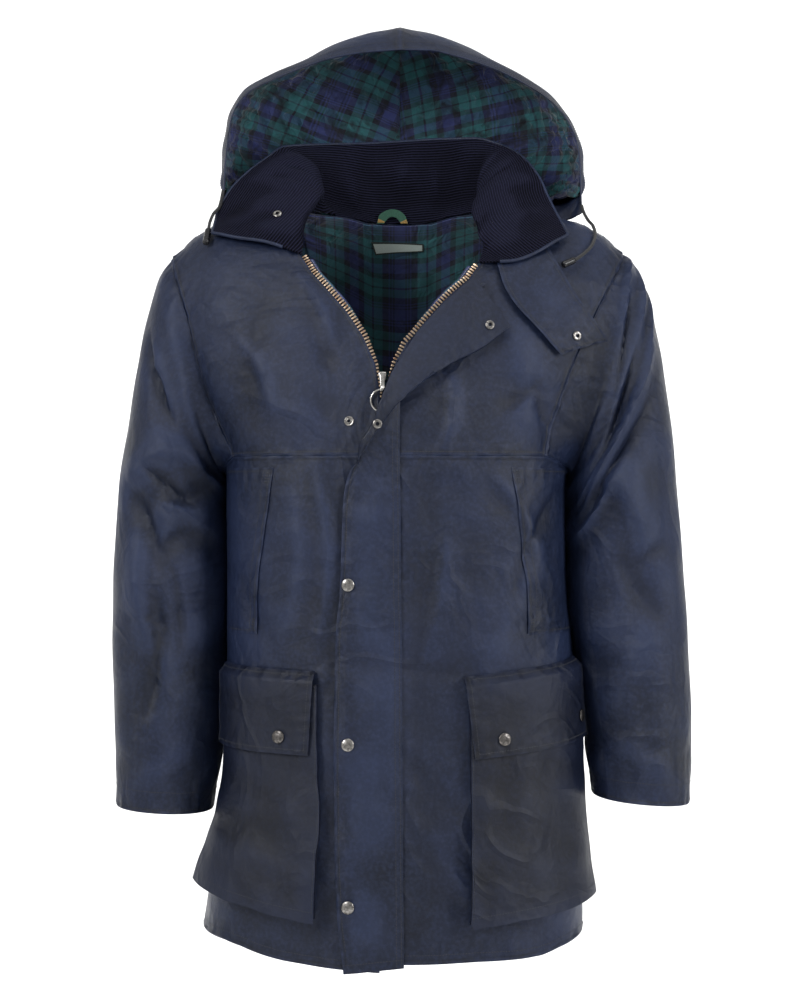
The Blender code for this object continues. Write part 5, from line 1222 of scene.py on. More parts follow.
def skinned(name, rings, made, nodes, uvs=None, body="garment", capped=True, sharp=40.0):
    """A closed surface through rings of points, capped at its ends or open."""
    rings = np.array(rings)
    count, around = rings.shape[:2]
    uvs = np.zeros((count, around + 1, 2)) if uvs is None else np.array(uvs)
    faces, corners = [], []
    for i in range(count - 1):
        for j in range(around):
            k = (j + 1) % around
            faces.append((i * around + j, i * around + k, (i + 1) * around + k, (i + 1) * around + j))
            corners += [uvs[i, j], uvs[i, j + 1], uvs[i + 1, j + 1], uvs[i + 1, j]]
    if capped:
        for i, order in ((0, range(around - 1, -1, -1)), (count - 1, range(around))):
            faces.append([i * around + j for j in order])
            corners += [uvs[i, j] for j in order]
    points = rings.reshape(-1, 3)
    a, b, c = (points[[face[k] for face in faces]] - points.mean(axis=0) for k in range(3))
    if (a * np.cross(b, c)).sum() < 0:
        faces = [f[::-1] for f in faces]
        corners = reverse_corners(corners, faces)
    mesh = mesh_of(name, points, faces, [made], corners, sharp=sharp)
    return link_to_scene(name, mesh, body, nodes)


def reverse_corners(corners, faces):
    result, start = [], 0
    for face in faces:
        result += corners[start : start + len(face)][::-1]
        start += len(face)
    return result


def lathe(name, profile, centre, axis, made, node, around, hollow=False):
    """A body turned about an axis from radius and height pairs; hollow joins its last ring to its first."""
    axis, side, up = frame_of(axis)
    angles = np.linspace(0, 2 * np.pi, around, endpoint=False)
    circle = np.cos(angles)[:, None] * side + np.sin(angles)[:, None] * up
    profile = list(profile) + ([profile[0]] if hollow else [])
    rings = [centre + r * circle + h * axis for r, h in profile]
    turns = np.linspace(0, 1, around + 1)
    uvs = [[(0.04 * t, 0.001 * k) for t in turns] for k in range(len(profile))]
    return skinned(name, rings, made, (node,), uvs, capped=not hollow, sharp=50.0)


STITCH_PITCH = 0.0034
LOOP_STITCH_PITCH = 0.0020
STITCH_LENGTH = 0.0025
STITCH_WIDTH = 0.0009
STITCH_HEIGHT = 0.00045


def sew(name, rows, made, pitch=STITCH_PITCH):
    """Rows of stitches: each a small roof of thread lying along its row."""
    points, faces = [], []
    for line, out in rows:
        length = lengths(line)
        for start in np.arange(pitch * 0.5, length[-1] - pitch * 0.5, pitch):
            head, tail = (on_points(start + past, length, line) for past in (0, STITCH_LENGTH))
            up = unit(on_points(start, length, out))
            way = unit(tail - head)
            side = np.cross(way, up) * STITCH_WIDTH / 2
            inset = way * STITCH_WIDTH * 0.8
            first = len(points)
            points += [head - side, head + side, tail + side, tail - side]
            points += [head + inset + up * STITCH_HEIGHT, tail - inset + up * STITCH_HEIGHT]
            a, b, c, d, e, f = range(first, first + 6)
            faces += [(a, b, e), (b, c, f, e), (c, d, f), (d, a, e, f), (a, d, c, b)]
    link_to_scene(name, mesh_of(name, points, faces, [made], sharp=60.0), "garment")


# ---------------------------------------------------------------- Materials


def add(tree, kind, inputs=(), out=0, **settings):
    """Adds a shader node; each input takes a value or another node's output. Gives the node's output."""
    node = tree.nodes.new("ShaderNode" + kind)
    for name, value in settings.items():
        setattr(node, name, value)
    for name, value in dict(inputs).items():
        if isinstance(value, bpy.types.NodeSocket):
            tree.links.new(value, node.inputs[name])
        else:
            node.inputs[name].default_value = value
    return node.outputs[out]


def begin(name, **constants):
    """A material, its node tree and its shader, whose plain values are set on its own sockets."""
    made = bpy.data.materials.new(name)
    made.use_nodes = True
    shader = made.node_tree.nodes["Principled BSDF"]
    for socket, value in constants.items():
        shader.inputs[socket.replace("_", " ")].default_value = value
    return made, made.node_tree, shader.inputs


def noise(tree, place, size, detail=2.0, distortion=0.0):
    """Cloudy patches about so many metres across."""
    inputs = {"Vector": place, "Scale": 0.5 / size, "Detail": detail, "Distortion": distortion}
    return add(tree, "TexNoise", inputs)


def ranged(tree, by, low, high, first=0.0, last=1.0):
    """Values from first to last where another runs from low to high."""
    return add(tree, "MapRange", {0: by, 1: low, 2: high, 3: first, 4: last})


def maths(tree, operation, *values):
    return add(tree, "Math", dict(enumerate(values)), operation=operation)


def wear_and_shade_mark(tree):
    return add(tree, "Attribute", attribute_name="wear_and_shade", out=2)


def cloth_place(tree):
    return add(tree, "UVMap", uv_map="cloth")


def solid_place(tree):
    return add(tree, "TexCoord", out=3)


def tinted(tree, tone, by, low, high, share, code):
    """The tone with up to some share of another colour over it, where a value runs from low to high."""
    amount = ranged(tree, by, low, high, last=share)
    return add(tree, "Mix", {0: amount, 6: tone, 7: colour(code)}, out=2, data_type="RGBA")


def relief(tree, sockets, *layers):
    """Bumps laid one over another onto the shader, each a height, its strength and its depth in metres."""
    normal = None
    for height, strength, depth in layers:
        inputs = {"Height": height, "Strength": strength, "Distance": depth}
        if normal is not None:
            inputs["Normal"] = normal
        normal = add(tree, "Bump", inputs)
    tree.links.new(normal, sockets["Normal"])


def weave(tree, place, pitch):
    """Plain weave: threads up and across, so many metres apart."""
    threads = [
        add(tree, "TexWave", {"Vector": place, "Scale": WAVE_REPEAT / pitch}, out=1, bands_direction=way)
        for way in ("X", "Y")
    ]
    return maths(tree, "MULTIPLY", *threads)


# A wave texture repeats each 2 pi / 20 of its coordinate
WAVE_REPEAT = 2 * math.pi / 20


def waxed_cotton(name, dark, light, worn, shadow):
    """Waxed cotton: tight plain weave soaked in wax and pressed. The wax fills the weave, so it takes a broad
    soft gloss;
    where the cloth stands out it is painted paler, partly as wear and partly as painted highlight, and in its
    creases and stitch grooves it is painted darker as painted shade."""
    made, tree, sockets = begin(name, IOR=1.48, Specular_IOR_Level=0.30)
    solid, wear_and_shade = solid_place(tree), wear_and_shade_mark(tree)
    patches = noise(tree, solid, 0.060, 5.0)
    flecks = noise(tree, solid, 0.0022, 3.0)
    tone = tinted(tree, colour(dark), patches, 0.35, 0.65, 1.0, light)
    tone = tinted(tree, tone, flecks, 0.42, 0.70, 0.30, worn)
    # Paler where the cloth stands out (wear and painted highlight), and painted shade where it lies in and
    # along the stitches
    tone = tinted(tree, tone, wear_and_shade, 0.52, 1.0, 0.80, worn)
    tone = tinted(tree, tone, wear_and_shade, 0.48, 0.0, 0.85, shadow)
    tree.links.new(tone, sockets["Base Color"])
    tree.links.new(ranged(tree, patches, 0.3, 0.7, 0.34, 0.50), sockets["Roughness"])
    # The real threads lie 0.5 mm apart; they are drawn at 1.1 mm so that they show
    threads = weave(tree, cloth_place(tree), 0.0011)
    off = maths(tree, "ABSOLUTE", maths(tree, "SUBTRACT", noise(tree, solid, 0.075, 2.5, 1.2), 0.5))
    pressed = ranged(tree, off, 0.0, 0.075, 1.0, 0.0)
    rumple = noise(tree, solid, 0.034, 3.0, 0.8)
    crumple = noise(tree, solid, 0.011, 4.0, 0.5)
    layers = (pressed, 0.40, 0.0030), (rumple, 0.60, 0.006), (crumple, 0.50, 0.0024), (threads, 0.40, 0.0005)
    relief(tree, sockets, *layers)
    return made


def needlecord(name):
    """Corduroy of cotton: cut pile in ribs, with painted shade in their furrows and a painted highlight on
    their tips.
    """
    made, tree, sockets = begin(
        name, Roughness=0.95, IOR=1.45, Specular_IOR_Level=0.10, Sheen_Weight=0.05, Sheen_Roughness=0.35
    )
    sockets["Sheen Tint"].default_value = colour("#6a6f9a")
    cloth, wear_and_shade = cloth_place(tree), wear_and_shade_mark(tree)
    # The real ribs lie 3.2 mm apart; they are drawn at 3.8 mm so that they show
    inputs = {"Vector": cloth, "Scale": WAVE_REPEAT / 0.0038, "Distortion": 0.25, "Detail": 1.0}
    rib = add(tree, "TexWave", inputs, out=1, bands_direction="X")
    pile = noise(tree, cloth, 0.0014)
    # The ribs' colour: painted shade in the furrows, painted highlight on the tips
    tone = tinted(tree, colour("#010103"), rib, 0.40, 0.95, 1.0, "#1c1d30")
    tone = tinted(tree, tone, pile, 0.4, 0.7, 0.25, "#222338")
    # Painted shade where the collar lies in, and paler where it stands out, as wear and painted highlight
    tone = tinted(tree, tone, wear_and_shade, 0.50, 0.0, 0.85, "#040409")
    tone = tinted(tree, tone, wear_and_shade, 0.55, 1.0, 0.45, "#34364e")
    tree.links.new(tone, sockets["Base Color"])
    relief(tree, sockets, (rib, 1.0, 0.0022), (pile, 0.4, 0.0004))
    return made


# The tartan's stripes from one navy middle to the next, in millimetres
TARTAN_GREEN = "#235a5e"
TARTAN_NAVY = "#2a3264"
TARTAN_BLACK = "#11131d"
TARTAN_STRIPES = (
    (7.0, TARTAN_NAVY),
    (2.0, TARTAN_BLACK),
    (2.0, TARTAN_NAVY),
    (2.0, TARTAN_BLACK),
    (2.0, TARTAN_NAVY),
    (8.0, TARTAN_BLACK),
    (11.5, TARTAN_GREEN),
    (2.5, TARTAN_BLACK),
    (11.5, TARTAN_GREEN),
    (8.0, TARTAN_BLACK),
    (6.5, TARTAN_NAVY),
)
TARTAN_HALF = sum(width for width, _ in TARTAN_STRIPES) / 1000


def stripes(tree, across):
    """The colours of one set of threads, mirrored at each navy middle."""
    place = maths(tree, "DIVIDE", maths(tree, "PINGPONG", across, TARTAN_HALF), TARTAN_HALF)
    ramp = add(tree, "ValToRGB", {0: place})
    band = ramp.node.color_ramp
    band.interpolation = "CONSTANT"
    while len(band.elements) > 1:
        band.elements.remove(band.elements[-1])
    at = 0.0
    for k, (width, code) in enumerate(TARTAN_STRIPES):
        stop = band.elements[0] if k == 0 else band.elements.new(at)
        stop.position = at
        stop.color = colour(code)
        at += width / 1000 / TARTAN_HALF
    return ramp


def tartan(name, pucker, darker_patches):
    """Tartan of brushed cotton twill: navy, green and black yarns crossing, a soft nap and no gloss."""
    made, tree, sockets = begin(name, Roughness=0.92, IOR=1.45, Sheen_Weight=0.20, Sheen_Roughness=0.5)
    solid = solid_place(tree)
    across = add(tree, "SeparateXYZ", {0: cloth_place(tree)})
    down = across.node.outputs[1]
    # The real twill lines lie 0.8 mm apart; they are drawn at 1.8 mm so that they show
    twill = maths(tree, "MULTIPLY", maths(tree, "ADD", across, down), 2 * math.pi / 0.0018)
    twill = maths(tree, "SINE", twill)
    share = ranged(tree, twill, -1.0, 1.0, 0.34, 0.66)
    yarns = {0: share, 6: stripes(tree, across), 7: stripes(tree, down)}
    tone = add(tree, "Mix", yarns, out=2, data_type="RGBA")
    tone = tinted(tree, tone, noise(tree, solid, 0.0026, 4.0), 0.35, 0.75, 0.30, "#39435e")
    # Painted shade where the lining lies in, in its creases and puckers
    tone = tinted(tree, tone, wear_and_shade_mark(tree), 0.45, 0.0, 0.70, "#090a12")
    # Darker cloudy patches, as strong as the share given
    tone = tinted(tree, tone, noise(tree, solid, 0.020, 4.0, 1.5), 0.50, 0.30, darker_patches, "#0c0e18")
    tree.links.new(tone, sockets["Base Color"])
    puckers = noise(tree, solid, pucker, 3.0, 1.2)
    relief(tree, sockets, (puckers, 0.80, pucker * 0.6), (twill, 0.10, 0.0003))
    return made


def woven(name, low, high, pitch, roughness=0.85, strength=0.3, sheen=0.15):
    """Small woven or plaited trim of two close tones of polyester yarn, a little bright on its crossings."""
    made, tree, sockets = begin(name, Roughness=roughness, IOR=1.5, Sheen_Weight=sheen)
    threads = weave(tree, cloth_place(tree), pitch)
    tone = tinted(tree, colour(low), threads, 0.0, 1.0, 1.0, high)
    tone = tinted(tree, tone, noise(tree, solid_place(tree), 0.001), 0.3, 0.7, 0.5, low)
    tree.links.new(tone, sockets["Base Color"])
    relief(tree, sockets, (threads, strength, 0.0004))
    return made


def plated(name, clean, dull, gloss, worn, depth=0.05):
    """Stamped or cast metal, plated and polished, then clouded and finely scratched by handling."""
    made, tree, sockets = begin(name, Metallic=1.0)
    solid = solid_place(tree)
    cloud = noise(tree, solid, 0.0018, 4.0)
    tree.links.new(tinted(tree, colour(clean), cloud, 0.38, 0.66, 1.0, dull), sockets["Base Color"])
    tree.links.new(ranged(tree, cloud, 0.35, 0.65, gloss, worn), sockets["Roughness"])
    relief(tree, sockets, (noise(tree, solid, 0.0004), depth, 0.0002))
    return made


def glossy_nylon(name):
    """Nylon moulded in a polished tool: hard small highlights, faint sink marks and fine scuffs."""
    made, tree, sockets = begin(name, IOR=1.53)
    cloud = noise(tree, solid_place(tree), 0.002)
    tree.links.new(tinted(tree, colour("#08080a"), cloud, 0.3, 0.7, 1.0, "#17171b"), sockets["Base Color"])
    tree.links.new(ranged(tree, cloud, 0.3, 0.7, 0.16, 0.32), sockets["Roughness"])
    relief(tree, sockets, (cloud, 0.06, 0.0005))
    return made


def studio_floor(name):
    """Painted concrete, rolled matt white: a faint orange-peel and cloudy patches."""
    made, tree, sockets = begin(name, Roughness=0.9)
    solid = solid_place(tree)
    tone = tinted(tree, colour("#f6f6f5"), noise(tree, solid, 0.4), 0.4, 0.6, 1.0, "#fbfbfb")
    tree.links.new(tone, sockets["Base Color"])
    relief(tree, sockets, (noise(tree, solid, 0.004), 0.1, 0.0005))
    return made


def make_materials():
    # Waxed cotton's colours: its own dark and light tones, the paler tone of wear and painted highlight on
    # what stands out, and the painted shade in creases
    return {
        "waxed": waxed_cotton("waxed cotton", "#0e1526", "#161f37", "#2b3653", "#02040a"),
        "pocket": waxed_cotton("waxed cotton, newly waxed", "#080c18", "#0e1425", "#1c243b", "#020307"),
        "collar": needlecord("corduroy"),
        "tartan": tartan("brushed tartan", 0.020, 0.0),
        "quilt": tartan("quilted tartan", 0.014, 0.90),
        "lining": woven("navy taffeta", "#10131d", "#1b2030", 0.0012, roughness=0.6),
        "thread": woven("navy thread", "#0c1220", "#2a3550", 0.0006, roughness=0.6),
        "pale_thread": woven("pale thread", "#6d7686", "#98a1ad", 0.0006, roughness=0.6),
        "tape": woven("zip tape", "#161b2a", "#262c40", 0.0012),
        "label": woven("damask label", "#a9b6b0", "#ccd6d0", 0.0011, sheen=0.3),
        "label_edge": woven("label border", "#1c2724", "#2f3d38", 0.0011),
        "green": woven("green grosgrain", "#12382b", "#2c6a52", 0.0014),
        "gold": woven("gold thread", "#7a5d1f", "#d3ad55", 0.0008, roughness=0.45),
        "braid": woven("black braid", "#060608", "#1d1d22", 0.0016, roughness=0.7, strength=0.8),
        "brass": plated("brass", "#d8c3a8", "#8f6f58", 0.24, 0.42),
        "nickel": plated("nickel plate", "#cfcdc9", "#8f8d8a", 0.16, 0.34),
        "snap": plated("worn nickel plate", "#a5a29e", "#5c5a58", 0.22, 0.42, 0.1),
        "silver": plated("antique silver plate", "#7a7673", "#3c3a39", 0.24, 0.46, 0.2),
        "nylon": glossy_nylon("glossy nylon"),
    }


# ---------------------------------------------------------------- Fine grids

# How far in from a seam the finer rows lie
SEAM_STEPS = (0.0014, 0.0030, 0.0046, 0.0062, 0.0080, 0.0105)


def places(count, steps, size, first=False, last=False):
    """Fractional places along so many nodes that lie size apart, closer together beside a seam."""
    close = np.array(SEAM_STEPS) / size
    inner = np.linspace(0, count, count * steps + 1)[1:-1]
    if first:
        inner = inner[inner > close[-1] * 1.15]
    if last:
        inner = inner[inner < count - close[-1] * 1.15]
    start = np.concatenate([[0.0], close if first else []])
    end = np.concatenate([count - close[::-1] if last else [], [float(count)]])
    return np.concatenate([start, inner, end])


YOKE_STEPS = places(YOKE_ROWS, 5, 0.020, last=True)
YOKE_ACROSS = places(YOKE_COLUMNS, 5, 0.024, True, True)
DOWN_STEPS = places(FRONT_ROWS, 11, 0.064, True, True)
DOWN_COLUMNS = places(YOKE_COLUMNS + ARM_COLUMNS, 5, 0.025, True, True)
BACK_ACROSS = places(BACK_COLUMNS, 6, 0.027, last=True)
UNDER_ARM = DOWN_COLUMNS[DOWN_COLUMNS >= YOKE_COLUMNS] - YOKE_COLUMNS
BACK_DOWN = np.concatenate([places(BACK_COLUMNS, 6, 0.027)[:-1], UNDER_ARM + BACK_COLUMNS])


def panel(side, face, nodes, rows, columns):
    """The points of a panel of the shell, and the ways out of it."""
    turns, levels = (finer(part, rows, columns) for part in nodes)
    return skin(side, face, turns, levels), outward(side, face, turns, levels)


# What stands out of the cloth by this much is marked fully pale, as wear and painted highlight, and what lies
# in by it fully dark, as painted shade
WEAR_AND_SHADE_HEIGHT = 0.0040
WEAR_AND_SHADE_REACH = 0.022


def softened(grid, axis, steps):
    """The grid with each point moved to the middle of its neighbours so many steps each way."""
    first, last = (np.repeat(np.take(grid, [k], axis), steps, axis) for k in (0, -1))
    padded = np.concatenate([first, grid, last], axis)
    total = np.cumsum(np.concatenate([np.zeros_like(np.take(padded, [0], axis)), padded], axis), axis)
    width = 2 * steps + 1
    count = grid.shape[axis]
    return (np.take(total, range(width, width + count), axis) - np.take(total, range(count), axis)) / width


# How far the relief moves the marks of wear and painted light to either side, how dark the painted shade in
# the stitches' groove and how pale the worn folded edge beside it are and how wide, and how strong the
# patches inside are and how soon they fade
WEAR_AND_SHADE_SWING = 0.22
GROOVE_SHADE, GROOVE_WIDTH = 0.34, 0.0013
FOLD_PALE, FOLD_WIDTH = 0.22, 0.0016
PATCHES, PATCH_FADE = 0.12, 0.014


def wear_and_shade_marks(grid, normals, paler_by=0.0, seams=()):
    """Marks of wear and painted light: where the cloth stands out it is paler, as wear and painted highlight,
    and where it lies in it is darker, as painted shade: 0.5 is neither.
    """
    sizes = (np.median(np.linalg.norm(np.diff(grid, axis=axis), axis=-1)) for axis in (0, 1))
    steps = [max(2, int(WEAR_AND_SHADE_REACH / size)) for size in sizes]
    soft = grid
    for _ in range(2):
        for axis in (0, 1):
            soft = softened(soft, axis, min(steps[axis], grid.shape[axis] // 3))
    out = ((grid - soft) * normals).sum(axis=-1)
    out = out - np.median(out)
    edge = np.minimum.reduce([edge_gap(grid, e) for e in ("top", "bottom", "left", "right")])
    out = out * np.clip(edge / (WEAR_AND_SHADE_REACH * 1.5), 0, 1)
    marks = 0.5 + paler_by + np.clip(out / WEAR_AND_SHADE_HEIGHT / 2, -WEAR_AND_SHADE_SWING, WEAR_AND_SHADE_SWING)
    for edge in seams:
        gap = edge_gap(grid, edge)
        run = reach(grid, 1 if edge in ("top", "bottom") else 0)
        patchy = 0.75 + 0.35 * unevenness(run, gap, 0.018, 77)
        # Painted shade along the stitches' groove, and wear that pales the folded edge
        marks = marks - GROOVE_SHADE * patchy * np.exp(-(((gap - ZIP_STITCH) / GROOVE_WIDTH) ** 2))
        marks = marks + FOLD_PALE * patchy * np.exp(-((gap / FOLD_WIDTH) ** 2))
        marks = marks + PATCHES * unevenness(run, gap * 0.4, 0.011, 78) * np.exp(-gap / PATCH_FADE)
    return np.clip(marks, 0, 1)


# A seam's turned allowance lifts the cloth, its stitches draw it in, and it puckers along them and for a way
# into the cloth
ALLOWANCE = 0.0072
ALLOWANCE_LIFT = 0.0007
ALLOWANCE_SLOPE = 0.0022
STITCH_DRAW = 0.0007
PUCKER = 0.0012
PUCKER_SIZE = 0.013
PUCKER_REACH = 0.020


def sewn(grid, normals, edges, strength=1.0, seed=5):
    """The cloth shaped by the seams along the named edges."""
    lift = np.zeros(grid.shape[:2])
    for k, edge in enumerate(edges):
        gap = edge_gap(grid, edge)
        run = reach(grid, 1 if edge in ("top", "bottom") else 0)
        turned = smooth((ALLOWANCE - gap) / ALLOWANCE_SLOPE) * smooth(gap / FOLD_WIDTH + 0.2)
        lift = lift + ALLOWANCE_LIFT * turned
        lift = lift - STITCH_DRAW * np.exp(-(((gap - ZIP_STITCH) / GROOVE_WIDTH) ** 2))
        ripple = unevenness(run, gap * 0.3, PUCKER_SIZE, seed + k) * np.exp(-gap / PUCKER_REACH)
        lift = lift + PUCKER * ripple * smooth(gap / 0.002)
    return grid + normals * (lift * strength)[..., None]


def resampled(grid, rows, columns):
    """The grid read at fractional rows and columns on smooth curves."""
    tall = curved(grid, np.arange(float(len(grid))), rows)
    return curved(tall.swapaxes(0, 1), np.arange(float(grid.shape[1])), columns).swapaxes(0, 1)


# Creases and dents finer than those of the solids: across, height, across, height, width, height
FINE_FOLDS = {
    "front": folds(
        (-122, -74, -79, -155, 8.5, 5.3),
        (-92, -165, -80, -188, 7.6, -4.6),
        (-190, -150, -150, -235, 10.2, 4.2),
        (-100, -215, -60, -262, 12, -2),
        (-102, -300, -94, -500, 11, 4.9),
        (-40, -420, -36, -720, 30, 2),
        (-190, -420, -150, -520, 14, -2),
        (60, -195, 54, -275, 10.2, 5.7),
        (120, -235, 160, -205, 9.3, -4.9),
        (160, -205, 178, -262, 9.3, -4.2),
        (45, -300, 24, -545, 13, 2.4),
        (0, -530, 82, -545, 11, -2.6),
        (12, -650, 82, -712, 10, -2.4),
        (0, -695, 95, -850, 14, 2),
        (110, -310, 165, -430, 11, 4.2),
        (185, -330, 130, -480, 10.2, -4.2),
        (-10, -760, -120, -860, 20, -1.4),
    ),
    "back": folds(
        (-150, -80, -60, -200, 14, 2.4),
        (140, -60, 60, -190, 11.9, 4.6),
        (-40, -110, 50, -130, 12, -2),
        (-180, -330, -120, -470, 11.9, 4.6),
        (170, -340, 130, -500, 11.9, -4.6),
        (-60, -420, -20, -640, 15, -2.2),
        (60, -460, 75, -700, 15, 2.2),
        (-170, -600, -60, -740, 16, 1.8),
        (180, -620, 80, -800, 16, -1.8),
        (-10, -700, -30, -860, 14, 1.8),
    ),
}
DENT = 0.0010
DENT_SIZE = 0.060
# How much deeper the worn sleeves crease than the solids do
SLEEVE_DEPTH = 1.7
SLEEVE_BULGE = 0.0055

# ---------------------------------------------------------------- Body, sleeves, collar and hood


# The edges of each panel that seams shape, and its rows of stitches
FRONT_SEAMS = {"yoke": ("bottom", "left", "right", "top"), "front": ("top", "left", "right", "bottom")}
FRONT_STITCHES = {
    "yoke": (("bottom", SEAM_STITCH), ("right", SEAM_STITCH), ("left", ZIP_STITCH), ("top", SEAM_STITCH)),
    "front": (("bottom", HEM_STITCH), ("left", ZIP_STITCH), ("right", SEAM_STITCH)),
}
BACK_SEAMS = {"back_yoke": ("bottom", "left", "right"), "back": ("top", "left", "right", "bottom")}


def seamed(node, grid, normals, edges, cloth):
    """A waxed cotton panel, shaped by the seams along its edges, with their wear and painted shade; gives its
    seen face.
    """
    shaped = sewn(grid, normals, edges)
    wear_and_shade = wear_and_shade_marks(shaped, normals, 0.0, edges)
    shell(node, shaped, normals, WAXED, cloth["waxed"], wear_and_shade=wear_and_shade, inside=cloth["tartan"])
    return shaped


def make_body(cloth, rows):
    """The yokes, fronts and back; gives each side's panels."""
    panels = {}
    grids = back_yoke_nodes()
    for side in SIDE:
        front = lower_nodes(side, "front", EDGE[side]["out"][-1], YOKE_COLUMNS)
        back = lower_nodes(side, "back", None, BACK_COLUMNS)
        panels[side] = {
            "yoke": panel(side, "front", yoke_nodes(side), YOKE_STEPS, YOKE_ACROSS),
            "front": panel(side, "front", front, DOWN_STEPS, DOWN_COLUMNS),
            "back_yoke": panel(side, "back", grids[side], YOKE_STEPS, BACK_ACROSS),
            "back": panel(side, "back", back, DOWN_STEPS, BACK_DOWN),
        }
        for name, edges in FRONT_SEAMS.items():
            points, normals = panels[side][name]
            shaped = seamed(name + "_" + side, points, normals, edges, cloth)
            rows += [beside(shaped, normals, edge, gap) for edge, gap in FRONT_STITCHES[name]]
    for name, edges in BACK_SEAMS.items():
        halves = zip(panels["right"][name], panels["left"][name])
        points, normals = (both_sides(*pair) for pair in halves)
        shaped = seamed(name, points, normals, edges, cloth)
        if name == "back_yoke":
            rows += [beside(shaped, normals, edge, SEAM_STITCH) for edge in edges]
            make_back_lining(points, normals, cloth)
        else:
            rows.append(beside(shaped, normals, "bottom", HEM_STITCH))
    return panels


def make_back_lining(points, normals, cloth):
    """The tartan inside the back yoke, gathered a little under the collar and behind the label."""
    wide = np.concatenate([-BACK_ACROSS[::-1], BACK_ACROSS[1:]]) + BACK_COLUMNS
    columns = (wide >= LINING_COLUMNS.start) & (wide <= 2 * BACK_COLUMNS + LINING_COLUMNS.stop)
    rows = YOKE_STEPS <= YOKE_ROWS - 1
    face, out = points[rows][:, columns], normals[rows][:, columns]
    seen = face - out * (WAXED + LINING_OFF + LINING)
    x, z = seen[..., 0], seen[..., 2]
    depth = creases(BACK_LINING_FOLDS, x, z) + 0.0007 * (1 + unevenness(x, z, 0.035, 21))
    seen = seen - out * depth[..., None]
    wear_and_shade = wear_and_shade_marks(seen, -out)
    shell("back_lining", seen, -out, LINING, cloth["tartan"], wear_and_shade=wear_and_shade, cut=face)


# Gathers of the back lining: across, height, across, height, width, how far they stand in
BACK_LINING_FOLDS = folds(
    (-55, -30, -20, -60, 6, 2.2),
    (-10, -30, 5, -90, 7, 2.4),
    (30, -28, 20, -75, 6, 2.2),
    (50, -30, 62, -110, 8, 2),
    (-45, -70, -50, -160, 9, 1.8),
    (12, -110, 8, -190, 10, 1.6),
)

SLEEVE_MARKS = 31
TUCK_BACK = 0.0045
TUCK_IN = 0.0021
CUFF_STITCHES = (0.0050, 0.0260)
SLEEVE_RUNS = places(1, 104, SLEEVE_RUN, True, True)


def make_sleeve(side, body, cloth, rows):
    """A sleeve from the armhole of its panels down to the turned cuff."""
    loop = armhole_loop(*(body[side][name][0] for name in ("yoke", "front", "back_yoke", "back")))
    under = UNDER_ARM[1:]
    below = np.concatenate([ARM_COLUMNS - under[:-1][::-1], [ARM_COLUMNS]])
    marks = np.concatenate(
        [YOKE_STEPS, YOKE_ROWS + under, YOKE_ROWS + ARM_COLUMNS + below, SLEEVE_MARKS - YOKE_STEPS[1:][::-1]]
    )
    grid, normals = sleeve_points(side, loop, SLEEVE_RUNS, marks)
    grid = sewn(grid, normals, ("top", "bottom"))
    wear_and_shade = wear_and_shade_marks(grid, normals, 0.0, ("top", "bottom"))
    # The head's seam allowance, turned in under the body's edge
    tucked = grid[0] - unit(grid[1] - grid[0]) * TUCK_BACK - normals[0] * TUCK_IN
    pairs = ((tucked, grid), (normals[0], normals), (wear_and_shade[0], wear_and_shade))
    points, ways, marks = (np.concatenate([first[None], rest]) for first, rest in pairs)
    shell(
        "sleeve_" + side, points, ways, WAXED, cloth["waxed"], closed=True, wear_and_shade=marks,
        inside=cloth["lining"],
    )
    rows += [beside(grid, normals, "bottom", gap) for gap in CUFF_STITCHES]


# The collar's places along and up it, its middle one, its uneven stand, and the binding round its edge
COLLAR_GRID = (169, 45)
COLLAR_MIDDLE = (84, 22)
COLLAR_SWELL, COLLAR_SWELL_SIZE = 0.0014, 0.045
BINDING_FIRST = 8
BINDING_RADIUS = 0.0021
BINDING_PLACES = 260


def make_collar(cloth):
    runs, shares = (np.linspace(0, 1, count) for count in COLLAR_GRID)
    grid = collar_points(runs, shares)
    normals = facing(unit(mitred(grid)), COLLAR_MIDDLE, FACE["front"])
    across, down = reach(grid, 1), reach(grid, 0)
    away = np.minimum(edge_gap(grid, "left"), edge_gap(grid, "right"))
    swell = unevenness(down[:, COLLAR_MIDDLE[1]][:, None], across, COLLAR_SWELL_SIZE, 31)
    lift = COLLAR_SWELL * swell * smooth(away / 0.02)
    lift = lift + creases(COLLAR_FOLDS, *np.broadcast_arrays(runs[:, None], shares * 0.12))
    grid = grid + normals * lift[..., None]
    shell("collar", grid, normals, CORDUROY, cloth["collar"], wear_and_shade=wear_and_shade_marks(grid, normals))
    middle = grid - normals * CORDUROY / 2
    edge = [middle[0, BINDING_FIRST:], middle[1:-1, -1], middle[-1, BINDING_FIRST:][::-1]]
    edge = along(np.concatenate(edge), BINDING_PLACES)
    tube("collar_binding", edge, BINDING_RADIUS, cloth["waxed"])


# Rolls of the collar: share along it, share up it by its height, the same again, width, height
COLLAR_FOLDS = (
    (0.13, 0.03, 0.16, 0.10, 0.012, 0.0022),
    (0.19, 0.03, 0.20, 0.09, 0.010, -0.0022),
    (0.27, 0.02, 0.28, 0.08, 0.012, 0.0024),
    (0.32, 0.02, 0.34, 0.09, 0.012, -0.0026),
    (0.41, 0.01, 0.40, 0.06, 0.010, 0.0018),
    (0.50, 0.01, 0.52, 0.07, 0.012, -0.0018),
    (0.58, 0.02, 0.57, 0.08, 0.010, 0.0020),
    (0.66, 0.01, 0.68, 0.09, 0.012, -0.0026),
    (0.73, 0.02, 0.72, 0.09, 0.012, 0.0024),
    (0.82, 0.03, 0.80, 0.10, 0.012, -0.0022),
    (0.88, 0.02, 0.88, 0.11, 0.012, 0.0020),
)


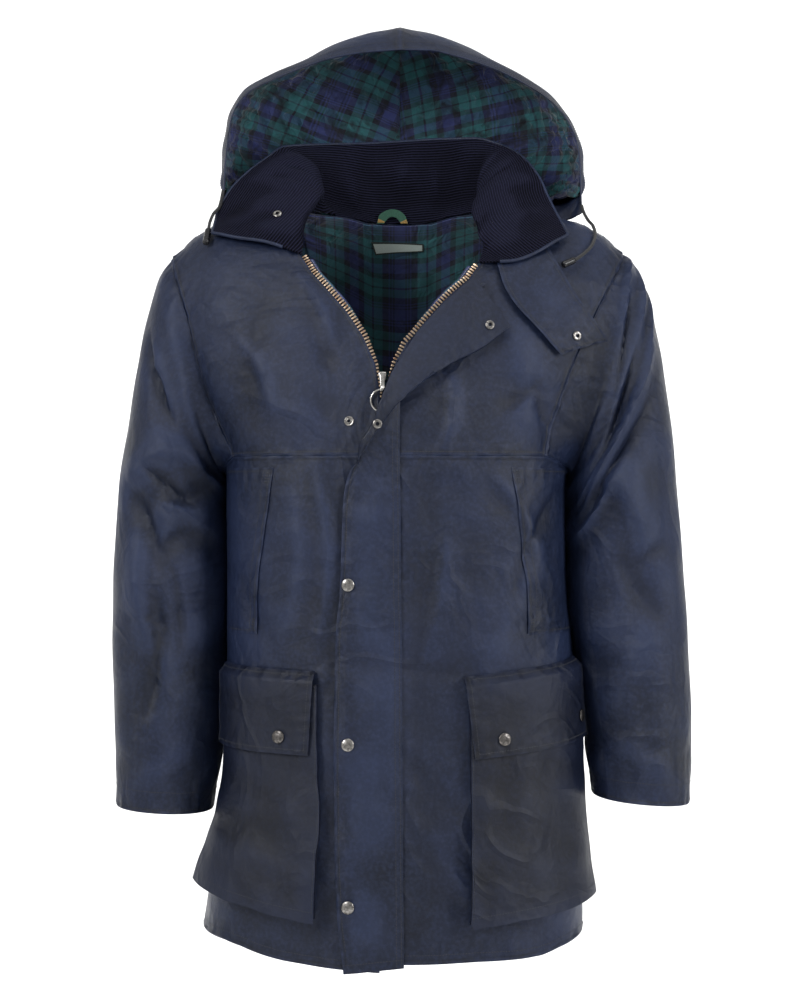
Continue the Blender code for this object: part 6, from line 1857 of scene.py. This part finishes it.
def hood_half(side, runs, shares, middle):
    """A half of the hood and the ways out of it, which look straight along the middle plane at its seam."""
    grid = hood_points(side, runs, shares)
    normals = facing(unit(mitred(grid)), middle, FACE["back"])
    normals[-1, :, 0] = 0
    return grid, unit(normals)


# The hood's places round and back from the brim, one well inside it, its dents, and its neck stitches' gap
HOOD_GRID = (78, 74)
HOOD_MIDDLE = (56, 44)
HOOD_DENT, HOOD_DENT_SIZE = 0.0016, 0.07
HOOD_STITCH = 0.0045

# Its lining: from where round the brim and how far back it goes, its places and one well inside it
HOOD_LINING_FIRST = 1 / 11
HOOD_LINING_LAST = 0.9
HOOD_LINING_PLACES = 96
HOOD_LINING_MIDDLE = (60, 50)

# Its gathers along the brim: how high, how far apart, how uneven and how far they reach in
GATHER, GATHER_PITCH, GATHER_DRIFT, GATHER_REACH = 0.0022, 0.016, 2.2, 0.022

# Its sharp creases and soft swells, each with its height and its size, and the fold beside its centre seam,
# with its height, its distance from the seam and its width
LINING_CREASE, LINING_CREASE_SIZE = 0.0044, 0.024
LINING_SWELL, LINING_SWELL_SIZE = 0.0036, 0.085
CENTRE_FOLD, CENTRE_FOLD_OFF, CENTRE_FOLD_WIDTH = 0.0050, 0.006, 0.004


def make_hood(side, cloth, rows):
    """One half of the hood: the waxed shell and, inside it, the quilted lining cut on the bias."""
    runs, shares = (np.linspace(0, 1, count) for count in HOOD_GRID)
    grid, normals = hood_half(side, runs, shares, HOOD_MIDDLE)
    run, share = np.broadcast_arrays(runs[:, None], shares)
    away = smooth(np.minimum(1 - run, share) / 0.10)
    dents = HOOD_DENT * unevenness(run * 0.5, share * 0.4, HOOD_DENT_SIZE, 41) * away
    outer = grid + normals * (dents * smooth((1 - share) / 0.1))[..., None]
    outer[-1, :, 0] = 0
    wear_and_shade = wear_and_shade_marks(outer, normals, 0.0, ("right", "bottom"))
    shell("hood_" + side, outer, normals, WAXED, cloth["waxed"], wear_and_shade=wear_and_shade)
    for face, ways in ((outer - normals * WAXED, -normals), (outer, normals)):
        rows += [beside(face, ways, "right", gap) for gap in BRIM_STITCHES]
    rows.append(beside(outer, normals, "bottom", HOOD_STITCH))
    runs = np.linspace(HOOD_LINING_FIRST, 1, HOOD_LINING_PLACES)
    shares = np.linspace(0, HOOD_LINING_LAST, HOOD_LINING_PLACES)
    inner, out = hood_half(side, runs, shares, HOOD_LINING_MIDDLE)
    seen = inner - out * (WAXED + SEAM + QUILTED_LINING)
    down, across = reach(seen, 0), reach(seen, 1)
    brim, middle = edge_gap(seen, "right"), edge_gap(seen, "bottom")
    clear = smooth(brim / 0.02)
    drift = GATHER_DRIFT * unevenness(down, across, 0.05, 51)
    ripple = 0.5 + 0.5 * np.sin(2 * np.pi * down / GATHER_PITCH + drift)
    ridged = np.clip(1 - np.abs(unevenness(down, across, LINING_CREASE_SIZE, 52)) * 1.6, 0, 1)
    swell = np.clip(1 + unevenness(down, across, LINING_SWELL_SIZE, 53), 0, 2)
    crumple = LINING_CREASE * ridged + LINING_SWELL * swell
    depth = GATHER * ripple * np.exp(-brim / GATHER_REACH)
    depth = depth + crumple * clear * smooth(across / 0.03) * (0.35 + 0.65 * smooth(middle / 0.020))
    depth = depth + CENTRE_FOLD * np.exp(-((middle - CENTRE_FOLD_OFF) / CENTRE_FOLD_WIDTH) ** 2) * clear
    seen = seen - out * np.maximum(depth, 0.0002)[..., None]
    seen[-1, :, 0] = 0
    shell(
        "hood_lining_" + side, seen, -out, QUILTED_LINING, cloth["quilt"],
        wear_and_shade=wear_and_shade_marks(seen, -out, 0.02), bias=HOOD_BIAS[side], cut=inner,
    )


BRIM_STITCHES = (0.0040, 0.0180)
HOOD_BIAS = {"right": math.radians(40), "left": math.radians(-40)}

# ---------------------------------------------------------------- Zip


def closing(row, *pairs):
    """The sizes at a row of the zip, of pairs for its open and its closed part, and how far it is closed."""
    closed = np.clip((row - ZIP_CLOSING_ROW) / ZIP_CLOSING_ROWS, 0, 1)
    return *(mix(*pair, closed) for pair in pairs), closed


def make_zip(lines, cloth):
    for side, line in lines.items():
        rows = np.linspace(*ZIP_ROWS, 330)
        tape, _ = closing(rows, TAPE_REACH)
        edges = ((-TAPE_BEHIND, -TAPE_IN[0]), (tape, -TAPE_IN[1]))
        outer, inner = (on_line(line, rows, *edge) for edge in edges)
        grid = np.stack([mix(outer, inner, f) for f in np.linspace(0, 1, 6)], axis=1)
        normals = np.repeat(row_normals(line, rows)[:, None, :], 6, axis=1)
        shell("zip_tape_" + side, grid, normals, TAPE, cloth["tape"])
        make_teeth(side, line, cloth)


TOOTH_PITCH = 0.0042
TOOTH_MIDDLE = (0.0028, 0.0018)
TOOTH_HALF = (0.0031, 0.0013)
# Across the tape, half a tooth's width, and how much of its height it has there
TOOTH_SECTIONS = ((-1.0, 0.00085, 0.60), (-0.3, 0.00095, 0.85), (0.6, 0.00115, 0.96), (1.0, 0.00070, 0.70))


def make_teeth(side, line, cloth):
    """Brass teeth clamped on the tape's edge; the two sides' teeth lie between each other."""
    fine = np.linspace(*ZIP_ROWS, 900)
    length = lengths(on_line(line, fine, 0.0, 0.0))
    first_tooth = 0.001 + (0.5 if side == "left" else 0.0) * TOOTH_PITCH
    low, high = TEETH_HEIGHTS
    points, faces = [], []
    for start in np.arange(first_tooth, length[-1] - 0.002, TOOTH_PITCH):
        row = np.interp([start - 0.002, start, start + 0.002], length, fine)
        before, here, after = on_line(line, row, 0.0, 0.0)
        off, inward = row_normals(line, row)[1], on_line(line, row, 1.0, 0.0)[1] - here
        down = unit(after - before)
        side_way = np.cross(down, off)
        side_way = side_way * math.copysign(1.0, np.dot(side_way, inward))
        middle, half, closed = closing(row[1], TOOTH_MIDDLE, TOOTH_HALF)
        # Below the slider they lie lower, clear of the ring's swing
        low_at, high_at = (off * height * (1 - 0.4 * closed) for height in (low, high))
        for share, wide, top in TOOTH_SECTIONS:
            for way, lift in ((-wide, low_at), (wide, low_at), (wide, high_at), (-wide, high_at)):
                points.append(here + side_way * (middle + share * half) + down * way + lift * top)
        first = len(points) - 16
        for k in range(3):
            a = first + 4 * k
            faces += [(a + i, a + (i + 1) % 4, a + 4 + (i + 1) % 4, a + 4 + i) for i in range(4)]
        faces += [(first + 3, first + 2, first + 1, first), tuple(first + 12 + i for i in range(4))]
    mesh = mesh_of("zip_teeth_" + side, points, faces, [cloth["brass"]], sharp=35.0)
    mesh_outward(mesh)
    link_to_scene("zip_teeth_" + side, mesh, "garment", ("zip_chain_" + side,))


def mesh_outward(mesh):
    """Turns every loose part's faces to look out of it."""
    shape = bmesh.new()
    shape.from_mesh(mesh)
    bmesh.ops.recalc_face_normals(shape, faces=shape.faces)
    shape.to_mesh(mesh)
    shape.free()


def make_facings(lines, cloth, rows):
    at = np.linspace(0.1, 4.7, 120)
    inward = read(FACING_INWARD, "inward", at)
    for side, line in lines.items():
        ways = zip((-FACING_BEHIND, 0.0, inward), FACING_IN)
        edges = [on_line(line, at, across, -deep) for across, deep in ways]
        outer, inner = ([mix(*pair, f) for f in np.linspace(0, 1, 7)] for pair in (edges[:2], edges[1:]))
        grid = np.stack(outer + inner[1:], axis=1)
        normals = np.repeat(row_normals(line, at)[:, None, :], grid.shape[1], axis=1)
        shell("facing_" + side, grid, normals, LINING, cloth["tartan"])
        rows += [beside(grid, normals, "right", gap) for gap in FACING_STITCHES[side]]


FACING_STITCHES = {"right": (0.0022, 0.0060), "left": (0.0024,)}


def slider_frame():
    """The slider's place: its origin, the ways across it, down the zip and off the cloth."""
    origin = front_at(SLIDER_X, SLIDER_Z, 0.0)
    below = front_at(SLIDER_X, SLIDER_Z - 0.02, 0.0)
    down = unit(below - origin)
    across = np.array((1.0, 0.0, 0.0))
    off = unit(np.cross(across, down))
    off = off if off[1] < 0 else -off
    down = unit(down - off * np.dot(down, off))
    return origin, across, down, off


def turns_round(count):
    return np.linspace(0, 2 * np.pi, count, endpoint=False)[:, None]


def make_slider(cloth):
    """The slider, the link over its bridge, and the pull ring that hangs from the link's eye."""
    origin, across, down, off = slider_frame()
    turn = turns_round(24)
    rings = []
    for k in np.linspace(0, 5, 26):
        at = sizes_at(SLIDER, k)
        place = np.interp(k, SLIDER["place"], SLIDER["down"])
        lift = (at["low"] + at["high"]) / 2 + (at["high"] - at["low"]) / 2 * squared(np.sin(turn), 0.45)
        rings.append(origin + across * at["half"] * squared(np.cos(turn), 0.45) + down * place + off * lift)
    skinned("slider_body", rings, cloth["nickel"], ("zip_slider",))

    path = list(LINK_PATH)
    for angle in np.radians(np.linspace(*LINK_TURN, 30)):
        path.append((EYE_DOWN + math.cos(angle) * EYE_RADIUS, EYE_OFF + math.sin(angle) * EYE_RADIUS))
    path = np.array(path)
    tangent = unit(np.gradient(path, axis=0))
    edges = np.stack([-tangent[:, 1], tangent[:, 0]], axis=-1) * LINK_THICK / 2
    turn = turns_round(20)
    rings = []
    for middle, edge in zip(path, edges):
        at = middle + edge * squared(np.sin(turn), 0.5)
        wide = LINK_HALF_WIDTH * squared(np.cos(turn), 0.4)
        rings.append(origin + across * wide + down * at[:, :1] + off * at[:, 1:])
    skinned("slider_link", rings, cloth["nickel"], ("zip_link",))

    eye = origin - across * 0.0008 + down * EYE_DOWN + off * EYE_OFF
    front, up = np.array((0.0, -1.0, 0.0)), np.array((0.0, 0.0, 1.0))
    centre = eye - up * RING_RADIUS
    turn, r = turns_round(18), RING_WIRE / 2
    rings = []
    for angle in np.linspace(0, 2 * np.pi, 73):
        out = across * math.sin(angle) + up * math.cos(angle)
        rings.append(centre + out * (RING_RADIUS + r * np.cos(turn)) + front * (r * np.sin(turn)))
    skinned("pull_ring", rings, cloth["nickel"], ("zip_ring",), body="ring", capped=False)


# ---------------------------------------------------------------- Flaps, pockets and trim


def stitched_cloth(node, grid, normals, thickness, cloth, edges, rows, gap, paler_by=0.0):
    """A flat piece with its turned edges, stitched round at a distance from them."""
    shaped = sewn(grid, normals, edges, 0.8)
    ways = unit(mitred(shaped))
    normals = ways if (ways * normals).sum() > 0 else -ways
    shell(node, shaped, normals, thickness, cloth, wear_and_shade=wear_and_shade_marks(shaped, normals, paler_by, edges))
    rows += [beside(shaped, normals, edge, gap, trim=STITCHED_ENDS) for edge in edges]
    return shaped, normals


# The storm flap's places down it and across it, close together at its fold; the dents below the slider, with
# their height, size and start; and its stitches: the edge they run beside and how far in
FLAP_PLACES = 241
FLAP_FOLD_COLUMNS = [8.25, 8.5, 8.7, 8.82, 8.92, 9.0]
FLAP_DENT, FLAP_DENT_SIZE, FLAP_DENT_START = 0.0007, 0.045, -0.32
FLAP_STITCHES = (("left", 0.0030), ("left", 0.0085), ("bottom", 0.0100))


def make_storm_flap(cloth, rows):
    rough = flap_points(np.linspace(0, 16, FLAP_PLACES))
    columns = np.concatenate([places(9, 5, 0.008)[:-6], FLAP_FOLD_COLUMNS])
    grid = resampled(rough, np.arange(float(FLAP_PLACES)), columns)
    normals = facing(unit(mitred(grid)), (-1, 0), FACE["front"])
    grid = grid + normals * WAXED / 2
    x, z = grid[..., 0], grid[..., 2]
    below = smooth((FLAP_DENT_START - z) / 0.03) * smooth(np.abs(x) / 0.02)
    grid = grid + normals * (FLAP_DENT * unevenness(x, z, FLAP_DENT_SIZE, 61) * below)[..., None]
    shaped, normals = stitched_cloth(
        "storm_flap", grid, normals, WAXED, cloth["waxed"], ("right",), rows, 0.0055
    )
    for edge, gap in FLAP_STITCHES:
        rows.append(beside(shaped, normals, edge, gap))


def make_pockets(cloth, rows):
    count_down, count_across = len(BAG_DOWN), len(BAG_ACROSS)
    down = np.concatenate([np.arange(count_down - 1.0), np.linspace(count_down - 1, count_down + 1, 9)])
    ends = (np.linspace(first, first + 2, 9) for first in (0, count_across + 1))
    across = np.concatenate([next(ends), np.arange(3.0, count_across + 1), next(ends)])
    for side in SIDE:
        grid = resampled(bag_grid(side), down, across)
        normals = front_normals_of(grid)
        shaped = grid + normals * (0.0008 * unevenness(grid[..., 0], grid[..., 2], 0.04, 71))[..., None]
        normals = unit(normals)
        wear_and_shade = wear_and_shade_marks(shaped, normals, 0.05)
        shell("pocket_" + side, shaped, normals, WAXED, cloth["pocket"], wear_and_shade=wear_and_shade)
        face, out = (v[: count_down - 1, 8:-8] for v in (shaped, normals))
        rows += [beside(face, out, edge, gap) for edge, gap in POCKET_STITCHES]
        shares = np.linspace(0, 1, 49)
        grid = np.array([[pocket_flap_point(side, f, g) for g in shares] for f in POCKET_FLAP_DOWN])
        edges = ("left", "right", "bottom", "top")
        stitched_cloth(
            "pocket_flap_" + side, grid, front_normals_of(grid), WAXED, cloth["pocket"], edges, rows, 0.0058,
            0.04,
        )


POCKET_STITCHES = (("left", 0.0022), ("right", 0.0022), ("bottom", 0.0022), ("top", 0.006), ("top", 0.022))
POCKET_FLAP_DOWN = np.concatenate(
    [np.linspace(0, FLAP_FOOT_SHARE, 6)[:-1], np.linspace(FLAP_FOOT_SHARE, 1, 30)]
)


# Rows of the thick stitches that hold each end of the opening
BAR_TACKS = (0.0060, 0.0075, 0.0090)


# The handwarmer's places down and across it, how far its middle stands out and over what distance, its
# stitches' gap, its second row's gap, and the stretches where its bar tacks lie
HANDWARMER_DOWN, HANDWARMER_ACROSS = 50, 25
HANDWARMER_SWELL, HANDWARMER_SWELL_FADE = 0.0010, 0.012
HANDWARMER_STITCH, HANDWARMER_SECOND = 0.0040, 0.0130
BAR_TACK_ENDS = ((0.03, 0.10), (0.90, 0.97))


def make_handwarmers(cloth, rows):
    for side in SIDE:
        turns, levels = [], []
        for drop in np.linspace(*HANDWARMER_DROPS, HANDWARMER_DOWN):
            level = level_of(drop)
            inner = float(turn_at(side, level, float(read(HANDWARMER[side], "inner", drop))))
            at = even_turns(side, "front", level, inner, HANDWARMER_OUTER_TURN, HANDWARMER_ACROSS - 1)
            turns.append(at)
            levels.append(np.full(HANDWARMER_ACROSS, level))
        turns, levels = np.array(turns), np.array(levels)
        flat = skin(side, "front", turns, levels, 0.0)
        away = np.minimum.reduce([edge_gap(flat, edge) for edge in ("top", "bottom", "right")])
        out = HANDWARMER_CLOTH * 0.6 + HANDWARMER_SWELL * smooth(away / HANDWARMER_SWELL_FADE)
        grid = skin(side, "front", turns, levels, out)
        shaped, normals = stitched_cloth(
            "handwarmer_" + side, grid, unit(front_normals_of(grid)), HANDWARMER_CLOTH, cloth["waxed"],
            ("left", "bottom", "top"), rows, HANDWARMER_STITCH,
        )
        rows.append(beside(shaped, normals, "left", HANDWARMER_SECOND, trim=STITCHED_ENDS))
        for ends in BAR_TACK_ENDS:
            rows += [beside(shaped, normals, "left", gap, 0.0003, ends) for gap in BAR_TACKS]


TAB_STITCH = 0.0052


def make_throat_tab(cloth, rows):
    grid = np.array([[tab_point(row, f) for f in np.linspace(0, 1, 25)] for row in np.linspace(0, 6, 48)])
    edges = ("left", "right", "bottom")
    stitched_cloth(
        "throat_tab", grid, front_normals_of(grid), WAXED, cloth["waxed"], edges, rows, TAB_STITCH
    )


# The label's border: how much of its height and width it takes, and how many places across lie inside it
LABEL_RIM = ((0.12, 8), (0.03, 24))


def make_label(cloth, gold):
    """The bare neck label with its darker border, and the hanger loop, edged with stripes of gold thread."""
    top_right, top_left, low_left, low_right = np.array(LABEL_CORNERS)
    downs, acrosses = (
        np.concatenate([[0, rim], np.linspace(rim, 1 - rim, count)[1:-1], [1 - rim, 1]])
        for rim, count in LABEL_RIM
    )
    grid = []
    for f in downs:
        spots = [mix(mix(top_right, top_left, g), mix(low_right, low_left, g), f) for g in acrosses]
        grid.append([back_at(*spot, -LABEL_IN) for spot in spots])
    grid = np.array(grid)
    made = shell(
        "neck_label", grid, front_normals_of(grid), LABEL_CLOTH, cloth["label"], name="label_cloth"
    )
    made.data.materials.append(cloth["label_edge"])
    border = np.ones((len(downs) - 1, len(acrosses) - 1), bool)
    border[1:-1, 1:-1] = False
    which = np.ones(len(made.data.polygons), np.int32)
    which[: border.size] = border.ravel()
    made.data.polygons.foreach_set("material_index", which)
    marks = np.linspace(0, 6, 61)
    edges = (("outer_x", "back", "outer_z"), ("inner_x", "back", "inner_z"))
    outer, inner = (np.stack([read(LOOP, column, marks) for column in edge], axis=-1) for edge in edges)
    grid = np.stack([mix(outer, inner, f) for f in np.linspace(0, 1, 8)], axis=1)
    normals = front_normals_of(grid)
    shell("hanger_loop", grid, normals, LABEL_CLOTH, cloth["green"], name="hanger_loop_tape")
    for end in (slice(0, 7), slice(-7, None)):
        for gap in np.arange(0.0008, 0.0088, 0.0006):
            gold.append(beside(grid[end], normals[end], "left", gap, 0.0002))


def finer_profile(profile, steps=6):
    rows = table("mark radius height |", *((k, *pair) for k, pair in enumerate(profile)))
    marks = np.linspace(0, len(profile) - 1, (len(profile) - 1) * steps + 1)
    return list(zip(read(rows, "radius", marks), read(rows, "height", marks)))


def snap(name, place, profile, made, node, hollow=False, off=0.0003):
    """A snap on the cloth at place, a function of two shares that gives the cloth's points."""
    step = 0.02
    centre = place(0, 0)
    axis = unit(np.cross(place(step, 0) - place(-step, 0), place(0, step) - place(0, -step)))
    axis = axis if axis[1] < 0 else -axis
    lathe(name, finer_profile(profile), centre + axis * off, axis, made, node, 40, hollow)


STUD_RING = (
    (0.0018, 0.0), (0.0052, 0.0), (0.0057, 0.0007), (0.0050, 0.0013), (0.0036, 0.0010), (0.0029, 0.0024),
    (0.0020, 0.0028),
)


def make_snaps(cloth):
    nickel, silver = cloth["snap"], cloth["silver"]
    for number, z in enumerate(CAP_HEIGHTS, 1):
        node = "flap_snap_%d" % number
        snap(node + "_cap", on_front(CAP_X, z, 0.0045), CAP_PROFILE, nickel, node)
    snap("yoke_stud_ring", on_front(STUD_X, STUD_Z, 0.0), STUD_RING, nickel, "yoke_stud", True)
    for name, (row, f, off) in FLAP_SOCKETS.items():
        place = moved_place(flap_turned, row, f)
        snap(name + "_rim", place, SOCKET_PROFILE, nickel, name, True, WAXED / 2 + off)
    place = moved_place(tab_point, *TAB_SOCKET)
    snap("tab_socket_rim", place, SOCKET_PROFILE, nickel, "tab_socket", True)
    place = moved_place(on_collar, *COLLAR_SOCKET)
    snap(
        "collar_socket_rim", place, SOCKET_PROFILE, nickel, "collar_socket", True, COLLAR_SOCKET_OFF
    )
    for name, (side, f, g) in POCKET_SNAPS.items():
        place = moved_place(partial(pocket_flap_point, side), f, g)
        snap(name + "_cap", place, CAP_PROFILE, silver, name)


# ---------------------------------------------------------------- Cords, camera and studio

# The cord's end: its width as a share, and how far along as a share of its length and past that
CORD_END_PROFILE = (
    (0.60, 0.0, 0.0002), (0.86, 0.0, 0.0007), (0.97, 0.0, 0.0018), (1.0, 0.35, 0.0), (1.0, 1.0, -0.0022),
    (0.94, 1.0, -0.0009), (0.80, 1.0, -0.0001), (0.45, 1.0, 0.0),
)


def make_cord(side, cloth):
    """A plaited cord as long as it shows, and the bell-shaped end moulded on it."""
    route = np.array(CORD_ROUTE[side])
    line = curved(route, np.arange(float(len(route))), np.linspace(0, len(route) - 1, 120))
    path = along(line, 60)
    nodes = ("drawcord_" + side,)
    made = tube("drawcord_" + side + "_braid", path, CORD / 2, cloth["braid"], nodes, 14)
    start, end = (np.array(p) for p in CORD_END_PLACES[side])
    length = float(np.linalg.norm(end - start))
    profile = [(CORD_END / 2 * wide, length * share + past) for wide, share, past in CORD_END_PROFILE]
    node = "cord_end_" + side
    profile = finer_profile(profile, 4)
    tip = lathe(node + "_bell", profile, start, end - start, cloth["nylon"], node, 28)


# The camera: its sensor's width and its focal length in millimetres, and its place
SENSOR = 36.0
LENS = 66.57
CAMERA_PLACE = (0.0, -2.3, -0.342)


def make_camera():
    data = bpy.data.cameras.new("studio_camera")
    data.sensor_width = SENSOR
    data.lens = LENS
    camera = bpy.data.objects.new("studio_camera", data)
    camera.location = CAMERA_PLACE
    camera.rotation_euler = (math.radians(90), 0, 0)
    bpy.context.scene.collection.objects.link(camera)
    bpy.context.scene.camera = camera


# The floor: its height, its reach to the sides, its front end, where it curves up and how high it ends
FLOOR = -1.45
FLOOR_SIDE = 6.0
FLOOR_FRONT = -4.0
CURVE_START = 3.0
CURVE_RADIUS = 1.2
BACKDROP_TOP = 5.0
ROOM_LIGHT = 0.48


def make_studio():
    """A white floor that curves up into a backdrop, a bright even room and five large soft lights."""
    depth = [(FLOOR_FRONT, 0.0), (CURVE_START, 0.0)]
    for a in np.linspace(0.1, math.pi / 2, 14):
        depth.append((CURVE_START + CURVE_RADIUS * math.sin(a), CURVE_RADIUS * (1 - math.cos(a))))
    depth.append((CURVE_START + CURVE_RADIUS, BACKDROP_TOP))
    points = [(x, y, FLOOR + z) for y, z in depth for x in (-FLOOR_SIDE, FLOOR_SIDE)]
    faces = [(2 * k, 2 * k + 1, 2 * k + 3, 2 * k + 2) for k in range(len(depth) - 1)]
    mesh = bpy.data.meshes.new("studio_floor")
    mesh.from_pydata(points, [], faces)
    mesh.polygons.foreach_set("use_smooth", np.ones(len(faces), bool))
    mesh.materials.append(studio_floor("matt white paint"))
    floor = bpy.data.objects.new("studio_floor", mesh)
    scene = bpy.context.scene
    scene.collection.objects.link(floor)
    world = bpy.data.worlds.new("studio")
    world.use_nodes = True
    background = world.node_tree.nodes["Background"].inputs
    background["Color"].default_value = colour("#ffffff")
    background["Strength"].default_value = ROOM_LIGHT
    scene.world = world
    for name, place, target, size, power in LIGHTS:
        data = bpy.data.lights.new(name, "AREA")
        data.shape = "RECTANGLE"
        data.size, data.size_y = size
        data.energy = power
        light = bpy.data.objects.new(name, data)
        light.location = place
        light.rotation_euler = (Vector(target) - Vector(place)).to_track_quat("-Z", "Y").to_euler()
        scene.collection.objects.link(light)
    scene.view_settings.view_transform = "Standard"


# Each light's name, its place, what it looks at, its width and height, and its power
LIGHTS = (
    ("front_left", (-1.9, -2.0, 1.0), (0, 0, -0.35), (0.9, 1.5), 56.0),
    ("front_right", (2.2, -1.6, 0.4), (0, 0, -0.35), (0.8, 1.8), 46.0),
    ("above", (0.3, -0.8, 2.0), (0, 0, -0.3), (1.6, 1.0), 12.0),
    ("backdrop_left", (-1.9, 1.6, 0.3), (0.2, 4.2, -0.5), (2.4, 2.4), 62.0),
    ("backdrop_right", (1.9, 1.6, 0.3), (-0.2, 4.2, -0.5), (2.4, 2.4), 62.0),
)


def main():
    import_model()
    bpy.context.scene.render.film_transparent = False
    make_camera()
    make_studio()
    cloth = make_materials()
    for side in SIDE:
        make_cord(side, cloth)
    rows, pale, gold = [], [], []
    body = make_body(cloth, rows)
    for side in SIDE:
        make_sleeve(side, body, cloth, rows)
        make_hood(side, cloth, rows)
    make_collar(cloth)
    lines = {side: zip_line(body[side]["yoke"], body[side]["front"]) for side in SIDE}
    make_facings(lines, cloth, pale)
    make_zip(lines, cloth)
    make_slider(cloth)
    make_storm_flap(cloth, rows)
    make_pockets(cloth, rows)
    make_handwarmers(cloth, rows)
    make_throat_tab(cloth, rows)
    make_label(cloth, gold)
    make_snaps(cloth)
    sew("seam_stitches", rows, cloth["thread"])
    sew("facing_stitches", pale, cloth["pale_thread"])
    sew("loop_stitches", gold, cloth["gold"], LOOP_STITCH_PITCH)


main()
